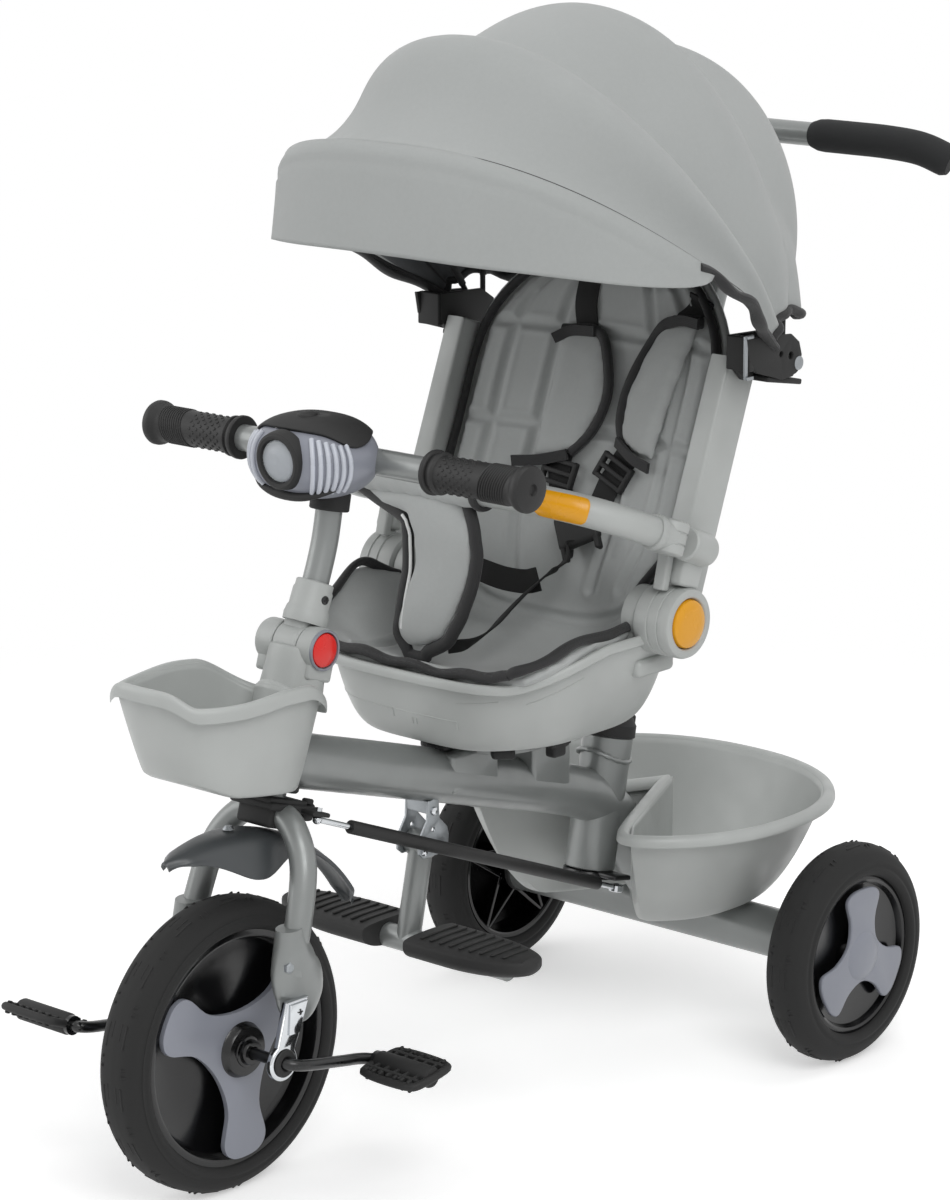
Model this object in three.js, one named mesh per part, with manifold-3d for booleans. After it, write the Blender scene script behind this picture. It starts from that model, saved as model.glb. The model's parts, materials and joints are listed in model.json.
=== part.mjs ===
// Children's tricycle with a swivelling seat, folding canopy, parent push handle and two baskets.
// Millimetres, +Z up. The child faces -Y, so +X is the child's left.
// Shapes are laid out with y = 0 at the front axle; the whole group is then moved by -MIDDLE_Y.
import * as THREE from "three";
import { mergeVertices } from "three/addons/utils/BufferGeometryUtils.js";
import Module from "manifold-3d";

const wasm = await Module();
wasm.setup();

// ---------- Driving dimensions ----------
const MIDDLE_Y = 307.7; // half way between the front tyre and the push handle
const GAP = 0.3; // between pieces that seat on each other
const WHEEL_SIDES = 24;
const LEFT = 1; // the child's left, +X
const RIGHT = -1;

const FRONT_WHEEL = { radius: 127, width: 49, bead: 92, centreZ: 127 };
const REAR_WHEEL = { radius: 102, width: 44, bead: 74, centreZ: 102, centreY: 598, centreX: 208 };

const RAKE = Math.tan(THREE.MathUtils.degToRad(16.95)); // rearward run of the steering axis per mm of height
const HEAD_TUBE = { radius: 21, bore: 14.5, bottomZ: 340, topZ: 407 };
const STEERER_RADIUS = 13;
const MAIN_TUBE_RADIUS = 24;
const AXLE_TUBE = { radius: 23, halfLength: 183 };
const STUB_AXLE_RADIUS = 7;

const POLE_FOOT = { y: 481, z: 167 };
const POLE_TOP = { y: 507, z: 289 }; // top of the socket tube
const POLE_RADIUS = 15;
const SOCKET_RADIUS = 23.5;

const FOLD_AXIS = { y: 99.5, z: 452.5 }; // handlebar fold hinge
const HANDLEBAR = { y: 146, z: 608, radius: 11.5, halfLength: 214 };
const SWIVEL = { y: 347, plateZ: 331 }; // seat turns about a vertical line here
const RECLINE = { y: 395, z: 445, radius: 31 }; // backrest hinge, along X
const CANOPY_HUB = { y: 530, z: 657 }; // canopy bows turn about this line, along X
const FOOTREST_PIVOT = { y: 250, z: 244 };

// ---------- Finishes ----------
function finish(color, roughness, metalness = 0) {
  return new THREE.MeshStandardMaterial({ color, roughness, metalness });
}
const FRAME_PAINT = finish("#83878a", 0.35, 0.3);
const GREY_PLASTIC = finish("#adb0ae", 0.5);
const DARK_PLASTIC = finish("#3c3e40", 0.55);
const BLACK_PLASTIC = finish("#1b1b1c", 0.5);
const BLACK_RUBBER = finish("#161617", 0.8);
const COVER_PLASTIC = finish("#8f929c", 0.4);
const CHROME = finish("#c9cccf", 0.18, 1);
const ZINC = finish("#9ea3a6", 0.4, 0.9);
const BLACK_STEEL = finish("#1d1d1f", 0.35, 0.6);
const GREY_FABRIC = finish("#b0b3b1", 0.9);
const BLACK_WEBBING = finish("#1a1a1b", 0.9);
const RED_PLASTIC = finish("#e8251f", 0.35);
const AMBER_PLASTIC = finish("#e5a00e", 0.35);
const CLEAR_LENS = finish("#dfe6e8", 0.1);

// ---------- Modelling helpers ----------
const P = (x, y, z) => new THREE.Vector3(x, y, z);
const lerp = THREE.MathUtils.lerp;
const smooth = THREE.MathUtils.smoothstep;
const radians = THREE.MathUtils.degToRad;

// A closed geometry as a manifold-3d solid, its faces turned to point out.
function toSolid(geometry) {
  const bare = geometry.clone();
  bare.deleteAttribute("normal");
  bare.deleteAttribute("uv");
  const merged = mergeVertices(bare, 1e-4);
  const triVerts = new Uint32Array(merged.index.array);
  const vertProperties = new Float32Array(merged.attributes.position.array);
  const solid = new wasm.Manifold(new wasm.Mesh({ numProp: 3, vertProperties, triVerts }));
  if (solid.volume() >= 0) return solid;
  for (let i = 0; i < triVerts.length; i += 3) {
    [triVerts[i + 1], triVerts[i + 2]] = [triVerts[i + 2], triVerts[i + 1]];
  }
  return new wasm.Manifold(new wasm.Mesh({ numProp: 3, vertProperties, triVerts }));
}

function toGeometry(solid) {
  const mesh = solid.getMesh();
  const geometry = new THREE.BufferGeometry();
  geometry.setAttribute("position", new THREE.BufferAttribute(mesh.vertProperties, 3));
  geometry.setIndex(new THREE.BufferAttribute(mesh.triVerts, 1));
  geometry.computeVertexNormals();
  return geometry;
}

function join(...geometries) {
  return toGeometry(geometries.map(toSolid).reduce((whole, next) => whole.add(next)));
}

function cut(geometry, ...tools) {
  return toGeometry(tools.map(toSolid).reduce((left, tool) => left.subtract(tool), toSolid(geometry)));
}

function common(first, second) {
  return toGeometry(toSolid(first).intersect(toSolid(second)));
}

function moved(geometry, x, y, z) {
  return geometry.clone().translate(x, y, z);
}

// The same shape on the other side of the tricycle.
function mirrored(geometry) {
  return toGeometry(toSolid(geometry.clone().scale(-1, 1, 1)));
}

// Runs along +Y in a geometry class; turned here to run from one point to another.
function between(geometry, from, to) {
  const direction = to.clone().sub(from);
  const turn = new THREE.Quaternion().setFromUnitVectors(P(0, 1, 0), direction.normalize());
  return geometry.applyQuaternion(turn).translate(from.x, from.y, from.z);
}

function rod(radius, from, to, sides = 16, endRadius = radius) {
  const length = from.distanceTo(to);
  const cylinder = new THREE.CylinderGeometry(endRadius, radius, length, sides);
  return between(cylinder.translate(0, length / 2, 0), from, to);
}

function acrossRod(radius, fromX, toX, y, z, sides = 16) {
  return rod(radius, P(fromX, y, z), P(toX, y, z), sides);
}

function block(width, depth, height, x, y, z, tilt = 0) {
  const box = new THREE.BoxGeometry(width, depth, height);
  return box.rotateX(radians(tilt)).translate(x, y, z);
}

// A solid of revolution: profile pairs are [radius, distance along the axis].
function turned(profile, origin, towards, sides = 24) {
  const points = profile.map(([radius, along]) => new THREE.Vector2(radius, along));
  return between(new THREE.LatheGeometry(points, sides), origin, towards);
}

function circle(radius, sides) {
  const shape = new THREE.Shape();
  for (let i = 0; i < sides; i += 1) {
    const angle = (2 * Math.PI * i) / sides;
    const corner = [radius * Math.cos(angle), radius * Math.sin(angle)];
    if (i === 0) shape.moveTo(...corner);
    else shape.lineTo(...corner);
  }
  shape.closePath();
  return shape;
}

// A bar of one section along a smooth curve through the points.
function tube(points, radius, steps = 14, sides = 12) {
  const extrudePath = new THREE.CatmullRomCurve3(points, false, "centripetal");
  return new THREE.ExtrudeGeometry(circle(radius, sides), { steps, bevelEnabled: false, extrudePath });
}

// A flat outline given in (y, z), as thick as depth and centred on x.
function sidePlate(outline, depth, x, bevel = 0) {
  const settings = {
    depth: depth - 2 * bevel,
    bevelEnabled: bevel > 0,
    bevelThickness: bevel,
    bevelSize: bevel,
    bevelOffset: -bevel,
    bevelSegments: 1,
    curveSegments: 6,
  };
  const plate = new THREE.ExtrudeGeometry(outline, settings).translate(0, 0, bevel - depth / 2);
  plate.applyMatrix4(new THREE.Matrix4().set(0, 0, 1, x, 1, 0, 0, 0, 0, 1, 0, 0, 0, 0, 0, 1));
  return plate;
}

function polygon(corners) {
  return new THREE.Shape(corners.map(([a, b]) => new THREE.Vector2(a, b)));
}

// A closed outline through the corners, with its corners rounded by a spline.
function spline(corners, divisions = 32) {
  const curve = new THREE.CatmullRomCurve3(corners.map(([a, b]) => P(a, b, 0)), true, "centripetal");
  const spots = curve.getSpacedPoints(divisions).slice(0, -1);
  return new THREE.Shape(spots.map((p) => new THREE.Vector2(p.x, p.y)));
}

function reshape(geometry, place) {
  const position = geometry.attributes.position;
  for (let i = 0; i < position.count; i += 1) {
    const [x, y, z] = place(position.getX(i), position.getY(i), position.getZ(i));
    position.setXYZ(i, x, y, z);
  }
  return geometry;
}

// A closed loft. place(angle, rise, spread) gives a point: angle runs round from the front (0) over the
// left side, rise from 0 at the bottom ring to 1 at the top, spread is 1 on the wall and 0 at a cap's middle.
function loft(sides, rings, place) {
  const form = new THREE.CylinderGeometry(1, 1, 1, sides, rings);
  return reshape(form, (x, y, z) => place(Math.atan2(x, z), y + 0.5, Math.hypot(x, z)));
}

// A curved sheet of even thickness. surface(u, v) gives its middle point, with u and v from -1 to 1.
function sheet(columns, rows, thickness, surface) {
  const form = new THREE.BoxGeometry(2, 2, thickness, columns, rows, 1);
  const step = 1e-3;
  return reshape(form, (u, v, w) => {
    const alongU = surface(u + step, v).sub(surface(u - step, v));
    const alongV = surface(u, v + step).sub(surface(u, v - step));
    const normal = alongU.cross(alongV).normalize();
    return surface(u, v).addScaledVector(normal, w).toArray();
  });
}

// A point on a superellipse: power 2 is an ellipse, larger powers are squarer.
function ovalPoint(angle, halfWidth, halfLength, power) {
  const bend = (value) => Math.sign(value) * Math.abs(value) ** (2 / power);
  return [halfWidth * bend(Math.sin(angle)), -halfLength * bend(Math.cos(angle))];
}

function steeringPoint(z) {
  return P(0, (z - FRONT_WHEEL.centreZ) * RAKE, z);
}

const POLE_DIRECTION = P(0, POLE_TOP.y - POLE_FOOT.y, POLE_TOP.z - POLE_FOOT.z).normalize();
function polePoint(z) {
  const run = (z - POLE_FOOT.z) * (POLE_DIRECTION.y / POLE_DIRECTION.z);
  return P(0, POLE_FOOT.y + run, z);
}

// ---------- The finished tricycle ----------
const tricycle = new THREE.Group();
tricycle.position.y = -MIDDLE_Y;

function add(name, geometry, material) {
  const mesh = new THREE.Mesh(toGeometry(toSolid(geometry)), material);
  mesh.name = name;
  tricycle.add(mesh);
}

// ---------- Frame ----------
function mainTubeLine() {
  return [
    P(0, 72, 360),
    P(0, 200, 322.3),
    P(0, 330, 284),
    P(0, 440, 251.5),
    P(0, 490, 230),
    P(0, 530, 192),
    P(0, 568, 142),
    P(0, 597, 103),
  ];
}

function mainFrame() {
  const { radius, bore, bottomZ, topZ } = HEAD_TUBE;
  const { centreY, centreZ, centreX, width } = REAR_WHEEL;
  const headTube = rod(radius, steeringPoint(bottomZ), steeringPoint(topZ), 16);
  const mainTube = tube(mainTubeLine(), MAIN_TUBE_RADIUS, 11, 12);
  const socket = rod(SOCKET_RADIUS, polePoint(POLE_FOOT.z), polePoint(POLE_TOP.z), 16);
  const { radius: axleRadius, halfLength } = AXLE_TUBE;
  const axleTube = acrossRod(axleRadius, -halfLength, halfLength, centreY, centreZ, 16);
  const stubEnd = centreX + width / 2 - 6;
  const stubAxle = acrossRod(STUB_AXLE_RADIUS, -stubEnd, stubEnd, centreY, centreZ, 10);
  const steererBore = rod(bore, steeringPoint(bottomZ - 20), steeringPoint(topZ + 20), 12);
  const poleBore = rod(POLE_RADIUS + 1, polePoint(POLE_FOOT.z - 20), polePoint(POLE_TOP.z + 20), 12);
  const steel = join(headTube, mainTube, socket, axleTube, stubAxle, ...pedestal());
  return cut(steel, steererBore, poleBore);
}

function turntableDisc(radius, fromZ, toZ, sides = 18) {
  return rod(radius, P(0, SWIVEL.y, fromZ), P(0, SWIVEL.y, toZ), sides);
}

// Two legs welded on the main tube carry the round plate that the turntable sits on.
function pedestal() {
  const plate = turntableDisc(54, SWIVEL.plateZ - 12, SWIVEL.plateZ - 5);
  const frontLeg = block(46, 62, 36, 0, 297, 306);
  const rearLeg = block(46, 52, 62, 0, 401, 293);
  return [plate, frontLeg, rearLeg];
}

function poleCollar() {
  const outside = rod(SOCKET_RADIUS + 1.5, polePoint(POLE_TOP.z + GAP), polePoint(POLE_TOP.z + 18), 16, 21);
  const hole = rod(POLE_RADIUS + 1, polePoint(POLE_TOP.z - 20), polePoint(POLE_TOP.z + 40), 12);
  return cut(outside, hole);
}

// The black turntable plate, with a lever tab at the front, at the back and on each side.
function swivelPlate() {
  const bottom = SWIVEL.plateZ - 5 + GAP;
  const disc = turntableDisc(56, bottom, SWIVEL.plateZ);
  const sideTabs = block(150, 26, 4.4, 0, SWIVEL.y, bottom + 2.2);
  const endTabs = block(26, 150, 4.4, 0, SWIVEL.y, bottom + 2.2);
  return join(disc, sideTabs, endTabs);
}

// ---------- Rear basket ----------
const REAR_BASKET = {
  y: 562,
  rimZ: 228,
  floorZ: 125.4,
  halfWidth: 166,
  halfLength: 160,
  power: 2.2,
  wall: 2.5,
};

function rearBasketForm(inset, topZ) {
  const { y, rimZ, floorZ, halfWidth, halfLength, power } = REAR_BASKET;
  return loft(22, 3, (angle, rise, spread) => {
    const z = lerp(floorZ + inset, topZ, rise ** 1.5);
    const share = THREE.MathUtils.clamp((z - floorZ) / (rimZ - floorZ), 0, 1);
    const swell = 0.6 + 0.4 * share ** 0.55;
    const [x, run] = ovalPoint(angle, halfWidth * swell - inset, halfLength * swell - inset, power);
    return [x * spread, y + run * spread, z];
  });
}

// A rolled lip carried round a rim. section pairs are [distance outwards, height] and close on themselves.
function rolledRim(section, sides, rimPoint) {
  const far = 100;
  const outline = section.map(([out, height]) => new THREE.Vector2(out + far, height));
  const ring = new THREE.LatheGeometry(outline, sides);
  return reshape(ring, (a, height, b) => {
    const [x, run, z] = rimPoint(Math.atan2(a, b));
    const stretch = 1 + (Math.hypot(a, b) - far) / Math.hypot(x, run);
    return [x * stretch, run * stretch, z + height];
  });
}

// The frame passes through a notch at the front, V-shaped in plan, that follows the main tube down.
function frameNotch(clearance) {
  const wedge = polygon([[-104 - clearance, 380], [0, 598 + 2 * clearance], [104 + clearance, 380]]);
  const notch = new THREE.ExtrudeGeometry(wedge, { depth: 200, bevelEnabled: false }).translate(0, 0, 100);
  const tubeRoom = tube([...mainTubeLine(), P(0, 616, 78)], MAIN_TUBE_RADIUS + 2.5 + clearance, 12, 12);
  return join(notch, tubeRoom);
}

function rearBasket() {
  const { floorZ, rimZ, wall, y, halfWidth, halfLength, power } = REAR_BASKET;
  const lip = [[-3, -3], [-1, 2], [5, 3], [9, -1], [9, -9], [6.4, -9], [6.4, -2], [-3, -3]];
  const roll = rolledRim(lip, 22, (angle) => [...ovalPoint(angle, halfWidth, halfLength, power), rimZ]);
  const outside = join(rearBasketForm(0, rimZ), roll.translate(0, y, 0));
  const inside = rearBasketForm(wall, rimZ + 12);
  const shell = cut(cut(outside, frameNotch(0)), cut(inside, frameNotch(wall)));
  const floorRings = [12, 22].map((radius) => {
    const profile = [[radius, 0], [radius + 3, 0], [radius + 3, 2], [radius, 2], [radius, 0]];
    const origin = P(0, y + 73, floorZ + wall - 0.4);
    return turned(profile, origin, origin.clone().add(P(0, 0, 1)), 14);
  });
  return join(shell, ...floorRings);
}

// ---------- Wheels ----------
// Profiles are turned about the wheel's own axle, along X; along is measured from the wheel's middle plane.
function wheelPiece(profile, x, y, z) {
  return turned(profile, P(x, y, z), P(x + 1, y, z), WHEEL_SIDES);
}

function tyre({ radius, width, bead, centreZ }, x, y) {
  const half = width / 2;
  const side = [[bead, half - 5], [bead + 8, half], [radius - 8, half - 3], [radius, half - 13]];
  const profile = [...side, ...side.map(([r, along]) => [r, -along]).reverse(), side[0]];
  return wheelPiece(profile, x, y, centreZ);
}

// A web between hub and rim, strutted on its inner side by pairs of ribs that form triangles.
function rearRim(side) {
  const { width, bead, centreZ, centreX, centreY } = REAR_WHEEL;
  const half = width / 2;
  const edge = bead - GAP;
  const bore = STUB_AXLE_RADIUS + 0.5;
  const profile = [
    [bore, 3 - half], [18, 3 - half], [18, 6], [edge - 6, 8], [edge - 4, 5 - half], [edge, 5 - half],
    [edge, half - 5], [edge - 5, half - 5], [edge - 9, 11], [18, 10],
    [18, half - 6], [bore, half - 6], [bore, 3 - half],
  ].map(([radius, along]) => [radius, side * along]);
  const form = wheelPiece(profile, side * centreX, centreY, centreZ);
  const depth = half + 3;
  const ribs = [];
  for (let spoke = 0; spoke < 5; spoke += 1) {
    for (const lean of [-14, 14]) {
      const rib = new THREE.BoxGeometry(depth, 3.2, edge - 18).rotateX(radians(lean));
      rib.translate(side * (8 - depth / 2), lean * 0.55, (edge + 12) / 2);
      ribs.push(rib.rotateX(radians(72 * spoke)).translate(side * centreX, centreY, centreZ));
    }
  }
  return join(form, ...ribs);
}

// A deep web with a stepped hub boss that stands out through the spoke cover on each side.
function frontRim() {
  const { width, bead, centreZ } = FRONT_WHEEL;
  const half = width / 2;
  const edge = bead - GAP;
  const face = half - 6;
  const boss = face + 5 + 2 * GAP;
  const side = [
    [5.8, boss + 14], [11, boss + 14], [13, boss + 8], [22, boss + 7], [24, boss], [13.6, boss],
    [13.6, face], [24, face], [24, 6], [edge - 12, 3], [edge - 7, half - 5], [edge, half - 5],
  ];
  const profile = [...side, ...side.map(([r, along]) => [r, -along]).reverse(), side[0]];
  return wheelPiece(profile, 0, 0, centreZ);
}

// Three paddles that meet round the hub.
function spokeCover(length, paddle, waist, x, y, z, side, startAngle, bore) {
  const corners = [];
  for (let lobe = 0; lobe < 3; lobe += 1) {
    const turn = startAngle + lobe * 120;
    const place = (along, across) => {
      const a = radians(turn);
      corners.push([along * Math.cos(a) - across * Math.sin(a), along * Math.sin(a) + across * Math.cos(a)]);
    };
    place(length * 0.52, -paddle * 0.62);
    place(length * 0.84, -paddle * 0.94);
    place(length * 0.97, -paddle * 0.62);
    place(length, 0);
    place(length * 0.97, paddle * 0.62);
    place(length * 0.84, paddle * 0.94);
    place(length * 0.52, paddle * 0.62);
    const between60 = radians(turn + 60);
    corners.push([waist * Math.cos(between60), waist * Math.sin(between60)]);
  }
  const plate = moved(sidePlate(spline(corners, 39), 5, x), 0, y, z);
  return bore > 0 ? cut(plate, acrossRod(bore, x - 10 * side, x + 10 * side, y, z, 20)) : plate;
}

function rearWheel(side, word) {
  const { centreX, centreY, centreZ, width } = REAR_WHEEL;
  const x = side * centreX;
  add(`${word}_rear_tyre`, tyre(REAR_WHEEL, x, centreY), BLACK_RUBBER);
  add(`${word}_rear_rim`, rearRim(side), BLACK_PLASTIC);
  const faceX = side * (centreX + width / 2 - 6 + GAP);
  const paddles = spokeCover(64, 27, 25, faceX + side * 2.5, centreY, centreZ, side, 90, 0);
  const cap = acrossRod(24, faceX + side * 0.5, faceX + side * 8, centreY, centreZ, 24);
  add(`${word}_rear_cover`, join(paddles, cap), COVER_PLASTIC);
}

// ---------- Front wheel, crank and pedals ----------
const CRANK_THROW = { leftY: 95.5, leftZ: 107, rightY: -86, rightZ: 144.6 };
const PEDAL_X = 120;

function crankLine(side, y, z) {
  const axleZ = FRONT_WHEEL.centreZ;
  const line = [
    [0, 0, 0], [30, 0, 0], [60, 0, 0], [76, 0, 0], [84, 0.14, 0.14], [82, 0.6, 0.6],
    [80, 0.85, 0.85], [83, 0.97, 0.97], [91, 1, 1], [PEDAL_X + 26, 1, 1],
  ];
  return line.map(([x, alongY, alongZ]) => P(side * x, y * alongY, axleZ + (z - axleZ) * alongZ));
}

// One bent steel rod through the hub: its ends are set opposite each other.
function crank() {
  const { leftY, leftZ, rightY, rightZ } = CRANK_THROW;
  const left = tube(crankLine(LEFT, leftY, leftZ), 5, 15, 6);
  const right = tube(crankLine(RIGHT, rightY, rightZ), 5, 15, 6);
  return join(left, right, acrossRod(5, -20, 20, 0, FRONT_WHEEL.centreZ, 6));
}

// The pedal's ribbed tread stands on a core that turns on the crank end.
function pedal(side, y, z) {
  const x = side * (PEDAL_X + 2);
  const ends = [-1, 1].map((end) => block(56, 6, 20, x, y + end * 21, z));
  const bars = [-25.5, -8.5, 8.5, 25.5].map((along) => block(5, 42, 14, x + along, y, z));
  const core = acrossRod(9, x - 28, x + 28, y, z, 8);
  const bore = acrossRod(6.2, x - 40 * side, x + 26 * side, y, z, 8);
  return cut(join(...ends, ...bars, core), bore);
}

function frontWheel() {
  const { centreZ, width } = FRONT_WHEEL;
  const face = width / 2 - 6 + GAP;
  add("front_tyre", tyre(FRONT_WHEEL, 0, 0), BLACK_RUBBER);
  add("front_rim", frontRim(), BLACK_PLASTIC);
  for (const [side, word] of [[LEFT, "left"], [RIGHT, "right"]]) {
    const paddles = spokeCover(82, 30, 33, side * (face + 2.5), 0, centreZ, side, 152, 14);
    add(`${word}_spoke_cover`, paddles, COVER_PLASTIC);
  }
  add("crank", crank(), BLACK_STEEL);
  add("left_pedal", pedal(LEFT, CRANK_THROW.leftY, CRANK_THROW.leftZ), BLACK_PLASTIC);
  add("right_pedal", pedal(RIGHT, CRANK_THROW.rightY, CRANK_THROW.rightZ), BLACK_PLASTIC);
}

// ---------- Fork, mudguard and steering block ----------
const LEG_X = 60;

function forkLine() {
  const half = [P(LEG_X, 20, 196), P(59, 34, 240), P(52, 47, 282), P(34, 55, 308), P(14, 58, 317)];
  return [...half, ...half.map((p) => P(-p.x, p.y, p.z)).reverse()];
}

// A tube bent to a U; its legs are flattened and widened at the bottom to take the dropouts.
function frontFork() {
  const legs = tube(forkLine(), 11.5, 16, 10);
  const corners = [
    [4, 232], [28, 240], [38, 232], [46, 205], [52, 190],
    [46, 164], [30, 152], [12, 152], [0, 162], [-2, 190],
  ];
  const paddle = spline(corners, 14);
  const blades = [LEG_X, -LEG_X].map((x) => sidePlate(paddle, 14, x, 2));
  const steerer = rod(STEERER_RADIUS, steeringPoint(312), steeringPoint(434), 12);
  return join(legs, ...blades, steerer);
}

function dropout(side) {
  const axleZ = FRONT_WHEEL.centreZ;
  const x = side * (LEG_X + 7 + GAP + 3);
  const eye = [];
  for (let angle = -215; angle <= 35; angle += 31.25) {
    eye.push([16 * Math.cos(radians(angle)), axleZ + 16 * Math.sin(radians(angle))]);
  }
  const outline = polygon([[6, 178], ...eye, [20, 150], [30, 178]]);
  const hole = acrossRod(7, x - 10, x + 10, 0, axleZ, 16);
  return cut(sidePlate(outline, 6, x), hole);
}

// A saddle-shaped sheet round the tyre, narrow at its tips, whose flaps reach lowest beside the fork.
function mudguard() {
  const arcRadius = 184;
  const guard = sheet(6, 10, 3, (u, v) => {
    const angle = radians(lerp(-20, 61, (v + 1) / 2));
    const flap = Math.exp(-(((v + 0.33) / 0.42) ** 2));
    const halfWidth = lerp(13, 34, flap);
    const drop = 4 * u * u + 34 * flap * u * u * u * u;
    const reach = arcRadius - drop;
    return P(halfWidth * u, reach * Math.sin(angle), FRONT_WHEEL.centreZ + reach * Math.cos(angle));
  });
  return guard;
}

// The block under the basket clamps the fork's crown; its tab holds the front eye of the steering link.
function steeringBlock() {
  const fork = tube(forkLine(), 11.5 + 2 * GAP, 16, 10);
  const steerer = rod(STEERER_RADIUS + GAP, steeringPoint(290), steeringPoint(360), 12);
  const plate = block(50, 60, 9, 0, 67, 320, -17);
  const tab = block(18, 20, 4, 30, 84, 315, -17);
  const neck = block(38, 30, 22, 0, 57, 317, -17);
  return cut(join(plate, tab, neck), fork, steerer, linkHook(3.2));
}

// ---------- Front basket ----------
const FRONT_BASKET = { y: 4, floorZ: 349, rimZ: 437, halfWidth: 66, halfLength: 86, power: 2.6, wall: 2.4 };

// The rim stands up at the front lip, waves along the sides and falls away at the back corners.
function frontBasketRimZ(run) {
  const { rimZ, halfLength } = FRONT_BASKET;
  const frontLip = 13 * smooth(-run, halfLength - 16, halfLength);
  const hump = 3 * Math.exp(-(((run - 8) / 30) ** 2));
  return rimZ + frontLip + hump - 31 * smooth(run, 35, 95);
}

// The floor rises gently forwards, then curls up to the front wall.
function frontBasketFloorZ(run) {
  return FRONT_BASKET.floorZ - 0.15 * run + 9 * smooth(-run, 25, 66);
}

function frontBasketForm(inset, above) {
  const { y, halfWidth, halfLength, power } = FRONT_BASKET;
  return loft(20, 3, (angle, rise, spread) => {
    const swell = rise ** 0.8;
    const halfX = halfWidth * lerp(0.79, 1, swell) - inset;
    const halfY = halfLength * lerp(0.74, 1, swell) - inset;
    const [x, run] = ovalPoint(angle, halfX, halfY, power);
    const [, rimRun] = ovalPoint(angle, halfWidth, halfLength, power);
    const z = lerp(frontBasketFloorZ(run * spread) + inset, frontBasketRimZ(rimRun) + above, rise);
    return [x * spread, y + run * spread, z];
  });
}

function frontBasket() {
  const { wall, halfWidth, halfLength, power, y } = FRONT_BASKET;
  const lip = [[-3, -3], [-1, 2], [3, 3], [6, -1], [6, -12], [4, -12], [4, -2], [-3, -3]];
  const roll = rolledRim(lip, 20, (angle) => {
    const [x, run] = ovalPoint(angle, halfWidth, halfLength, power);
    return [x, run, frontBasketRimZ(run)];
  });
  const recess = (radius) => {
    const round = rod(radius, steeringPoint(290), steeringPoint(490), 16);
    return join(round, block(2 * radius, 80, 240, 0, 116, 390, -17));
  };
  const outside = cut(join(frontBasketForm(0, 0), moved(roll, 0, y, 0)), recess(30));
  const inside = cut(frontBasketForm(wall, 8), recess(30 + wall));
  return cut(outside, inside);
}

// ---------- Head housing, folding stem and handlebar ----------
const FOLD_RADIUS = 18.5;
const STEM_FOOT = P(0, 110, 479);

function headHousing() {
  const { y, z } = FOLD_AXIS;
  const skirt = rod(27, steeringPoint(411), steeringPoint(449), 18, 25);
  const cheeks = acrossRod(FOLD_RADIUS, -36, 28, y, z, 18);
  const barrelRoom = acrossRod(FOLD_RADIUS + 0.8, -16, 12, y, z, 18);
  const stemRoom = block(28, 60, 40, -2, y, z + 20);
  const steererBore = rod(STEERER_RADIUS + GAP, steeringPoint(380), steeringPoint(434.4), 12);
  const buttonWell = acrossRod(15.5, 18.6, 40, y, z, 18);
  return cut(join(skirt, cheeks), barrelRoom, stemRoom, steererBore, buttonWell);
}

function foldButton() {
  const { y, z } = FOLD_AXIS;
  return turned([[0, 0], [15, 0], [15, 7], [13.5, 8.6], [0, 9.4]], P(22, y, z), P(23, y, z), 18);
}

function stemKnuckle() {
  const { y, z } = FOLD_AXIS;
  const barrel = acrossRod(FOLD_RADIUS, -15.4, 11.4, y, z, 18);
  const neck = block(26.4, 26, 30, -2, y + 5.5, z + 15, -20);
  const collar = rod(17, P(0, 106.5, 474), P(0, 119, 503), 16);
  const stemBore = rod(HANDLEBAR.radius + 1, STEM_FOOT, P(0, 130, 530), 16);
  return cut(join(barrel, neck, collar), stemBore);
}

function handlebar() {
  const { y, z, radius, halfLength } = HANDLEBAR;
  const stemLine = [P(0, 111.5, 482.5), P(0, 118, 500), P(0, 131, 537), P(0, 139.5, 579), P(0, y, z)];
  const stem = tube(stemLine, radius, 7, 12);
  return join(stem, acrossRod(radius, -halfLength, halfLength, y, z, 12));
}

// A ribbed grip with a flange at each end, closed over the bar's end.
function grip(side) {
  const { y, z, radius, halfLength } = HANDLEBAR;
  const bore = radius + GAP;
  const rib = (start) => [[15.4, start], [16.8, start + 4], [16.8, start + 22], [15.4, start + 26]];
  const ribs = [14, 50].flatMap(rib);
  const profile = [
    [bore, 0], [19, 0], [19, 4], [15.4, 6], ...ribs,
    [19.5, 98], [19.5, 106], [0, 108], [0, 105.6], [bore, 105.6], [bore, 0],
  ];
  const start = side * (halfLength - 105);
  return turned(profile, P(start, y, z), P(start + side, y, z), 12);
}

// ---------- Lamp ----------
const LAMP = { y: 120, z: 611, halfWidth: 58, halfDepth: 44, halfHeight: 34 };

// A squarish egg, wider than deep.
function lampForm(grow) {
  const { y, z, halfWidth, halfDepth, halfHeight } = LAMP;
  const ball = new THREE.SphereGeometry(1, 18, 10);
  const fill = (value) => Math.sign(value) * Math.abs(value) ** 0.85;
  return reshape(ball, (a, b, c) => {
    const squeeze = 1 - 0.2 * Math.abs(a) ** 3;
    const up = (halfHeight + grow) * fill(b) * squeeze;
    return [(halfWidth + grow) * fill(a), y + (halfDepth + grow) * fill(c), z + up];
  });
}

function lampRoom() {
  const { y, z, radius } = HANDLEBAR;
  const bar = acrossRod(radius + GAP, -80, 80, y, z, 12);
  const stem = rod(radius + GAP + 0.5, P(0, 134, 550), P(0, y, z), 12);
  const lensWell = rod(18.4, P(0, 50, 611.4), P(0, 86, 613.5), 18);
  return [bar, stem, lensWell];
}

function aboveLampSeam(lift) {
  return block(140, 140, 60, 0, LAMP.y, 652 + lift, 8);
}

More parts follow.
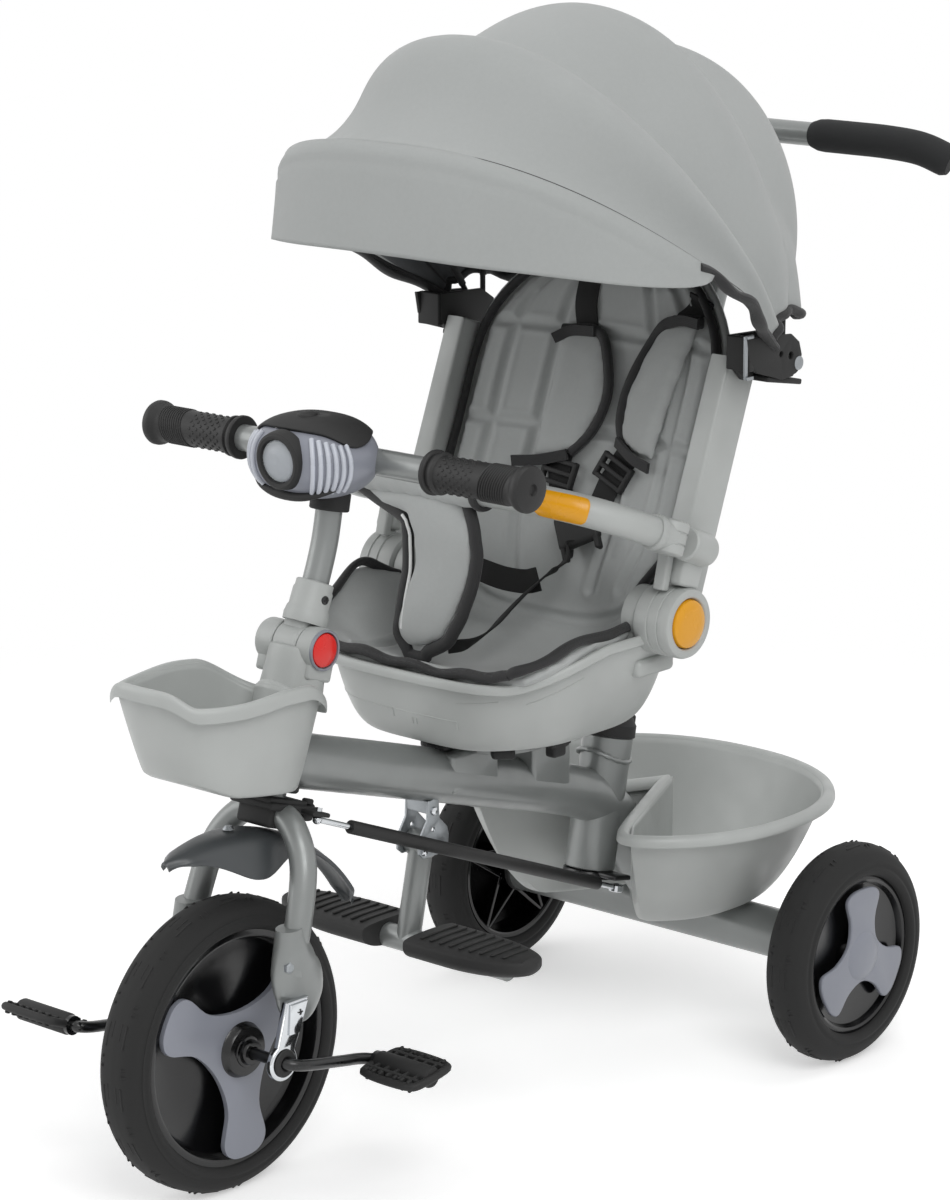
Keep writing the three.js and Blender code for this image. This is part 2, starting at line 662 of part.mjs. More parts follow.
// The lower half, with upright ribs beside the lens.
function lampBody() {
  const skin = common(lampForm(1.5), block(120, 52, 40, 0, 92, 606));
  const ribs = [28, 37].flatMap((x) => [x, -x]).map((x) => block(3, 120, 40, x, 96, 606));
  const ribbed = join(lampForm(0), ...ribs.map((rib) => common(rib, skin)));
  return cut(ribbed, ...lampRoom(), aboveLampSeam(0));
}

function lampCover() {
  const buttonWell = rod(9.5, P(0, 112.1, 634.4), P(0, 109.1, 670), 14);
  return cut(common(lampForm(3), aboveLampSeam(GAP)), ...lampRoom(), buttonWell);
}

function lampLens() {
  const profile = [[0, 0], [17.8, 0], [17.8, 9], [14, 12], [7, 13.6], [0, 14]];
  return turned(profile, P(0, 85.6, 613.4), P(0, 59.6, 611.9), 18);
}

function lampButton() {
  return rod(9, P(0, 111.9, 637), P(0, 110.9, 649), 14);
}

// ---------- Steering link ----------
const LINK_FRONT = P(31, 86, 309.4);
const LINK_REAR = P(31, 484, 152.6);

function linkLine(share) {
  return LINK_FRONT.clone().lerp(LINK_REAR, share);
}

function linkHook(radius) {
  return rod(radius, P(31, 85.4, 307), P(31, 89.4, 320), 8);
}

// A rod hooked up through the steering block's tab, straight under a sleeve, with an eye at its rear end.
function linkRod() {
  const straight = rod(2.6, linkLine(0), linkLine(0.985), 8);
  const rearEye = rod(7, P(31, 482, 149.6), P(31, 483.3, 156.4), 12);
  return join(straight, linkHook(2.6), rearEye);
}

function linkSleeve() {
  return cut(rod(6, linkLine(0.1), linkLine(0.93), 10), rod(3.2, linkLine(0.02), linkLine(0.99), 8));
}

// ---------- Push pole and handle ----------
const POLE_BEND = polePoint(342);
const HANDLE = { y: 717, z: 830, halfLength: 212 };
const UPPER_DIRECTION = P(0, HANDLE.y, HANDLE.z).sub(POLE_BEND).normalize();
function upperPolePoint(along) {
  return POLE_BEND.clone().addScaledVector(UPPER_DIRECTION, along);
}

// The black lower pole turns in the socket; its foot carries the arm that pulls the steering link.
function pushPole() {
  const line = [158, 230, 300, 330].map((z) => polePoint(z));
  line.push(...[14, 60, 160, 290].map(upperPolePoint));
  const bore = rod(12.6, upperPolePoint(60), upperPolePoint(320), 12);
  const armPlate = rod(SOCKET_RADIUS, polePoint(159), polePoint(165.5), 16);
  const tab = block(30, 24, 5, 26, 481, 164.4, -12);
  return join(cut(tube(line, POLE_RADIUS, 11, 12), bore), armPlate, tab);
}

function handleLine(side, points) {
  return points.map(([x, y, z]) => P(side * x, y, z));
}

const HANDLE_BEND = [[150, 717.5, 829.5], [185, 720, 826]];

function pushHandle() {
  const stem = rod(12, upperPolePoint(200), P(0, HANDLE.y, HANDLE.z), 12);
  const half = [[0, 717, 830], [80, 717, 830], ...HANDLE_BEND, [206, 726, 818]];
  const left = tube(handleLine(LEFT, half), 11, 8, 10);
  return join(stem, left, mirrored(left));
}

function foamGrip(side) {
  const skin = [[67, 717, 830], [110, 717, 830], ...HANDLE_BEND, [212, 728, 815]];
  const bore = [[40, 717, 830], [80, 717, 830], ...HANDLE_BEND, [206.6, 726.3, 817.4]];
  const outside = tube(handleLine(side, skin), 15, 8, 10);
  const core = tube(handleLine(side, bore), 12.4, 8, 10);
  return cut(outside, core);
}

// ---------- Footrest ----------
function footrestBracket() {
  const outline = polygon([
    [244, 284], [258, 280], [258, 268], [270, 252],
    [270, 236], [232, 236], [232, 254], [243, 272],
  ]);
  const plates = [12.6, -12.6].map((x) => sidePlate(outline, 2.4, x));
  const pin = acrossRod(3.4, -14, 14, FOOTREST_PIVOT.y, FOOTREST_PIVOT.z, 12);
  const saddle = block(27.6, 14, 22, 0, 251, 283);
  const tubeRoom = tube(mainTubeLine(), MAIN_TUBE_RADIUS + GAP, 11, 12);
  return cut(join(...plates, pin, saddle), tubeRoom);
}

function footrestFrame() {
  const { y, z } = FOOTREST_PIVOT;
  const knuckle = acrossRod(12, -11, 11, y, z, 14);
  const stem = rod(11, P(0, y, z), P(0, 232, 159), 14);
  const crossTube = acrossRod(11, -118, 118, 232, 159, 14);
  return cut(join(knuckle, stem, crossTube), acrossRod(3.9, -20, 20, y, z, 12));
}

// Boat-shaped: a flat tread that narrows outwards over a rounded keel, clamped round the cross tube.
function footPad(side) {
  const pad = loft(16, 4, (angle, rise, spread) => {
    const x = lerp(24, 150, rise);
    const taper = Math.sqrt(Math.max(0.02, 1 - (Math.max(0, rise - 0.35) / 0.68) ** 2));
    const across = 34 * taper * Math.sin(angle) * spread;
    const upright = Math.cos(angle) * spread;
    const height = upright > 0 ? 9 * upright ** 0.3 : 15 * taper * upright;
    return [side * x, 233 + across, 165 + height];
  });
  return cut(pad, acrossRod(11 + GAP, side * 10, side * 118.4, 232, 159, 14));
}

// ---------- Seat ----------
const SEAT = { y: 343, floorZ: 338, rimZ: 430, halfWidth: 148, halfLength: 119, power: 4, wall: 4 };

// The rim is low between the knees and rises to the arms' height beside the hips.
function seatRimZ(angle) {
  const turn = Math.abs(angle) / Math.PI; // 0 at the front, 1 at the back
  return 404 + 28 * smooth(turn, 0.27, 0.47) - 4 * smooth(turn, 0.6, 0.95);
}

// A point of the seat's outline: squarish, but narrower towards the knees.
function seatOutline(angle, halfWidth, halfLength) {
  const [x, run] = ovalPoint(angle, halfWidth, halfLength, SEAT.power);
  return [x * lerp(0.7, 1, smooth(run, -halfLength, -halfLength * 0.2)), run];
}

function seatForm(inset, sides, rings, topZ) {
  const { y, floorZ, rimZ, halfWidth, halfLength } = SEAT;
  return loft(sides, rings, (angle, rise, spread) => {
    const z = lerp(floorZ + inset, topZ(angle, spread), rise ** 1.6);
    const swell = THREE.MathUtils.clamp((z - floorZ) / (rimZ - floorZ), 0, 1) ** 0.42;
    const halfX = lerp(halfWidth - 54, halfWidth, swell) - inset;
    const halfY = lerp(halfLength - 25, halfLength, swell) - inset;
    const [x, run] = seatOutline(angle, halfX, halfY);
    return [x * spread, y + run * spread, z];
  });
}

// A moulded bucket on a round boss that turns on the turntable, with a hinge ear on each side.
function seatPan() {
  const { y, wall, halfWidth, halfLength, floorZ } = SEAT;
  const bowl = cut(seatForm(0, 24, 4, seatRimZ), seatForm(wall, 24, 4, (angle) => seatRimZ(angle) + 6));
  const boss = turntableDisc(60, SWIVEL.plateZ + GAP, floorZ + 3);
  const lip = [[-4, -4], [-4, 2], [3, 3.4], [4.6, -6], [-4, -4]];
  const bead = rolledRim(lip, 24, (angle) => [...seatOutline(angle, halfWidth, halfLength), seatRimZ(angle)]);
  const body = join(bowl, boss, bead.translate(0, y, 0));
  const ears = [];
  const housingRooms = [];
  for (const side of [LEFT, RIGHT]) {
    ears.push(acrossRod(27, side * 126, side * 142, RECLINE.y, RECLINE.z, 16));
    ears.push(block(16, 50, 34, side * 134, RECLINE.y, 424), block(20, 50, 14, side * 137, RECLINE.y, 402));
    housingRooms.push(acrossRod(34.5, side * 142, side * 190, RECLINE.y, RECLINE.z, 16));
  }
  return join(cut(body, ...housingRooms), ...ears);
}

function seatPad() {
  return seatForm(12, 18, 1, (angle, spread) => 398 + 8 * (1 - spread));
}

// ---------- Backrest ----------
const RAIL = { x: 154, thick: 22, halfDepth: 21 };

function railY(z) {
  return 405 + (z - 442) * 0.379;
}

function backWidth(z) {
  const top = THREE.MathUtils.clamp((z - 640) / 96, 0, 1);
  return lerp(118, 143, smooth(z, 455, 510)) * Math.sqrt(1 - 0.84 * top * top);
}

// The middle of the back surface: dished across, and rolled forward a little at the top.
function backSurface(u, v, fromZ, toZ, inset, forward) {
  const z = lerp(fromZ, toZ, (v + 1) / 2);
  const across = (backWidth(z) - inset) * u;
  const dish = 24 * (1 - (across / 150) ** 2);
  return P(across, railY(z) + 6 - forward + dish - 10 * smooth(z, 640, 736), z);
}

// Two moulded rails from the recline hinges to the canopy hubs, with a dished back panel between them.
function backrestShell() {
  const { x, thick, halfDepth } = RAIL;
  const { y, z, radius } = RECLINE;
  const foot = [railY(440), 440];
  const head = [railY(662), 662];
  const rail = sidePlate(polygon([
    [foot[0] - halfDepth, foot[1] + 6], [foot[0] + halfDepth, foot[1] - 6],
    [head[0] + halfDepth, head[1] - 6], [head[0] - halfDepth, head[1] + 6]]), thick, x, 3);
  const housing = acrossRod(radius, 142 + 2 * GAP, 176, y, z, 18);
  const flangeProfile = [[22.2, 0], [31, 0], [31, 3], [29, 6], [22.2, 6], [22.2, 0]];
  const flange = turned(flangeProfile, P(175.9, y, z), P(176.9, y, z), 18);
  const stub = rod(15, P(180, 378, 522.4), P(180, 421, 504.8), 12);
  const stubFoot = block(24, 26, 24, 170, 408, 510, -22);
  const buttonWell = acrossRod(22.2, 172.5, 190, y, z, 18);
  const side = cut(join(rail, housing, flange, stub, stubFoot), buttonWell, knuckleRoom());
  const panel = sheet(10, 6, 5, (u, v) => backSurface(u, v, 452, 736, 0, 0));
  return join(side, mirrored(side), panel);
}

function backPad() {
  return sheet(8, 6, 14, (u, v) => backSurface(u, v, 464, 724, 8, 12));
}

function reclineButton(side) {
  const start = side * (176 + GAP);
  const { y, z } = RECLINE;
  return turned([[0, 0], [21.6, 0], [21.6, 5], [20, 7], [0, 8]], P(start, y, z), P(start + side, y, z), 18);
}

// Shoulder straps with pads, a lap belt and the strap between the legs, laid in front of the back pad.
function harness() {
  const strap = (width, x, fromZ, toZ) => block(width, 3, toZ - fromZ, x, 0, (fromZ + toZ) / 2);
  const flat = join(
    strap(24, 46, 470, 700), strap(24, -46, 470, 700),
    strap(58, 50, 540, 660), strap(58, -50, 540, 660),
    block(190, 3, 24, 0, 0, 482), block(44, 3.6, 40, 0, 0, 482), strap(24, 0, 460, 484));
  const back = (x, z) => railY(z) - 18 + 24 * (1 - (x / 150) ** 2) - 10 * smooth(z, 640, 736);
  return reshape(flat, (x, y, z) => [x, y + back(x, z), z]);
}

// ---------- Guard bar ----------
const GUARD_BAR_RADIUS = 14;

// A knuckle stands across each end of the bar: the left one is the hinge, the right one the catch.
function knuckle(radius, spare) {
  const foot = P(180, 364.3 - 0.38 * spare, 512.1 - 0.92 * spare);
  const head = P(180, 375.7 + 0.38 * spare, 539.9 + 0.92 * spare);
  return rod(radius, foot, head, 12);
}

function knuckleRoom() {
  return knuckle(14.6, 4);
}

function guardBar() {
  const half = [
    [0, 285, 561], [70, 285, 561], [122, 287, 560.2],
    [152, 304, 553.2], [170, 332, 541.6], [180, 368, 526.8],
  ];
  const left = join(tube(half.map(([x, y, z]) => P(x, y, z)), GUARD_BAR_RADIUS, 9, 10), knuckle(13.8, 0));
  return join(left, mirrored(left));
}

// The padded strap between the legs: looped over the bar, it hangs to the seat.
function crotchPad() {
  const pad = loft(16, 5, (angle, rise, spread) => {
    const z = lerp(428, 581, rise);
    const round = Math.sqrt(Math.max(0.1, 1 - (1 - Math.min(rise / 0.3, 1)) ** 2));
    const [x, run] = ovalPoint(angle, lerp(40, 56, rise) * round, lerp(9, 19, smooth(rise, 0.7, 0.88)), 3);
    const shift = -16 * smooth(rise, 0.6, 0.95);
    return [shift + x * spread, lerp(268, 285, smooth(rise, 0.1, 0.75)) + run * spread, z];
  });
  return cut(pad, acrossRod(GUARD_BAR_RADIUS + 1, -80, 80, 285, 561, 12));
}

// ---------- Canopy ----------
// A bow stands at an angle above straight ahead; its ends turn on the hub pins at x = root.
const BOWS = {
  front: { angle: 32.5, reach: 377, halfWidth: 229, power: 2.8, root: 186 },
  middle: { angle: 56, reach: 352, halfWidth: 188, power: 2.1, root: 180.4 },
  back: { angle: 90, reach: 286, halfWidth: 182, power: 1.9, root: 174.8 },
  hem: { angle: 128, reach: 168, halfWidth: 180, power: 2.1, root: 174.8 },
};
const BOW_RADIUS = 2.6;

// lift moves the point outwards, square to the hoop.
function bowPoint({ angle, reach, halfWidth, power, root }, turn, lift = 0) {
  const [across, rise] = [Math.cos(turn), Math.sin(turn)];
  const side = across >= 0 ? 1 : -1;
  const radius = reach * rise ** (2 / power) + lift * rise;
  const wide = halfWidth * Math.abs(across) ** (2 / power);
  const x = side * (lerp(root, wide, smooth(radius, 34, 150)) + lift * Math.abs(across));
  const a = radians(angle);
  return P(x, CANOPY_HUB.y - radius * Math.cos(a), CANOPY_HUB.z + radius * Math.sin(a));
}

function canopyHoop(bow) {
  const a = radians(bow.angle);
  const { y, z } = CANOPY_HUB;
  const end = (side, radius) => P(side * bow.root, y - radius * Math.cos(a), z + radius * Math.sin(a));
  const points = [end(LEFT, 0), end(LEFT, 40)];
  for (let turn = 12; turn <= 168; turn += 12) points.push(bowPoint(bow, radians(turn)));
  points.push(end(RIGHT, 40), end(RIGHT, 0));
  return tube(points, BOW_RADIUS, 24, 6);
}

function canopyBow(bow) {
  const { y, z } = CANOPY_HUB;
  const [inner, outer] = [bow.root - 1.9, bow.root + 1.9];
  const discs = [LEFT, RIGHT].map((side) => acrossRod(11, side * inner, side * outer, y, z, 10));
  return cut(join(canopyHoop(bow), ...discs), acrossRod(4.6, -230, 230, y, z, 8));
}

// The back hoop stands fixed between two hub blocks; each block's pin carries the two folding bows.
function canopyFrame() {
  const { y, z } = CANOPY_HUB;
  const hubs = [LEFT, RIGHT].flatMap((side) => [
    block(6.8, 80, 34, side * 169, y - 27, z + 4),
    block(4, 46, 34, side * 191.2, y - 13, z + 2),
    block(28, 46, 6, side * 179.5, y - 13, z - 18),
    acrossRod(4, side * 168, side * 191, y, z, 8),
  ]);
  return join(canopyHoop(BOWS.back), ...hubs);
}

// Cloth stretched between two hoops.
// It narrows fast behind the first hoop (waist) and puffs up in the middle.
function canopyPanel(from, to, bulge, waist = 1) {
  return sheet(14, 3, 2, (u, v) => {
    const turn = radians(lerp(8, 172, (u + 1) / 2));
    const share = lerp(0.11, 0.93, (v + 1) / 2);
    const mixed = {};
    for (const key of Object.keys(from)) mixed[key] = lerp(from[key], to[key], share);
    mixed.halfWidth = lerp(from.halfWidth, to.halfWidth, share ** waist);
    mixed.power = lerp(from.power, to.power, share ** waist);
    const puff = bulge * 4 * share * (1 - share) * Math.sin(turn) ** 1.5;
    return bowPoint(mixed, turn, puff + 6.8);
  });
}

// The band that hangs from the front bow.
function visor() {
  return sheet(14, 2, 2, (u, v) => {
    const turn = radians(lerp(14, 166, (u + 1) / 2));
    const top = bowPoint(BOWS.front, turn, 6);
    const hang = (v + 1) / 2;
    const deep = 4 + 80 * Math.sin(turn) ** 1.6;
    return P(top.x + Math.sign(top.x) * 4 * hang, top.y - 3 - 6 * hang, top.z - deep * hang);
  });
}

// ---------- Assembly ----------
add("main_frame", mainFrame(), FRAME_PAINT);
add("pole_collar", poleCollar(), BLACK_PLASTIC);
add("swivel_plate", swivelPlate(), BLACK_PLASTIC);
add("rear_basket", rearBasket(), GREY_PLASTIC);
add("footrest_bracket", footrestBracket(), ZINC);
add("footrest_frame", footrestFrame(), FRAME_PAINT);
add("left_foot_pad", footPad(LEFT), BLACK_PLASTIC);
add("right_foot_pad", footPad(RIGHT), BLACK_PLASTIC);
rearWheel(LEFT, "left");
rearWheel(RIGHT, "right");
frontWheel();
add("front_fork", frontFork(), FRAME_PAINT);
add("left_dropout", dropout(LEFT), CHROME);
add("right_dropout", dropout(RIGHT), CHROME);
add("mudguard", mudguard(), DARK_PLASTIC);
add("steering_block", steeringBlock(), BLACK_PLASTIC);
add("front_basket", frontBasket(), GREY_PLASTIC);
add("head_housing", headHousing(), GREY_PLASTIC);
add("fold_button", foldButton(), RED_PLASTIC);
add("stem_knuckle", stemKnuckle(), GREY_PLASTIC);
add("handlebar", handlebar(), FRAME_PAINT);
add("left_grip", grip(LEFT), BLACK_RUBBER);
add("right_grip", grip(RIGHT), BLACK_RUBBER);
add("lamp_body", lampBody(), COVER_PLASTIC);
add("lamp_cover", lampCover(), BLACK_PLASTIC);
add("lamp_lens", lampLens(), CLEAR_LENS);
add("lamp_button", lampButton(), BLACK_PLASTIC);
add("link_rod", linkRod(), CHROME);
add("link_sleeve", linkSleeve(), BLACK_RUBBER);
add("push_pole", pushPole(), BLACK_STEEL);
add("push_handle", pushHandle(), FRAME_PAINT);
add("left_foam_grip", foamGrip(LEFT), BLACK_RUBBER);
add("right_foam_grip", foamGrip(RIGHT), BLACK_RUBBER);
add("seat_pan", seatPan(), GREY_PLASTIC);
add("seat_pad", seatPad(), GREY_FABRIC);
add("backrest_shell", backrestShell(), GREY_PLASTIC);
add("back_pad", backPad(), GREY_FABRIC);
add("left_recline_button", reclineButton(LEFT), AMBER_PLASTIC);
add("right_recline_button", reclineButton(RIGHT), AMBER_PLASTIC);
add("harness", harness(), BLACK_WEBBING);
add("guard_bar", guardBar(), GREY_PLASTIC);
add("crotch_pad", crotchPad(), GREY_FABRIC);
add("front_canopy_bow", canopyBow(BOWS.front), BLACK_STEEL);
add("middle_canopy_bow", canopyBow(BOWS.middle), BLACK_STEEL);
add("canopy_frame", canopyFrame(), BLACK_PLASTIC);
add("front_canopy_panel", canopyPanel(BOWS.front, BOWS.middle, 16, 0.5), GREY_FABRIC);
add("top_canopy_panel", canopyPanel(BOWS.middle, BOWS.back, 4), GREY_FABRIC);
add("back_canopy_panel", canopyPanel(BOWS.back, BOWS.hem, 14), GREY_FABRIC);
add("canopy_visor", visor(), GREY_FABRIC);

export default tricycle;
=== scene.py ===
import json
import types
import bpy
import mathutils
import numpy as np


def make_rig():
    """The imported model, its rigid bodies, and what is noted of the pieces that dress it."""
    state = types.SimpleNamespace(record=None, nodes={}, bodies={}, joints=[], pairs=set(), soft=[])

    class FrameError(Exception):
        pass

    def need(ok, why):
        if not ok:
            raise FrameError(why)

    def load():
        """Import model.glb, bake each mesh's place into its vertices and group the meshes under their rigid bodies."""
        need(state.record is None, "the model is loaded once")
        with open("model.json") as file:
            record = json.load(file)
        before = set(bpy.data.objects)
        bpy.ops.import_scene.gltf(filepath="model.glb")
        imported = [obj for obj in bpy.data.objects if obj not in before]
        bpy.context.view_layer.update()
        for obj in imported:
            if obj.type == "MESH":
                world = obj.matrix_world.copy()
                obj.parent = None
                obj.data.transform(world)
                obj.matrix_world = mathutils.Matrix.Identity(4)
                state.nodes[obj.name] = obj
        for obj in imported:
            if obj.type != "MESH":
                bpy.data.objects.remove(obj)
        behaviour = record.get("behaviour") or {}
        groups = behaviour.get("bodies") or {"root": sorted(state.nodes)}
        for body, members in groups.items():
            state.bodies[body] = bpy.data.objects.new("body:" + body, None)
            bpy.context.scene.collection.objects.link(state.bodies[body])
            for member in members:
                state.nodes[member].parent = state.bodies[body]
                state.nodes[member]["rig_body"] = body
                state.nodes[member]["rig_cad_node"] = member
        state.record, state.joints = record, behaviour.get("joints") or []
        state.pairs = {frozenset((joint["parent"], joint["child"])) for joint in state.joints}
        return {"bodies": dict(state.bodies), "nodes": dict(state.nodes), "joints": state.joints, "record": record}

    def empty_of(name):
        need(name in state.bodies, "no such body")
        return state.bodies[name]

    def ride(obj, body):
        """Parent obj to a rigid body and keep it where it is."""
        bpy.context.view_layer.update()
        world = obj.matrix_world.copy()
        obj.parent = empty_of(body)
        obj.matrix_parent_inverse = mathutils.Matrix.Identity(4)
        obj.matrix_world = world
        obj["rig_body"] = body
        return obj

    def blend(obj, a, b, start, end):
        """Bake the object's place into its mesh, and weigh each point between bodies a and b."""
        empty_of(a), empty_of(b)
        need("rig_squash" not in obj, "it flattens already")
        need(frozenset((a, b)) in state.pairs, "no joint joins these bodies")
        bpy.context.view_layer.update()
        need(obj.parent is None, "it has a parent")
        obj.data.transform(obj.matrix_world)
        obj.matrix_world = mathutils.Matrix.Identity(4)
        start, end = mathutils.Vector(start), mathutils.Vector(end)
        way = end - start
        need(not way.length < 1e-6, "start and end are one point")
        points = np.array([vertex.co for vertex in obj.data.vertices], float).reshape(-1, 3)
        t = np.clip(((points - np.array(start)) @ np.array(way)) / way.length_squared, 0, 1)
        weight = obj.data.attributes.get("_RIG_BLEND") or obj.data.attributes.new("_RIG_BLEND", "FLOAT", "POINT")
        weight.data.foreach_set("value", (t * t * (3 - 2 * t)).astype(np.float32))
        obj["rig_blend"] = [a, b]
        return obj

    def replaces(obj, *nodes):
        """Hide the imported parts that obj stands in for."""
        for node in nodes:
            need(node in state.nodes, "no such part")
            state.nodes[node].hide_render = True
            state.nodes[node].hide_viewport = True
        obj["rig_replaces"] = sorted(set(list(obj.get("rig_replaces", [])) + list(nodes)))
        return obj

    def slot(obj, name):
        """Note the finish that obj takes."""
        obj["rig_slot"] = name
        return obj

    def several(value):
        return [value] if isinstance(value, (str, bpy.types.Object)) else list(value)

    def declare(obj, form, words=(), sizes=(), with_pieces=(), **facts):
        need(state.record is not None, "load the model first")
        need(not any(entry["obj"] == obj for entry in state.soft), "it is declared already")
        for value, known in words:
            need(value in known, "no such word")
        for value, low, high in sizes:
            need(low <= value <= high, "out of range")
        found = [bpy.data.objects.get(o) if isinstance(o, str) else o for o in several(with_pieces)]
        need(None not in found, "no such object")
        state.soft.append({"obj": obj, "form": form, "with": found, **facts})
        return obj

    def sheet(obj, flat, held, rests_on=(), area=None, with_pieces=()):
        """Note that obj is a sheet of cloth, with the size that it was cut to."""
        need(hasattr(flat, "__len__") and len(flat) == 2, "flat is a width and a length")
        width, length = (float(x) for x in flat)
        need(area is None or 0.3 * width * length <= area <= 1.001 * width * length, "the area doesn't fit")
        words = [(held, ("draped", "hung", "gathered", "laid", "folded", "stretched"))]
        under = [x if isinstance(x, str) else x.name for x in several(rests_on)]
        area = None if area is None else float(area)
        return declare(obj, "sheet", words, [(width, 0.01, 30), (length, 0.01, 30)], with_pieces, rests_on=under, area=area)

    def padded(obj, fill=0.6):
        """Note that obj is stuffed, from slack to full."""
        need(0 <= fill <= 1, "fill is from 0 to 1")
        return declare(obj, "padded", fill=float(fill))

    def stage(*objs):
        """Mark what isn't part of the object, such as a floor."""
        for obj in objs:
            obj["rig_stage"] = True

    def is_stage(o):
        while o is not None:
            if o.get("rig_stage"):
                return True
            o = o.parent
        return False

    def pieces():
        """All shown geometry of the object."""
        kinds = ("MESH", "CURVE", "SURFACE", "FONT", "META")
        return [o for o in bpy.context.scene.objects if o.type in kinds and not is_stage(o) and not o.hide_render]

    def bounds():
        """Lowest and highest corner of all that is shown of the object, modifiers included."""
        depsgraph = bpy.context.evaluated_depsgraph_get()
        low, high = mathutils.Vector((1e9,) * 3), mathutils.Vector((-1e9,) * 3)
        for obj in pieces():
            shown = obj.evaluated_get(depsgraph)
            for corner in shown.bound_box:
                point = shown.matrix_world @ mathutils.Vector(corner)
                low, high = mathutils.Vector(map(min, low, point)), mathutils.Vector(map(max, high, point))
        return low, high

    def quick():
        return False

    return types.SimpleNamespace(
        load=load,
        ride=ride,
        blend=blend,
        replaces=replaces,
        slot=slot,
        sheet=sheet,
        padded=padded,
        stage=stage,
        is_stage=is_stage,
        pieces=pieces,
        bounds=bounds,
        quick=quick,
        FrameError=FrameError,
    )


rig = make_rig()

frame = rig.load()

import json
import logging
from dataclasses import dataclass, field
from enum import Enum
from math import asin, atan2, copysign, cos, exp, hypot, pi, radians, sin, sqrt, tan
from typing import Callable, Iterable, Sequence

import bmesh
import bpy
from mathutils import Matrix, Vector
from mathutils.bvhtree import BVHTree
from mathutils.kdtree import KDTree

CAD_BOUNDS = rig.bounds()
LOG = logging.getLogger("tricycle")
JOINTS = {joint["name"]: joint for joint in frame["joints"]}
UP = Vector((0.0, 0.0, 1.0))
ACROSS = Vector((1.0, 0.0, 0.0))
TAU = 2 * pi
SIDEWAYS = Matrix(((0, 0, 1), (1, 0, 0), (0, 1, 0))).to_4x4()
Piece = bpy.types.Object
Surface = Callable[[float, float], Vector]
Profile = Sequence[tuple[float, float]]


def pivot(joint: str) -> Vector:
    """The point that a joint of the record turns about."""
    return Vector(JOINTS[joint]["pos_m"])


AXLE = pivot("front_wheel_spin")
REAR_AXLE = pivot("left_rear_wheel_spin")


def at(x: float, y: float, z: float) -> Vector:
    """A point given in millimetres, with y measured back from the front axle."""
    return Vector((x * 0.001, y * 0.001 + AXLE.y, z * 0.001))


def lerp(a: float, b: float, share: float) -> float:
    """The value at a share of the way from a to b."""
    return a + (b - a) * share


def smooth(value: float, low: float, high: float) -> float:
    """An eased step from 0 at low to 1 at high."""
    t = min(1.0, max(0.0, (value - low) / (high - low)))
    return t * t * (3 - 2 * t)


def bump_at(value: float, centre: float, width: float) -> float:
    """A bell curve of height 1 round a centre."""
    return exp(-(((value - centre) / width) ** 2))


def passing(a: Vector, b: Vector, c: Vector, d: Vector, t: float) -> Vector:
    """The value at a share t of the way from b to c, on the smooth curve that also passes a and d."""
    bend = 2 * a - 5 * b + 4 * c - d
    return 0.5 * (2 * b + (c - a) * t + bend * t * t + (3 * b - 3 * c + d - a) * t ** 3)


def spline(points: Sequence[Vector], steps: int, closed: bool = False) -> list[Vector]:
    """Points on a smooth curve that passes through the given ones.

    Args:
        points: the points to pass through.
        steps: how many stretches each gap between two points is cut into.
        closed: whether the curve runs back to its start.

    Returns:
        The curve's points, without the repeated first one where it is closed.
    """
    count = len(points)
    gaps = count if closed else count - 1
    made = []
    for i in range(gaps):
        if closed:
            a, b, c, d = (points[(i + k) % count] for k in (-1, 0, 1, 2))
        else:
            b, c = points[i], points[i + 1]
            a = points[i - 1] if i else b * 2 - c
            d = points[i + 2] if i + 2 < count else c * 2 - b
        made += [passing(a, b, c, d, k / steps) for k in range(steps)]
    if not closed:
        made.append(points[-1].copy())
    return made


def unique(items: Iterable) -> list:
    """The items without repeats, in their first order, so that each run builds the same mesh."""
    return list(dict.fromkeys(items))


def mirrored(points: Iterable[Vector]) -> list[Vector]:
    """The same points on the other side of the tricycle."""
    return [Vector((-p.x, p.y, p.z)) for p in points]


def facing(origin: Vector, along: Vector, spin: Vector | None = None) -> Matrix:
    """A placement whose Z runs along a direction and whose X leans towards spin."""
    z = along.normalized()
    hint = spin if spin is not None else (ACROSS if abs(z.x) < 0.9 else UP)
    x = (hint - z * hint.dot(z)).normalized()
    return Matrix.Translation(origin) @ Matrix((x, z.cross(x), z)).transposed().to_4x4()


def side_on(x: float) -> Matrix:
    """A placement at x whose X and Y are the design's y and z, in millimetres."""
    return Matrix.Translation(at(x, 0, 0)) @ SIDEWAYS


def placed(x: float, y: float, z: float, tilt: float = 0.0) -> Matrix:
    """A placement at a point, turned about X by degrees."""
    return Matrix.Translation(at(x, y, z)) @ Matrix.Rotation(radians(tilt), 4, "X")


def signed(value: float, power: float) -> float:
    """A power of a number that keeps its sign."""
    return copysign(abs(value) ** power, value)


class Side(Enum):
    """The child's left and right."""

    LEFT = 1
    RIGHT = -1

    @property
    def out(self) -> Vector:
        """The direction away from the middle."""
        return ACROSS * self.value

    def at(self, x: float, y: float, z: float) -> Vector:
        """A point on this side, x millimetres from the middle."""
        return at(self.value * x, y, z)

    @property
    def word(self) -> str:
        """The side's name, as piece names use it."""
        return self.name.lower()


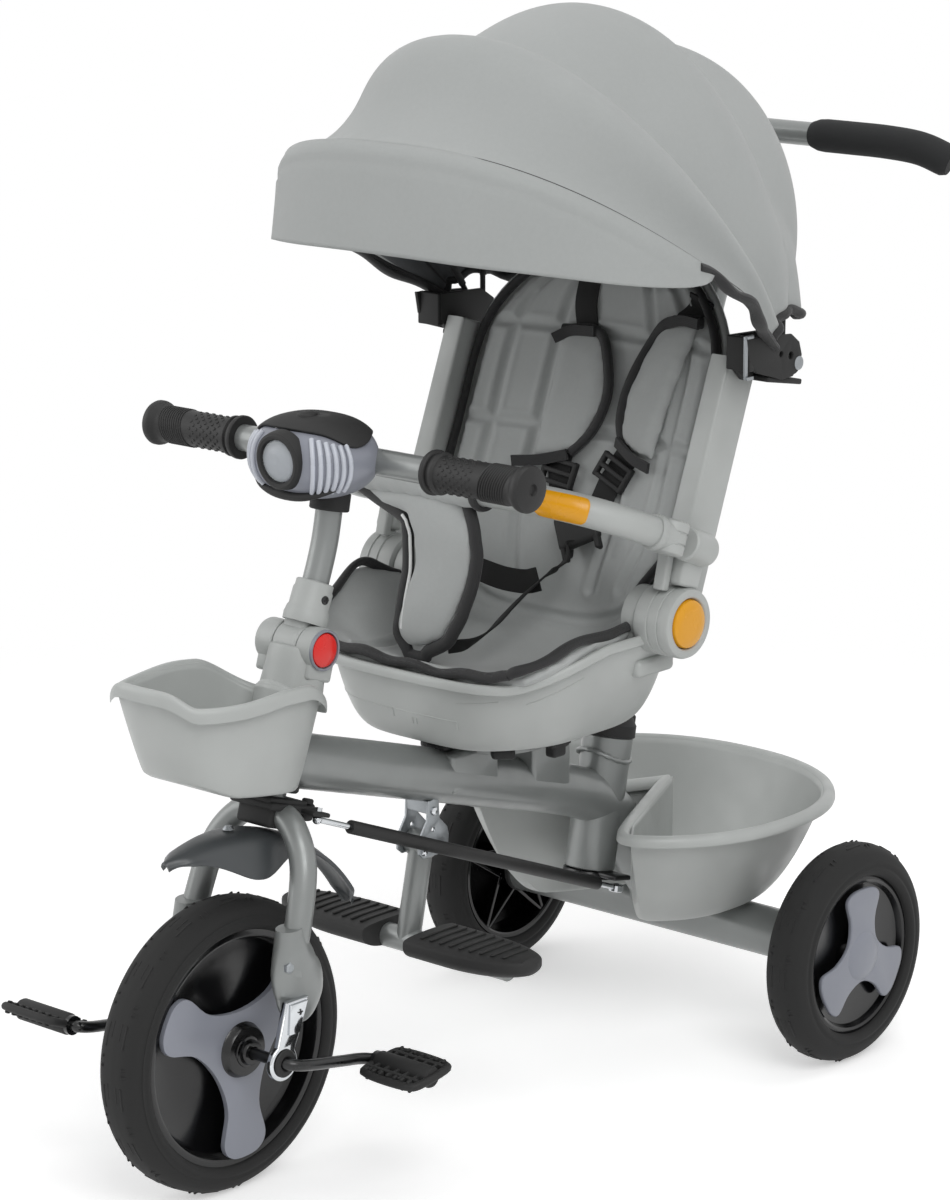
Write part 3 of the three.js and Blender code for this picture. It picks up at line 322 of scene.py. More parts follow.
# ---------- Shader graphs ----------
class Value:
    """A shader socket or a number whose arithmetic adds Math nodes."""

    def __init__(self, graph: "Graph", socket: bpy.types.NodeSocket | float) -> None:
        """Wraps a socket of the graph, or a plain number."""
        self.graph = graph
        self.socket = socket

    def _math(self, operation: str, *others: "Value | float", flip: bool = False) -> "Value":
        """Adds one Math node.

        Args:
            operation: the node's operation.
            others: what comes after this value.
            flip: whether this value comes last instead.

        Returns:
            The node's result.
        """
        values = [self, *others]
        if flip:
            values.reverse()
        made = self.graph.node("ShaderNodeMath", {"operation": operation}, dict(enumerate(values)))
        return Value(self.graph, made.outputs[0])

    def __add__(self, other: "Value | float") -> "Value":
        """The sum."""
        return self._math("ADD", other)

    def __radd__(self, other: float) -> "Value":
        """The sum, number first."""
        return self._math("ADD", other, flip=True)

    def __sub__(self, other: "Value | float") -> "Value":
        """The difference."""
        return self._math("SUBTRACT", other)

    def __rsub__(self, other: float) -> "Value":
        """The difference, number first."""
        return self._math("SUBTRACT", other, flip=True)

    def __mul__(self, other: "Value | float") -> "Value":
        """The product."""
        return self._math("MULTIPLY", other)

    def __rmul__(self, other: float) -> "Value":
        """The product, number first."""
        return self._math("MULTIPLY", other, flip=True)

    def __truediv__(self, other: "Value | float") -> "Value":
        """The quotient."""
        return self._math("DIVIDE", other)

    def __pow__(self, other: float) -> "Value":
        """The power."""
        return self._math("POWER", other)

    def sine(self) -> "Value":
        """The sine, for ribs and weaves."""
        return self._math("SINE")

    def size(self) -> "Value":
        """The value without its sign."""
        return self._math("ABSOLUTE")

    def above(self, limit: float) -> "Value":
        """1 where the value is over the limit, else 0."""
        return self._math("GREATER_THAN", limit)

    def ramp(self, low: float, high: float, bottom: float = 0.0, top: float = 1.0) -> "Value":
        """The value carried from one range to another by a smooth step.

        Args:
            low: the value that gives bottom.
            high: the value that gives top.
            bottom: the least result.
            top: the greatest result.

        Returns:
            The carried value, held at its ends.
        """
        made = self.graph.node("ShaderNodeMapRange", {"clamp": True, "interpolation_type": "SMOOTHSTEP"},
                               {"Value": self, "From Min": low, "From Max": high, "To Min": bottom,
                                "To Max": top})
        return Value(self.graph, made.outputs["Result"])


class Graph:
    """The node tree of a material or of the world, built by small calls."""

    def __init__(self, owner: bpy.types.Material | bpy.types.World) -> None:
        """Empties the owner's node tree."""
        self.owner = owner
        owner.use_nodes = True
        self.tree = owner.node_tree
        self.tree.nodes.clear()

    def node(self, kind: str, settings: dict | None = None, inputs: dict | None = None) -> bpy.types.Node:
        """Adds one node.

        Args:
            kind: the node's type.
            settings: its properties, set first.
            inputs: values or links of its sockets, by name or number.

        Returns:
            The node.
        """
        made = self.tree.nodes.new(kind)
        for key, value in (settings or {}).items():
            setattr(made, key, value)
        for key, value in (inputs or {}).items():
            socket = made.inputs[key]
            value = value.socket if isinstance(value, Value) else value
            if isinstance(value, bpy.types.NodeSocket):
                self.tree.links.new(value, socket)
            else:
                socket.default_value = value
        return made

    def place(self, scale: tuple[float, float, float] = (1, 1, 1), uv: bool = False) -> bpy.types.NodeSocket:
        """A position on the piece in metres, or on its cloth map, stretched by scale."""
        source = self.node("ShaderNodeTexCoord").outputs["UV" if uv else "Object"]
        return self.node("ShaderNodeMapping", {}, {"Vector": source, "Scale": scale}).outputs[0]

    def noise(self, scale: float, detail: float = 2.0, where: bpy.types.NodeSocket | None = None,
              roughness: float = 0.5) -> Value:
        """Soft random variation from 0 to 1, with scale in cells per metre."""
        made = self.node("ShaderNodeTexNoise", {"noise_dimensions": "3D"},
                         {"Vector": where or self.place(), "Scale": scale, "Detail": detail,
                          "Roughness": roughness})
        return Value(self, made.outputs["Fac"])

    def cells(self, scale: float, where: bpy.types.NodeSocket | None = None) -> Value:
        """The distance to the nearest of many scattered grains."""
        made = self.node("ShaderNodeTexVoronoi", {}, {"Vector": where or self.place(), "Scale": scale})
        return Value(self, made.outputs["Distance"])

    def parts(self, where: bpy.types.NodeSocket) -> list[Value]:
        """The three numbers of a vector."""
        made = self.node("ShaderNodeSeparateXYZ", {}, {0: where})
        return [Value(self, socket) for socket in made.outputs]

    def blend(self, share: Value, first: tuple, second: tuple) -> bpy.types.NodeSocket:
        """A colour between two, by a share from 0 to 1."""
        made = self.node("ShaderNodeMix", {"data_type": "RGBA"},
                         {"Factor": share, 6: (*first, 1), 7: (*second, 1)})
        return made.outputs[2]

    def bump(self, height: Value, strength: float, distance: float,
             under: bpy.types.NodeSocket | None = None) -> bpy.types.NodeSocket:
        """A normal roughened by a height."""
        inputs = {"Height": height, "Strength": strength, "Distance": distance}
        if under is not None:
            inputs["Normal"] = under
        return self.node("ShaderNodeBump", {}, inputs).outputs[0]

    def surface(self, **inputs: object) -> bpy.types.Material:
        """Closes the graph with a Principled surface, named by its sockets with _ for a space."""
        named = {key.replace("_", " "): value for key, value in inputs.items()}
        shader = self.node("ShaderNodeBsdfPrincipled", {}, named)
        self.node("ShaderNodeOutputMaterial", {}, {"Surface": shader.outputs[0]})
        return self.owner

    def seen(self) -> Value:
        """1 for light that goes to the camera straight, off a mirror or through glass, else 0."""
        path = self.node("ShaderNodeLightPath").outputs
        camera, glossy, glass = (Value(self, path[f"Is {kind} Ray"])
                                 for kind in ("Camera", "Glossy", "Transmission"))
        return (camera + glossy + glass).ramp(0.0, 1.0)


def linear(code: str) -> tuple[float, float, float]:
    """A colour written as six hex digits, as linear light."""
    parts = [int(code[i:i + 2], 16) / 255 for i in (0, 2, 4)]
    return tuple(p / 12.92 if p <= 0.04045 else ((p + 0.055) / 1.055) ** 2.4 for p in parts)


def shaded(colour: tuple[float, float, float], by: float) -> tuple[float, float, float]:
    """The colour made lighter or darker by a factor."""
    return tuple(min(1.0, part * by) for part in colour)


@dataclass(frozen=True)
class Finish:
    """A finish of the tricycle: its slot in the record, its colour and how it is made."""

    name: str
    slot: str
    colour: str
    roughness: float = 0.5

    def build(self) -> bpy.types.Material:
        """Makes the material, or hands back the one made before."""
        known = bpy.data.materials.get(self.name)
        return known or self.paint(Graph(bpy.data.materials.new(self.name)), linear(self.colour))

    def paint(self, graph: Graph, colour: tuple[float, float, float]) -> bpy.types.Material:
        """Lays the finish into an empty graph."""
        raise NotImplementedError


@dataclass(frozen=True)
class PowderCoat(Finish):
    """Baked metallic-grey powder paint: faint orange peel and fine sparkle."""

    metallic: float = 0.35

    def paint(self, graph: Graph, colour: tuple[float, float, float]) -> bpy.types.Material:
        """Lays the coat."""
        cloud = graph.noise(9, 3)
        sparkle = graph.noise(2600, 1)
        tone = graph.blend(cloud * 0.6 + sparkle * 0.4, shaded(colour, 0.9), shaded(colour, 1.08))
        peel = graph.bump(graph.noise(420, 2), 0.12, 0.0004)
        return graph.surface(Base_Color=tone, Metallic=self.metallic, Coat_Weight=0.25, Coat_Roughness=0.12,
                             Roughness=graph.noise(60, 3).ramp(0.3, 0.7, self.roughness - 0.05,
                                                               self.roughness + 0.07),
                             Normal=peel)


@dataclass(frozen=True)
class Moulded(Finish):
    """Injection-moulded plastic with a fine spark-eroded grain."""

    grain: float = 1500.0
    depth: float = 0.12
    scuff: float = 0.05

    def paint(self, graph: Graph, colour: tuple[float, float, float]) -> bpy.types.Material:
        """Lays the plastic."""
        grain = graph.noise(self.grain, 2)
        cloud = graph.noise(12, 3)
        tone = graph.blend(cloud.ramp(0.3, 0.7), shaded(colour, 1 - self.scuff), shaded(colour, 1 + self.scuff))
        rough = graph.noise(35, 4).ramp(0.35, 0.7, self.roughness - 0.06, self.roughness + 0.06)
        return graph.surface(Base_Color=tone, Roughness=rough, Normal=graph.bump(grain, self.depth, 0.0003))


@dataclass(frozen=True)
class Rubber(Finish):
    """Dull rubber or foam with fine pores and a trace of dust."""

    pores: float = 900.0
    depth: float = 0.25

    def paint(self, graph: Graph, colour: tuple[float, float, float]) -> bpy.types.Material:
        """Lays the rubber."""
        pores = graph.cells(self.pores).ramp(0.05, 0.45)
        dust = graph.noise(22, 4).ramp(0.45, 0.75)
        tone = graph.blend(dust, colour, shaded(colour, 1.35))
        return graph.surface(Base_Color=tone, Roughness=dust * 0.1 + self.roughness,
                             Normal=graph.bump(pores, self.depth, 0.0003))


@dataclass(frozen=True)
class Plated(Finish):
    """Bright plated or bare steel with faint brushing."""

    brushing: float = 0.08

    def paint(self, graph: Graph, colour: tuple[float, float, float]) -> bpy.types.Material:
        """Lays the plating."""
        streaks = graph.noise(300, 3, graph.place((1, 1, 9)))
        tone = graph.blend(graph.noise(40, 3), shaded(colour, 0.9), shaded(colour, 1.05))
        rough = streaks.ramp(0.3, 0.75, self.roughness, self.roughness + self.brushing)
        return graph.surface(Base_Color=tone, Metallic=1.0, Roughness=rough,
                             Normal=graph.bump(streaks, self.brushing, 0.0002))


@dataclass(frozen=True)
class Cloth(Finish):
    """Woven cloth whose threads follow the piece's own map, laid out in metres."""

    thread: float = 0.00055
    relief: float = 0.35
    sheen: float = 0.25

    def paint(self, graph: Graph, colour: tuple[float, float, float]) -> bpy.types.Material:
        """Lays the weave: warp and weft pass over each other thread by thread."""
        across, along, _ = graph.parts(graph.place(uv=True))
        warp = (across * (pi / self.thread)).sine()
        weft = (along * (pi / self.thread)).sine()
        weave = (warp * weft) * 0.5 + 0.5
        folds_and_shade = graph.noise(14, 4)
        slub = graph.noise(260, 2)
        # The weave and the folds that raise the bump also lighten the colour on their crests and darken it in their
        # hollows: painted shade and highlight; the slub is the yarn's own tone.
        tone = graph.blend(weave * 0.35 + slub * 0.35 + folds_and_shade * 0.3, shaded(colour, 0.88), shaded(colour, 1.1))
        coarse = graph.bump(folds_and_shade, 0.18, 0.004)
        fine = graph.bump(weave + slub * 0.5, self.relief, 0.0003, coarse)
        return graph.surface(Base_Color=tone, Roughness=slub * 0.1 + self.roughness, Normal=fine,
                             Sheen_Weight=self.sheen, Sheen_Roughness=0.5)


@dataclass(frozen=True)
class Webbing(Finish):
    """Ribbed strap or binding tape: ribs run across the piece's map."""

    rib: float = 0.0011

    def paint(self, graph: Graph, colour: tuple[float, float, float]) -> bpy.types.Material:
        """Lays the ribs and the shade between them."""
        across, along, _ = graph.parts(graph.place(uv=True))
        ribs = (along * (TAU / self.rib)).sine()
        threads = (across * (TAU / (self.rib * 2))).sine()
        weave = ribs * 0.35 + threads * 0.15 + 0.5
        # The ribs' colour follows their bump: painted shade between them and a painted highlight on their tops.
        tone = graph.blend(weave * 0.7 + graph.noise(300, 2) * 0.3, shaded(colour, 0.75), shaded(colour, 2.0))
        return graph.surface(Base_Color=tone, Roughness=self.roughness, Normal=graph.bump(weave, 0.5, 0.0004),
                             Sheen_Weight=0.15)


@dataclass(frozen=True)
class Netting(Finish):
    """Knitted mesh whose holes are open."""

    pitch: float = 0.0042

    def paint(self, graph: Graph, colour: tuple[float, float, float]) -> bpy.types.Material:
        """Lays diamond holes between threads."""
        across, along, _ = graph.parts(graph.place(uv=True))
        one = ((across + along) * (pi / self.pitch)).sine().size()
        two = ((across - along) * (pi / self.pitch)).sine().size()
        thread = 1 - (one.above(0.42) * two.above(0.42))
        tone = graph.blend(one * two, shaded(colour, 0.8), colour)
        return graph.surface(Base_Color=tone, Roughness=self.roughness, Alpha=thread)


@dataclass(frozen=True)
class ClearPlastic(Finish):
    """Clear moulded lens with a fine pebbled face and a faint painted glow that brightens it."""

    def paint(self, graph: Graph, colour: tuple[float, float, float]) -> bpy.types.Material:
        """Lays the lens."""
        pebbles = graph.cells(260)
        rough = graph.noise(80, 2).ramp(0.3, 0.7, self.roughness, self.roughness + 0.04)
        # The faint white emission is a painted glow that brightens the lens.
        return graph.surface(Base_Color=(*colour, 1), Roughness=rough, IOR=1.46, Coat_Weight=0.6,
                             Transmission_Weight=0.3, Emission_Color=(0.95, 0.98, 1.0, 1),
                             Emission_Strength=0.14, Normal=graph.bump(pebbles, 0.06, 0.0006))


LAMP_SILVER = Moulded("silver_lamp_plastic", "cover_plastic", "c3c7d0", 0.3, depth=0.04)
FRAME_PAINT = PowderCoat("frame_powder_coat", "frame_paint", "8a8d8c", 0.36)
GREY_PLASTIC = Moulded("light_grey_plastic", "grey_plastic", "b3b6b4", 0.42)
GUARD_PLASTIC = Moulded("dark_grey_plastic", "dark_plastic", "45484a", 0.4)
BLACK_PLASTIC = Moulded("black_plastic", "black_plastic", "111112", 0.42, scuff=0.2)
GLOSS_BLACK = Moulded("gloss_black_plastic", "black_plastic", "0b0b0c", 0.2, depth=0.04, scuff=0.2)
COVER_PLASTIC = Moulded("blue_grey_plastic", "cover_plastic", "8b8e98", 0.36, depth=0.05)
TYRE_RUBBER = Rubber("tyre_rubber", "tyre_rubber", "0f0f10", 0.45, depth=0.08)
GRIP_RUBBER = Rubber("grip_rubber", "black_rubber", "121212", 0.55)
FOAM = Rubber("handle_foam", "black_rubber", "1a1b1c", 0.85, 1500, 0.5)
CHROME = Plated("chrome", "chrome", "d4d6d8", 0.1)
ZINC = Plated("zinc_plate", "zinc", "9b9fa2", 0.34, 0.2)
BLACK_PAINT = PowderCoat("black_paint", "black_steel", "0f1011", 0.3, 0.2)
RED_PLASTIC = Moulded("red_button_plastic", "red_plastic", "e8251f", 0.26, depth=0.03)
AMBER_PLASTIC = Moulded("amber_button_plastic", "amber_plastic", "e39f12", 0.28, depth=0.03)
GREY_CLOTH = Cloth("grey_liner_cloth", "grey_fabric", "b2b5b4", 0.82)
CANOPY_CLOTH = Cloth("grey_canopy_cloth", "grey_fabric", "a9acab", 0.8, 0.0005, 0.25)
LINING = Cloth("dark_canopy_lining", "grey_fabric", "4c4e50", 0.85)
WEBBING = Webbing("black_webbing", "black_webbing", "151516", 0.75)
BINDING = Webbing("black_binding_tape", "black_webbing", "131314", 0.7, 0.0008)
NETTING = Netting("white_netting", "grey_fabric", "dfe1e1", 0.7)
LENS = ClearPlastic("clear_lens", "clear_lens", "eef3f4", 0.05)


# ---------- Mesh forms ----------
class Form:
    """A mesh under construction, in metres, shaped with bmesh operators."""

    def __init__(self) -> None:
        """Starts an empty form with a cloth map."""
        self.bm = bmesh.new()
        self.map = self.bm.loops.layers.uv.new("cloth")

    def tube(self, line: Sequence[Vector], radius: float | Sequence[float], sides: int = 28,
             squash: Sequence[float] | None = None, spin: Vector | None = None, caps: bool = True) -> "Form":
        """Sweeps a circle along a line by extruding it from station to station.

        Args:
            line: the centre line.
            radius: one radius, or one for each point of the line.
            sides: the number of sides.
            squash: how much thinner the section is across spin, one for each point.
            spin: the direction that the section's width keeps to.
            caps: whether the ends are closed.

        Returns:
            The form.
        """
        radii = [radius] * len(line) if isinstance(radius, (int, float)) else list(radius)
        thin = list(squash) if squash else [1.0] * len(line)
        sideways = spin
        last = None
        ring: list[bmesh.types.BMVert] = []
        travelled = 0.0
        for i, point in enumerate(line):
            before, after = line[max(0, i - 1)], line[min(len(line) - 1, i + 1)]
            along = (after - before).normalized()
            if sideways is None:
                sideways = ACROSS if abs(along.x) < 0.8 else UP
            elif spin is None:
                sideways = sideways - along * sideways.dot(along)
            size = Matrix.Diagonal((radii[i], radii[i] * thin[i], radii[i], 1))
            place = facing(point, along, sideways) @ size
            if last is None:
                ring = bmesh.ops.create_circle(self.bm, cap_ends=False, segments=sides, radius=1.0,
                                               matrix=place)["verts"]
                first = list(ring)
            else:
                edges = [e for e in unique(e for v in ring for e in v.link_edges)
                         if all(v in ring for v in e.verts)]
                made = bmesh.ops.extrude_edge_only(self.bm, edges=edges)["geom"]
                new = [g for g in made if isinstance(g, bmesh.types.BMVert)]
                bmesh.ops.transform(self.bm, matrix=place @ last.inverted(), verts=new)
                step = (point - line[i - 1]).length
                self._map_ring([g for g in made if isinstance(g, bmesh.types.BMFace)], place, travelled, step,
                               radii[i])
                travelled += step
                ring = new
            last = place
            if spin is None:
                sideways = place.to_3x3().col[0].normalized()
        if caps:
            for end in (first, ring):
                bmesh.ops.contextual_create(self.bm, geom=end)
        return self

    def _map_ring(self, faces: list, place: Matrix, start: float, step: float, radius: float) -> None:
        """Maps one stretch of a tube: round it in metres, and along it in metres."""
        inverse = place.inverted()
        for face in faces:
            angles = []
            for loop in face.loops:
                local = inverse @ loop.vert.co
                angles.append((atan2(local.y, local.x), local.z))
            base = angles[0][0]
            for loop, (angle, depth) in zip(face.loops, angles):
                while angle - base > pi:
                    angle -= TAU
                while angle - base < -pi:
                    angle += TAU
                loop[self.map].uv = (angle * radius, start + (step if depth > -1e-4 else 0.0))

    def lathe(self, profile: Profile, origin: Vector, along: Vector, steps: int = 72) -> "Form":
        """Spins a profile about an axis.

        Args:
            profile: its (radius, distance along the axis) pairs in millimetres.
            origin: where the axis starts.
            along: the axis's direction.
            steps: the turn's steps.

        Returns:
            The form.
        """
        place = facing(origin, along)
        verts = [self.bm.verts.new(place @ Vector((r * 0.001, 0, d * 0.001))) for r, d in profile]
        edges = [self.bm.edges.new(pair) for pair in zip(verts, verts[1:])]
        bmesh.ops.spin(self.bm, geom=verts + edges, cent=origin, axis=along.normalized(), dvec=(0, 0, 0),
                       angle=TAU, steps=steps, use_merge=True)
        return self

    def box(self, size: tuple[float, float, float], place: Matrix, edge: float = 1.0,
            segments: int = 3) -> "Form":
        """Adds a block with rounded edges.

        Args:
            size: its size in millimetres.
            place: the placement of its middle.
            edge: how far its edges are rounded, in millimetres.
            segments: the rounding's segments.

        Returns:
            The form.
        """
        made = bmesh.ops.create_cube(self.bm, size=1.0,
                                     matrix=place @ Matrix.Diagonal((*(s * 0.001 for s in size), 1)))["verts"]
        if edge:
            edges = unique(e for v in made for e in v.link_edges)
            bmesh.ops.bevel(self.bm, geom=edges, offset=edge * 0.001, segments=segments, profile=0.5,
                            affect="EDGES", material=-1, clamp_overlap=True)
        return self

    def plate(self, outline: Profile, thick: float, place: Matrix, edge: float = 0.6,
              holes: Sequence[tuple[float, float, float]] = (), segments: int = 2) -> "Form":
        """Adds a flat plate.

        Args:
            outline: its corners in millimetres, in the placement's X and Y.
            thick: its thickness in millimetres, centred on the placement.
            place: the placement.
            edge: how far its rims are rounded, in millimetres.
            holes: round holes as (x, y, radius) in millimetres.
            segments: the rounding's segments.

        Returns:
            The form.
        """
        low = place @ Matrix.Translation((0, 0, -thick * 0.0005))
        verts = [self.bm.verts.new(low @ Vector((x * 0.001, y * 0.001, 0))) for x, y in outline]
        edges = [self.bm.edges.new((a, b)) for a, b in zip(verts, verts[1:] + verts[:1])]
        for x, y, radius in holes:
            spot = low @ Matrix.Translation((x * 0.001, y * 0.001, 0))
            ring = bmesh.ops.create_circle(self.bm, segments=24, radius=radius * 0.001, matrix=spot)["verts"]
            edges += unique(e for v in ring for e in v.link_edges)
        made = bmesh.ops.triangle_fill(self.bm, edges=edges, use_beauty=True)["geom"]
        faces = [g for g in made if isinstance(g, bmesh.types.BMFace)]
        if not holes:
            verts = unique(v for f in faces for v in f.verts)
            # Last to first: the face that is left then fills a bent plate without a gap.
            edges = unique(e for f in faces for e in f.edges)[::-1]
            made = bmesh.ops.dissolve_limit(self.bm, angle_limit=0.01, verts=verts, edges=edges)["region"]
            faces = [g for g in made if isinstance(g, bmesh.types.BMFace)]
        lift = place.to_3x3() @ Vector((0, 0, thick * 0.001))
        made = bmesh.ops.extrude_face_region(self.bm, geom=faces, use_keep_orig=True)["geom"]
        bmesh.ops.translate(self.bm, vec=lift, verts=[g for g in made if isinstance(g, bmesh.types.BMVert)])
        top = [g for g in made if isinstance(g, bmesh.types.BMFace)]
        if edge:
            rims = [e for cap in (faces, top) for e in unique(e for f in cap for e in f.edges)
                    if sum(face in cap for face in e.link_faces) == 1]
            bmesh.ops.bevel(self.bm, geom=rims, offset=edge * 0.001, segments=segments, profile=0.5,
                            affect="EDGES", material=-1, clamp_overlap=True)
        return self

    def skin(self, columns: int, rows: int, surface: Surface, wrap: bool = False,
             cloth: tuple[float, float] | None = None) -> "Form":
        """Lays a grid over a surface.

        Args:
            columns: cells along u.
            rows: cells along v.
            surface: gives a point for u and v, each from 0 to 1.
            wrap: whether u runs round and meets itself.
            cloth: the sheet's width and length in metres, for its map.

        Returns:
            The form.
        """
        made = bmesh.ops.create_grid(self.bm, x_segments=columns, y_segments=rows, size=0.5)["verts"]
        spots = {v: (v.co.x + 0.5, v.co.y + 0.5) for v in made}
        width, length = cloth or (1.0, 1.0)
        for face in {f for v in made for f in v.link_faces}:
            for loop in face.loops:
                u, v = spots[loop.vert]
                loop[self.map].uv = (u * width, v * length)
        for vert, (u, v) in spots.items():
            vert.co = surface(u, v)
        if wrap:
            bmesh.ops.remove_doubles(self.bm, verts=made, dist=1e-6)
        return self

    def ball(self, radius: float, place: Matrix, u: int = 32, v: int = 20) -> "Form":
        """Adds a ball of that radius in millimetres."""
        bmesh.ops.create_uvsphere(self.bm, u_segments=u, v_segments=v, radius=radius * 0.001, matrix=place)
        return self

    def thicken(self, thick: float) -> "Form":
        """Gives every open face a wall of that thickness in millimetres, behind its front."""
        bmesh.ops.recalc_face_normals(self.bm, faces=self.bm.faces)
        bmesh.ops.solidify(self.bm, geom=self.bm.faces[:], thickness=thick * 0.001)
        return self

    def reshape(self, move: Callable[[Vector], Vector]) -> "Form":
        """Moves every point."""
        for vert in self.bm.verts:
            vert.co = move(vert.co)
        return self

    def soften(self, times: int, factor: float = 0.5) -> "Form":
        """Relaxes the shape."""
        for _ in range(times):
            bmesh.ops.smooth_vert(self.bm, verts=self.bm.verts, factor=factor, use_axis_x=True, use_axis_y=True,
                                  use_axis_z=True)
        return self

    def piece(self, name: str, finish: Finish, crease: float = 32.0, outward: bool = True) -> Piece:
        """Closes the form as a finished object at the origin.

        Args:
            name: the piece's name.
            finish: its finish.
            crease: edges sharper than this, in degrees, stay sharp.
            outward: whether its faces are turned to point out.

        Returns:
            The object.
        """
        if outward:
            bmesh.ops.recalc_face_normals(self.bm, faces=self.bm.faces)
        mesh = bpy.data.meshes.new(name)
        self.bm.to_mesh(mesh)
        self.bm.free()
        mesh.polygons.foreach_set("use_smooth", [True] * len(mesh.polygons))
        mesh.set_sharp_from_angle(angle=radians(crease))
        mesh.materials.append(finish.build())
        made = bpy.data.objects.new(name, mesh)
        bpy.context.scene.collection.objects.link(made)
        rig.slot(made, finish.slot)
        return made


def modify(piece: Piece, kind: str, **settings: object) -> Piece:
    """Adds one modifier with those settings."""
    made = piece.modifiers.new(kind.lower(), kind)
    for key, value in settings.items():
        setattr(made, key, value)
    return piece


def rounded(piece: Piece, width: float, segments: int = 3, angle: float = 40.0) -> Piece:
    """Rounds a piece's sharp edges by a width in millimetres."""
    return modify(piece, "BEVEL", width=width * 0.001, segments=segments, limit_method="ANGLE",
                  angle_limit=radians(angle), harden_normals=False)


def walled(piece: Piece, thick: float, offset: float = -1.0) -> Piece:
    """Gives a sheet its thickness in millimetres."""
    return modify(piece, "SOLIDIFY", thickness=thick * 0.001, offset=offset, use_even_offset=True)


def subdivided(piece: Piece, levels: int = 1) -> Piece:
    """Smooths a piece with a subdivision surface."""
    return modify(piece, "SUBSURF", levels=levels, render_levels=levels)


@dataclass
class Assembly:
    """A group of pieces that are built together, most of them on one body."""

    body: str = "frame"

    def keep(self, piece: Piece, *nodes: str, body: str | None = None) -> Piece:
        """Lets a piece ride on a body.

        Args:
            piece: the piece.
            nodes: the CAD nodes whose place it takes.
            body: the body, where it isn't the assembly's own.

        Returns:
            The piece.
        """
        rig.ride(piece, body or self.body)
        if nodes:
            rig.replaces(piece, *nodes)
        LOG.info("%s: %s", type(self).__name__, piece.name)
        return piece

    def screw(self, name: str, head: Vector, along: Vector, radius: float, finish: Finish,
              height: float = 2.2) -> None:
        """Adds a domed screw head with a black cross on its top, painted shade for the cross cut in it.

        Args:
            name: the head's name.
            head: the middle of its underside.
            along: the way that its top faces.
            radius: its radius in millimetres.
            finish: its finish.
            height: its height in millimetres.
        """
        dome = [(0, height), (radius * 0.45, height * 0.96), (radius * 0.85, height * 0.6), (radius, 0), (0, 0)]
        made = Form().lathe(dome, head, along, 28).piece(name, finish)
        place = facing(head + along.normalized() * height * 0.001, along)
        # The cross cut is drawn as black boxes standing on the dome: painted shade in the recess.
        cut = Form().box((radius * 1.1, radius * 0.26, 1.2), place, 0.1, 1)
        cut.box((radius * 0.26, radius * 1.1, 1.2), place, 0.1, 1)
        self.keep(cut.piece(name + "_slot", GLOSS_BLACK))
        self.keep(made)

    def build(self) -> None:
        """Builds every piece of the assembly."""
        raise NotImplementedError


# ---------- Frame ----------
RAKE = tan(radians(16.95))
STEERING_AXIS = Vector((0, RAKE, 1)).normalized()
POLE_AXIS = Vector((0, 26, 122)).normalized()


def steering_point(z: float) -> Vector:
    """The point of the steering axis at a height in millimetres."""
    return at(0, RAKE * (z - 127), z)


def pole_point(z: float) -> Vector:
    """The point of the lower push pole's axis at a height in millimetres."""
    return at(0, 481 + (z - 167) * 26 / 122, z)


MAIN_TUBE_LINE = [at(0, y, z) for y, z in ((78, 358), (200, 322.3), (330, 284), (440, 251.5), (490, 230),
                                            (530, 192), (568, 142), (597, 103))]


REAR_TUBE = (598.0, 102.0)
FOOT_PIVOT = (250.0, 244.0)
SWIVEL_Y = 347.0


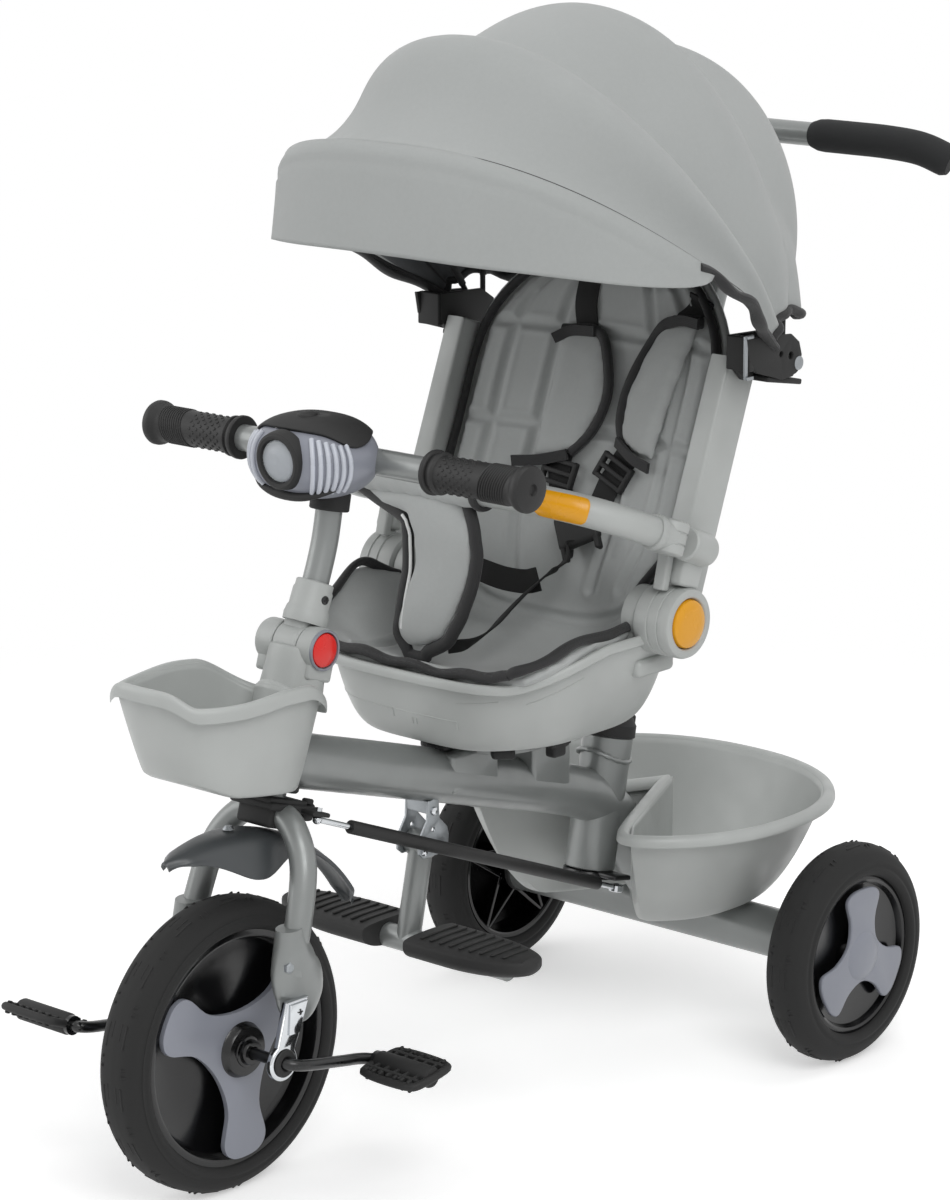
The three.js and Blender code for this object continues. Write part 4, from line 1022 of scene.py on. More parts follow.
@dataclass
class FrameWeldment(Assembly):
    """The welded steel frame with its turntable, pole socket and rear axle."""

    tube_radius: float = 24.0
    axle_radius: float = 23.0
    axle_half: float = 183.0
    socket_radius: float = 23.5

    def build(self) -> None:
        """Builds the weldment and what is fixed to it."""
        self.keep(self.steelwork(), "main_frame")
        self.keep(self.weld_beads())
        self.keep(self.headset())
        self.keep(self.collar(), "pole_collar")
        self.keep(rounded(self.turntable(), 0.8), "swivel_plate")
        self.keep(self.axle_caps())
        self.keep(rounded(self.footrest_bracket(), 0.4, 2), "footrest_bracket")
        self.keep(self.bracket_rivets())

    def steelwork(self) -> Piece:
        """Head tube, main tube, socket, axle tube and the seat pedestal in one weldment."""
        form = Form()
        form.lathe([(15, 0), (20.2, 0), (21, 1), (21, 66), (20.2, 67), (15, 67), (15, 0)], steering_point(340),
                   STEERING_AXIS)
        form.tube(spline(MAIN_TUBE_LINE, 7), self.tube_radius * 0.001, 48)
        height = (289 - 167) / POLE_AXIS.z
        r = self.socket_radius
        form.lathe([(17, 0), (r - 1, 0), (r, 1), (r, height - 1), (r - 1, height), (17, height), (17, 0)],
                   pole_point(167), POLE_AXIS)
        form.tube([at(x, *REAR_TUBE) for x in (-self.axle_half, 0, self.axle_half)], self.axle_radius * 0.001,
                  48)
        form.tube([at(x, *REAR_TUBE) for x in (-222, 0, 222)], 0.007, 24)
        form.box((46, 62, 36), placed(0, 297, 306), 4)
        form.box((46, 52, 62), placed(0, 401, 293), 4)
        form.lathe([(0, 0), (53, 0), (54, 1), (54, 6), (53, 7), (0, 7)], at(0, SWIVEL_Y, 319), UP)
        return form.piece("frame_weldment", FRAME_PAINT)

    def weld_beads(self) -> Piece:
        """Rippled weld beads round the socket and where the main tube meets the axle."""
        form = Form()
        beads = []
        for turn in range(49):
            angle = TAU * turn / 48
            side = Vector((cos(angle), sin(angle), 0))
            socket = pole_point(262) + side * 0.0238
            socket.z = at(0, 0, 274).z - 0.30 * side.y * 0.024 - (1 - side.y ** 2) * 0.006
            beads.append(socket)
        radii = [0.0021 + 0.0005 * sin(turn * 2.1) for turn in range(49)]
        form.tube(beads, radii, 10, caps=False)
        ring = [at(23.5 * sin(TAU * t / 48), 579 + 6 * cos(TAU * t / 24),
                   115 + 22 * cos(TAU * t / 48)) for t in range(49)]
        form.tube(ring, radii, 10, caps=False)
        return form.piece("weld_beads", FRAME_PAINT, 60)

    def headset(self) -> Piece:
        """The black bearing cups at both ends of the head tube."""
        form = Form()
        cup = [(14.6, -3), (21.5, -3), (23, -1.5), (23, 3), (21.4, 4), (21.4, 5), (14.6, 5), (14.6, -3)]
        form.lathe(cup, steering_point(338), STEERING_AXIS)
        form.lathe([(r, -d) for r, d in cup], steering_point(409), STEERING_AXIS)
        return form.piece("headset_cups", BLACK_PLASTIC)

    def collar(self) -> Piece:
        """The black collar that guides the pole into its socket, with its clamp lug."""
        form = Form()
        form.lathe([(16, 0), (25, 0), (25, 11), (24, 12.5), (21, 18), (16, 18), (16, 0)], pole_point(289.3),
                   POLE_AXIS)
        form.lathe([(15.4, 17), (20, 17), (20, 19), (18.5, 24), (15.4, 24), (15.4, 17)], pole_point(289.3),
                   POLE_AXIS)
        place = facing(pole_point(298) + Vector((0, 0.0235, -0.001)), POLE_AXIS)
        form.box((16, 12, 13), place, 2)
        return form.piece("pole_collar_moulding", BLACK_PLASTIC)

    def turntable(self) -> Piece:
        """The black turntable with a lever tab on each side."""
        form = Form()
        z = 326.6
        form.lathe([(0, 0), (55, 0), (56, 1), (56, 3.6), (55, 4.4), (0, 4.4)], at(0, SWIVEL_Y, z), UP)
        for x, y in ((0, -68), (0, 68), (66, 0), (-66, 0)):
            form.box((26, 26, 4.4), placed(x, SWIVEL_Y + y, z + 2.2), 1)
        for x, y in ((0, -78), (72, 0), (-72, 0)):
            form.box((15, 12, 15) if x == 0 else (12, 17, 15), placed(x, SWIVEL_Y + y, z - 3), 3)
        return form.piece("turntable_plate", BLACK_PLASTIC)

    def axle_caps(self) -> Piece:
        """Plastic plugs in the ends of the axle tube."""
        form = Form()
        for side in Side:
            form.lathe([(7.5, -4), (23.8, -4), (24.6, -3), (24.6, 1), (23, 2.5), (12, 3), (7.5, 3), (7.5, -4)],
                       side.at(self.axle_half, *REAR_TUBE), side.out)
        return form.piece("axle_tube_plugs", BLACK_PLASTIC)

    def footrest_bracket(self) -> Piece:
        """Two zinc cheeks and a saddle under the main tube, with the footrest's pin."""
        form = Form()
        outline = [(244, 284), (251, 287), (258, 284), (259, 268), (269, 258), (271, 250), (270, 240),
                   (264, 235),
                   (238, 235), (232, 240), (232, 252), (243, 268)]
        for x in (12.6, -12.6):
            form.plate(outline, 2.4, side_on(x), 0.4, [(250.5, 259, 2.0), (260, 243, 1.8)])
        form.box((27.4, 14, 12), placed(0, 251, 280), 1)
        form.lathe([(0, -15.5), (5.4, -15.5), (5.4, -13), (3.4, -13), (3.4, 13), (5.4, 13), (5.4, 15.5),
                    (0, 15.5)],
                   at(0, *FOOT_PIVOT), ACROSS, 32)
        return form.piece("footrest_cheeks", ZINC)

    def bracket_rivets(self) -> Piece:
        """Bolt heads on the cheeks."""
        form = Form()
        for y, z, r in ((250, 244, 5.5), (250.5, 276, 4), (238, 241, 3.4), (262, 241, 3.4)):
            for side in (1, -1):
                form.lathe([(0, 3), (r * 0.6, 2.8), (r * 0.9, 2), (r, 0), (0, 0)], at(side * 13.7, y, z),
                           ACROSS * side, 6 if r > 5 else 24)
        return form.piece("footrest_bolts", CHROME)


# ---------- Baskets ----------
def superellipse(x: float, y: float, half_x: float, half_y: float, power: float) -> float:
    """Rough distance in millimetres outside a superellipse, negative inside."""
    far = ((abs(x) / half_x) ** power + (abs(y) / half_y) ** power) ** (1 / power)
    return (far - 1) * min(half_x, half_y)


def soft_max(a: float, b: float, width: float) -> float:
    """The larger of two distances, with the corner between them rounded."""
    share = max(0.0, 1 - abs(a - b) / width)
    return max(a, b) + width * 0.25 * share * share


@dataclass
class Basket(Assembly):
    """A moulded bowl with a rolled rim and a notch, drawn from a centre that sees all of its wall."""

    name: str = ""
    node: str = ""
    centre_y: float = 0.0
    wall: float = 2.6
    lip: tuple[tuple[float, float], ...] = ()

    def distance(self, x: float, y: float, rise: float) -> float:
        """How far outside the wall a plan point is at a share of the height."""
        raise NotImplementedError

    def floor_z(self, x: float, y: float) -> float:
        """The floor's height."""
        raise NotImplementedError

    def rim_z(self, x: float, y: float) -> float:
        """The rim's height."""
        raise NotImplementedError

    def reach(self, angle: float, rise: float) -> tuple[float, float]:
        """The plan point where the wall stands, along a bearing from the centre."""
        dx, dy = sin(angle), -cos(angle)
        low, high = 0.0, 330.0
        for _ in range(26):
            middle = (low + high) / 2
            if self.distance(dx * middle, self.centre_y + dy * middle, rise) < 0:
                low = middle
            else:
                high = middle
        return dx * low, self.centre_y + dy * low

    def bowl(self, u: float, v: float) -> Vector:
        """A point of the bowl: v runs from the floor's middle out and up the wall."""
        angle = TAU * u
        turn_up = 0.38
        if v < turn_up:
            share = v / turn_up
            x, y = self.reach(angle, 0.0)
            spread = share * 0.97
            x, y = x * spread, self.centre_y + (y - self.centre_y) * spread
            return at(x, y, self.floor_z(x, y))
        rise = (v - turn_up) / (1 - turn_up)
        x, y = self.reach(angle, rise)
        floor, rim = self.floor_z(x, y), self.rim_z(x, y)
        return at(x, y, lerp(floor + 1.5, rim, rise ** 1.35))

    def shell(self) -> Piece:
        """The bowl's wall."""
        form = Form().skin(128, 34, self.bowl, wrap=True)
        form.soften(1, 0.3)
        piece = form.piece(self.name + "_bowl", GREY_PLASTIC, 50)
        return walled(piece, self.wall)

    def rim(self) -> Piece:
        """The rolled lip."""
        count = 160
        line = [self.reach(TAU * i / count, 1.0) for i in range(count)]

        def section(u: float, v: float) -> Vector:
            """A point of the lip's section, u round the rim and v round the lip."""
            i = int(round(u * count)) % count
            x, y = line[i]
            before, after = line[(i - 2) % count], line[(i + 2) % count]
            run = Vector((after[0] - before[0], after[1] - before[1])).normalized()
            place = v * len(self.lip)
            out, height = self.lip[int(place) % len(self.lip)]
            return at(x + run.y * out, y - run.x * out, self.rim_z(x, y) + height)

        form = Form().skin(count, len(self.lip), section, wrap=True)
        bmesh.ops.remove_doubles(form.bm, verts=form.bm.verts, dist=1e-6)
        return subdivided(form.piece(self.name + "_rim", GREY_PLASTIC, 70))


@dataclass
class RearBasket(Basket):
    """The large round basket behind the seat, notched for the frame."""

    name: str = "rear_basket"
    node: str = "rear_basket"
    centre_y: float = 648.0
    lip: tuple[tuple[float, float], ...] = ((-3, -4), (-2.6, 0), (0, 2.6), (4, 3.2), (8, 1.4), (9.6, -3),
                                            (9.4, -9),
                                            (7.4, -9.4), (6.6, -3.4), (3, -0.6), (0, -4))

    def distance(self, x: float, y: float, rise: float) -> float:
        """The oval wall, cut by the frame's wedge."""
        swell = 0.6 + 0.4 * (rise ** 1.35) ** 0.55
        oval = superellipse(x, y - 562, 166 * swell, 160 * swell, 2.2)
        wedge = (600 - abs(x) * 2.1 - y) / 2.33
        return soft_max(oval, wedge, 12)

    def floor_z(self, x: float, y: float) -> float:
        """A flat floor."""
        return 126.5

    def rim_z(self, x: float, y: float) -> float:
        """A level rim."""
        return 228.0

    def build(self) -> None:
        """Builds the bowl, its rim, floor rings and outer ribs."""
        self.keep(self.shell(), self.node)
        self.keep(self.rim())
        self.keep(self.rings())
        self.keep(rounded(self.ribs(), 0.8))

    def rings(self) -> Piece:
        """Raised rings on the floor."""
        form = Form()
        for radius in (12, 20, 28):
            form.lathe([(radius, 0), (radius + 0.4, 1.4), (radius + 1.6, 1.9), (radius + 2.8, 1.4),
                        (radius + 3.2, 0)],
                       at(0, 635, 127.4), UP, 56)
        return form.piece("rear_basket_floor_rings", GREY_PLASTIC, 60)

    def ribs(self) -> Piece:
        """Stiffening ribs under the bowl where it stands on the axle tube."""
        form = Form()
        for x in (72, -72):
            form.plate([(540, 122), (600, 122), (632, 130), (604, 126), (560, 126)], 3,
                       side_on(x), 0.5)
        return form.piece("rear_basket_ribs", GREY_PLASTIC)


@dataclass
class FrontBasket(Basket):
    """The small scooped basket on the steering column."""

    body: str = "steering"
    name: str = "front_basket"
    node: str = "front_basket"
    centre_y: float = -14.0
    lip: tuple[tuple[float, float], ...] = ((-2.6, -3), (-2.2, 0.4), (0, 2.6), (3, 3), (5.6, 1), (6.4, -4),
                                            (6, -12),
                                            (4.2, -12.2), (4, -4), (2, -0.6), (0, -3))

    def distance(self, x: float, y: float, rise: float) -> float:
        """The squarish oval, cut by the steering column's recess."""
        swell = (rise ** 1.35) ** 0.8
        half_x, half_y = 66 * lerp(0.79, 1, swell), 86 * lerp(0.74, 1, swell)
        oval = superellipse(x, y - 4, half_x, half_y, 2.6)
        z = lerp(349, 430, rise)
        column = RAKE * (z - 127)
        recess = 30 - (hypot(x, y - column) if y < column else abs(x))
        return soft_max(oval, recess, 10)

    def floor_z(self, x: float, y: float) -> float:
        """The floor rises forwards and curls up to the front wall."""
        run = y - 4
        return 350.5 - 0.15 * run + 9 * smooth(-run, 25, 66)

    def rim_z(self, x: float, y: float) -> float:
        """The rim stands up at the front, waves along the sides and falls behind."""
        run = y - 4
        return 437 + 13 * smooth(-run, 70, 86) + 3 * bump_at(run, 8, 30) - 31 * smooth(run, 35, 95)

    def build(self) -> None:
        """Builds the bowl and its rim."""
        self.keep(self.shell(), self.node)
        self.keep(self.rim())


# ---------- Wheels ----------
@dataclass
class Wheel(Assembly):
    """A foam-filled wheel: tyre with moulded marks, dished rim and three-lobed cover."""

    name: str = "front"
    side: float = 1.0
    x: float = 0.0
    hub: Vector = field(default_factory=lambda: AXLE.copy())
    radius: float = 127.0
    width: float = 49.0
    bead: float = 92.0
    marks: int = 15

    def place(self, along: float = 0.0) -> Vector:
        """The wheel's middle, moved outwards along its axle by millimetres."""
        return Vector((self.x * 0.001 + along * 0.001 * self.side, self.hub.y, self.hub.z))

    def tyre(self) -> Piece:
        """The tyre: rounded shoulders, a bead ridge and raised tread marks."""
        half, r, bead = self.width / 2, self.radius, self.bead
        wall = [(bead - 0.3, half - 7), (bead + 0.6, half - 3), (bead + 3.4, half - 0.4), (bead + 6.4, half),
                (bead + 9, half - 1.2), (bead + 12, half - 0.9), (r - 13, half - 1.6), (r - 7, half - 4.6),
                (r - 3, half - 9.5), (r - 0.9, half - 15), (r, 0)]
        fine = [(p.x, p.y) for p in spline([Vector((a, b, 0)) for a, b in wall], 4)]
        profile = fine + [(a, -b) for a, b in reversed(fine[:-1])] + [fine[0]]
        form = Form().lathe(profile, self.place(), ACROSS, 128)
        for k in range(self.marks):
            self.mark(form, TAU * k / self.marks)
        return form.piece(self.name + "_tyre_moulding", TYRE_RUBBER, 40)

    def mark(self, form: Form, angle: float) -> None:
        """One set of raised marks on both shoulders: two bars along the tread and two across it."""
        half, r = self.width / 2, self.radius
        for side in (1, -1):
            bars = ((0.0, half - 15, r - 1.35, 20, 2.0), (0.03, half - 20, r - 0.9, 14, 1.6),
                    (0.16, half - 9.4, r - 3.9, 2.2, 11), (0.21, half - 10.5, r - 3.3, 2.0, 9))
            for turn, along, lift, length, wide in bars:
                a = angle + turn * (1 if side > 0 else 1.3)
                out = Vector((0, sin(a), cos(a)))
                lean = 0.0 if length > wide else 42.0
                normal = (out * cos(radians(lean)) + ACROSS * side * sin(radians(lean)))
                spot = self.place() + out * lift * 0.001 + ACROSS * side * along * 0.001
                tangent = ACROSS.cross(out)
                form.box((length, wide, 1.6), facing(spot, normal, tangent), 0.5, 2)

    def cover(self, length: float, paddle: float, waist: float, start: float, along: float, side: float,
              hole: float = 0.0) -> Piece:
        """The three-lobed cover.

        Args:
            length: how far its lobes reach, in millimetres.
            paddle: a lobe's half width.
            waist: its radius between two lobes.
            start: the first lobe's bearing in degrees.
            along: how far it stands from the wheel's middle.
            side: 1 for the child's left, -1 for the right.
            hole: the radius of its middle hole.

        Returns:
            The cover.
        """
        corners = []
        lobe_shape = ((0.52, -0.68), (0.84, -0.9), (0.97, -0.6), (1.0, 0.0), (0.97, 0.6), (0.84, 0.9),
                      (0.52, 0.68))
        for lobe in range(3):
            turn = radians(start + lobe * 120)
            for far, across in lobe_shape:
                a, b = length * far, paddle * across
                corners.append(Vector((a * cos(turn) - b * sin(turn), a * sin(turn) + b * cos(turn), 0)))
            gap = turn + radians(60)
            corners.append(Vector((waist * cos(gap), waist * sin(gap), 0)))
        outline = [(p.x, p.y) for p in spline(corners, 5, closed=True)]
        spot = Vector((self.x * 0.001 + side * along * 0.001, self.hub.y, self.hub.z))
        form = Form().plate(outline, 5.0, Matrix.Translation(spot) @ SIDEWAYS, 1.8,
                            [(0, 0, hole)] if hole else (), 4)
        word = self.name if self.x else (self.name + ("_left" if side > 0 else "_right"))
        return form.piece(word + "_cover_moulding", COVER_PLASTIC, 30)


@dataclass
class FrontWheel(Wheel):
    """The driven front wheel with its crank."""

    body: str = "front_wheel"
    bead: float = 102.0

    def build(self) -> None:
        """Builds the wheel, its covers, hub and crank."""
        self.keep(self.tyre(), "front_tyre")
        self.keep(self.rim(), "front_rim")
        face = self.width / 2 - 6 + 0.3
        for side, node in ((1, "left_spoke_cover"), (-1, "right_spoke_cover")):
            self.keep(self.cover(96, 27, 34, 152, face + 2.5, side, 14), node)
        self.keep(self.crank(), "crank")

    def rim(self) -> Piece:
        """The deep glossy rim with a stepped hub boss on each side."""
        half = self.width / 2
        edge = self.bead - 0.3
        face = half - 6
        boss = face + 5.6
        side = [(5.8, boss + 14), (9.6, boss + 14), (10.4, boss + 13), (11, boss + 8.6), (13, boss + 8),
                (13.4, boss + 7),
                (20.6, boss + 6.6), (22, boss + 5), (23, boss + 1), (24, boss), (24, 8), (27, 6), (60, 4),
                (edge - 14, 3),
                (edge - 9, 6), (edge - 7, half - 8), (edge - 6, half - 5.4), (edge - 4, half - 4.6),
                (edge, half - 4.8)]
        profile = side + [(a, -b) for a, b in reversed(side)] + [side[0]]
        form = Form().lathe(profile, self.place(), ACROSS, 112)
        for k in range(9):
            a = TAU * k / 9
            out = Vector((0, sin(a), cos(a)))
            form.box((2.4, 34, 44), facing(self.place() + out * 0.055, out), 0.5, 1)
        return form.piece("front_rim_moulding", GLOSS_BLACK, 34)

    def crank(self) -> Piece:
        """The bent steel rod."""
        form = Form()
        for side, y, z in ((1, 95.5, 107), (-1, -86, 144.6)):
            line = [(0, 0), (30, 0), (60, 0), (76, 0), (84, 0.14), (82, 0.6), (80, 0.85), (83, 0.97), (91, 1),
                    (146, 1)]
            points = [at(side * x, y * part, 127 + (z - 127) * part) for x, part in line]
            form.tube(spline(points, 6), 0.005, 20)
            form.lathe([(5, -3), (8.4, -3), (8.4, 1), (5, 1), (5, -3)], points[-2], ACROSS * side, 24)
        return form.piece("crank_rod", BLACK_PAINT, 50)


@dataclass
class RearWheel(Wheel):
    """A rear wheel that turns on the stub axle."""

    radius: float = 102.0
    width: float = 44.0
    bead: float = 74.0
    marks: int = 12

    def build(self) -> None:
        """Builds the tyre, the webbed rim and the cover with its cap."""
        word = self.name.split("_")[0]
        self.keep(self.tyre(), f"{word}_rear_tyre")
        self.keep(self.rim(), f"{word}_rear_rim")
        face = self.width / 2 - 6 + 0.3
        self.keep(self.cover(64, 27, 25, 90, face + 2.5, self.side), f"{word}_rear_cover")
        cap = Form().lathe([(0, 9), (10, 8.8), (18, 7.6), (22, 5.6), (23.4, 4.4), (24.2, 4.2), (24.4, 3)],
                           self.place(face), ACROSS * self.side, 64)
        self.keep(cap.piece(self.name + "_cap", COVER_PLASTIC, 60))

    def rim(self) -> Piece:
        """The rim: open ribs that form triangles inside, a dish outside."""
        half, edge = self.width / 2, self.bead - 0.3
        profile = [(7.5, 3 - half), (18, 3 - half), (18, 6), (edge - 8, 7.4), (edge - 5, 4 - half),
                   (edge - 3.6, 3 - half),
                   (edge - 0.4, 3 - half), (edge, 5 - half), (edge, half - 6), (edge - 3, half - 5),
                   (edge - 5.4, half - 6), (edge - 8, 11), (edge - 12, 10), (18, 10), (18, half - 6),
                   (7.5, half - 6),
                   (7.5, 3 - half)]
        form = Form().lathe(profile, self.place(), ACROSS * self.side, 96)
        for spoke in range(5):
            for lean in (-14, 14):
                a = radians(72 * spoke)
                turn = Matrix.Rotation(-a, 3, "X") @ Matrix.Rotation(radians(lean), 3, "X")
                offset = Vector((0, lean * 0.00055, (edge + 12) * 0.0005))
                middle = self.place(8 - half / 2 - 1.5) + Matrix.Rotation(-a, 3, "X") @ offset
                form.box((half + 3, 3.2, edge - 18), Matrix.Translation(middle) @ turn.to_4x4(), 0.5, 1)
        return form.piece(self.name + "_rim_moulding", GLOSS_BLACK, 34)


@dataclass
class Pedal(Assembly):
    """A ribbed pedal that turns on the crank's end."""

    x: float = 122.0
    y: float = 95.5
    z: float = 107.0
    side: float = 1.0
    tilt: float = 8.0

    def build(self) -> None:
        """Builds the pedal's cage, ribs and core."""
        form = Form()
        middle = at(self.x * self.side, self.y, self.z)
        place = Matrix.Translation(middle) @ Matrix.Rotation(radians(self.tilt), 4, "X")
        outline = [(-30, -17), (-24, -23), (-10, -25), (10, -25), (24, -23), (30, -16), (30, 16), (24, 23),
                   (10, 25),
                   (-10, 25), (-24, 23), (-30, 17)]
        ring = [place @ Vector((a * 0.001, b * 0.001, 0)) for a, b in outline]
        form.tube(spline(ring, 4, closed=True) + [ring[0]], 0.0036, 12, caps=False)
        for along in (-22, -11, 0, 11, 22):
            form.box((3.4, 44, 8.5), place @ Matrix.Translation((along * 0.001, 0, 0)), 1.0, 2)
        for across in (-16, 16):
            form.box((56, 4, 9), place @ Matrix.Translation((0, across * 0.001, 0)), 1.0, 2)
            for k in range(7):
                form.box((3, 5, 11), place @ Matrix.Translation(((k - 3) * 0.008, across * 0.00135, 0)), 0.8, 1)
        form.lathe([(0, -30), (8.4, -30), (9.4, -28), (9.4, 28), (8.4, 30), (0, 30)], middle, ACROSS, 28)
        word = "left" if self.side > 0 else "right"
        self.keep(form.piece(word + "_pedal_cage", BLACK_PLASTIC), word + "_pedal")


# ---------- Steering ----------
FORK_HALF = ((60, 20, 196), (59, 34, 240), (52, 47, 282), (34, 55, 308), (14, 58, 317))


@dataclass
class Fork(Assembly):
    """The front fork with its dropouts, mudguard and the block that clamps its crown."""

    body: str = "steering"
    tube_radius: float = 11.5
    leg_x: float = 60.0
    eye_x: float = 70.3

    def build(self) -> None:
        """Builds the fork and what it carries."""
        self.keep(self.legs(), "front_fork")
        for side in Side:
            self.keep(self.dropout(side), f"{side.word}_dropout")
            self.keep(self.bush(side))
            sign = side.value
            self.screw(f"{side.word}_dropout_screw", at(sign * 74, 17, 168), ACROSS * sign, 4.6, CHROME)
            self.screw(f"{side.word}_fork_screw", at(sign * 67, 25, 192), ACROSS * sign, 3.6, BLACK_PAINT)
        self.keep(self.mudguard(), "mudguard")
        self.keep(self.block(), "steering_block")
        self.keep(self.bolts())

    def legs(self) -> Piece:
        """The bent tube whose legs are flattened into paddles, and the steerer."""
        half = [at(*p) for p in FORK_HALF]
        line = spline(half + mirrored(reversed(half)), 7)
        form = Form().tube(line, self.tube_radius * 0.001, 32)
        for sign in (1, -1):
            stations = ((0, 236, 11.4, 1.0), (3, 224, 15, 0.86), (8, 212, 21, 0.62), (14, 198, 26, 0.42),
                        (17, 184, 27.5, 0.34), (18, 170, 25, 0.32), (18, 158, 17, 0.36), (18, 153, 8, 0.6))
            middle = [at(sign * lerp(59.3, self.leg_x, min(1, i / 3)), 22 + a * 0.35 + (4 if i > 3 else 0), z)
                      for i, (a, z, _, _) in enumerate(stations)]
            section = spline([Vector((wide, thin, 0)) for _, _, wide, thin in stations], 4)
            form.tube(spline(middle, 4), [s.x * 0.001 for s in section], 40, [s.y for s in section],
                      Vector((0, 1, 0)))
        form.tube([steering_point(z) for z in (312, 372, 434)], 0.0125, 28)
        return form.piece("fork_tube", FRAME_PAINT, 50)

    def dropout(self, side: Side) -> Piece:
        """A strap that curls into a ring round the axle's bush."""
        sign = side.value
        x = sign * self.eye_x
        form = Form()
        ring = [(15.6 * cos(radians(a)), 127 + 15.6 * sin(radians(a))) for a in range(-245, 36, 10)]
        strap = [(4, 178)] + ring + [(19, 149), (30, 178)]
        form.plate(strap, 6.4, side_on(x), 1.6, [(0, 127, 8.6)], 3)
        form.plate([(5, 150), (7, 176), (27, 176), (17, 150)], 3, side_on(x + sign * 4.0), 1.2)
        return form.piece(f"{side.word}_dropout_strap", CHROME, 36)

    def bush(self, side: Side) -> Piece:
        """The black bush inside the ring, open for the crank."""
        sign = side.value
        form = Form().lathe([(5.6, -6), (8.4, -6), (8.4, 3.2), (11.4, 3.4), (12, 4.2), (11.2, 5.2), (7, 5.8),
                             (5.6, 5),
                             (5.6, -6)], at(sign * self.eye_x, 0, 127), ACROSS * sign, 40)
        return form.piece(f"{side.word}_axle_bush", BLACK_PLASTIC)

    def mudguard(self) -> Piece:
        """The saddle over the tyre: pointed tips, flaps lowest beside the fork and a raised edge."""
        def surface(u: float, v: float) -> Vector:
            """A point of the saddle, u across it and v from its back tip to its front."""
            side = u * 2 - 1
            angle = radians(lerp(-20, 61, v))
            flap = bump_at(v * 2 - 1, -0.33, 0.42)
            ends = 1 - 0.65 * smooth(abs(v * 2 - 1), 0.86, 1.0)
            half = lerp(13, 34, flap) * ends
            drop = 4 * side ** 2 + 34 * flap * side ** 4
            edge = 1.4 * smooth(abs(side), 0.86, 0.96)
            reach = 184 - drop + edge
            return at(half * side, reach * sin(angle), 127 + reach * cos(angle))

        form = Form().skin(36, 72, surface)
        return rounded(walled(form.piece("mudguard_moulding", GUARD_PLASTIC, 60), 3.0), 1.0)

    def block(self) -> Piece:
        """The stepped black block over the crown, with the link's tab."""
        form = Form()
        form.box((50, 60, 7), placed(0, 67, 321, -17), 2.4)
        form.box((44, 46, 6), placed(0, 62, 327, -17), 2)
        form.box((40, 30, 20), placed(0, 56, 315, -17), 4)
        form.box((18, 22, 4), placed(30, 84, 315, -17), 1.6)
        form.box((36, 16, 16), placed(0, 92, 311, -17), 5)
        for x in (-16, 16):
            form.lathe([(0, 4), (4, 4), (5, 3), (5, 0), (0, 0)], at(x, 90, 319.5), Vector((0, 0.29, 1)), 24)
        return form.piece("steering_block_moulding", BLACK_PLASTIC, 36)

    def bolts(self) -> Piece:
        """Bolts that hold the dropouts and the mudguard."""
        form = Form()
        for sign in (1, -1):
            form.lathe([(0, 4), (3.4, 4), (5.2, 3), (5.6, 0), (0, 0)], at(sign * 67, 12, 206), ACROSS * sign, 6)
        form.lathe([(0, 3), (3, 2.8), (5, 0), (0, 0)], at(0, 12, 311.6), UP, 24)
        return form.piece("fork_bolts", ZINC, 30)


FOLD_POINT = (99.5, 452.5)


@dataclass
class HeadHousing(Assembly):
    """The grey housing on the head tube that holds the folding joint, and its red button."""

    body: str = "steering"
    radius: float = 18.5

    def build(self) -> None:
        """Builds the housing, its button and ring."""
        self.keep(self.shell(), "head_housing")
        y, z = FOLD_POINT
        ring = Form().lathe([(15.5, -1), (17.4, -1), (17.4, 1.6), (16.6, 2.2), (15.5, 1.8), (15.5, -1)],
                            at(28, y, z),
                            ACROSS, 56)
        self.keep(ring.piece("fold_button_ring", COVER_PLASTIC))
        button = Form().lathe([(0, 9.4), (6, 9.2), (11.5, 8.4), (14, 7.2), (15, 5), (15, -0.3), (0, -0.3)],
                              at(22.2, y, z), ACROSS, 56)
        self.keep(button.piece("fold_button_cap", RED_PLASTIC), "fold_button", body="fold_button")
        self.screw("head_housing_screw", at(-36.2, y, z), -ACROSS, 8, COVER_PLASTIC, height=2.6)

    def shell(self) -> Piece:
        """A flared skirt that grows into two round cheeks."""
        form = Form()
        skirt = [(20, 0), (27.4, 0), (27.6, 2), (26.6, 14), (25.6, 26), (25.2, 38), (24.2, 41.5), (21, 43),
                 (13, 43)]
        form.lathe(skirt, steering_point(411), STEERING_AXIS, 64)
        y, z = FOLD_POINT
        r = self.radius
        for inner, outer in ((12.4, 28), (-16.4, -36)):
            sign = copysign(1, outer)
            wide = abs(outer - inner)
            profile = [(0, 0), (r - 0.8, 0), (r, 0.8), (r, wide - 2.4), (r - 0.8, wide - 0.7), (r - 2.6, wide)]
            profile += [(15.6, wide), (15.6, wide - 9), (0, wide - 9)] if sign > 0 else [(0, wide)]
            form.lathe(profile, at(inner, y, z), ACROSS * sign, 64)
            form.box((wide - 2, 30, 26), placed((inner + outer) / 2, y - 1.5, z - 14, -17), 3)
        return form.piece("head_housing_shell", GREY_PLASTIC, 36)


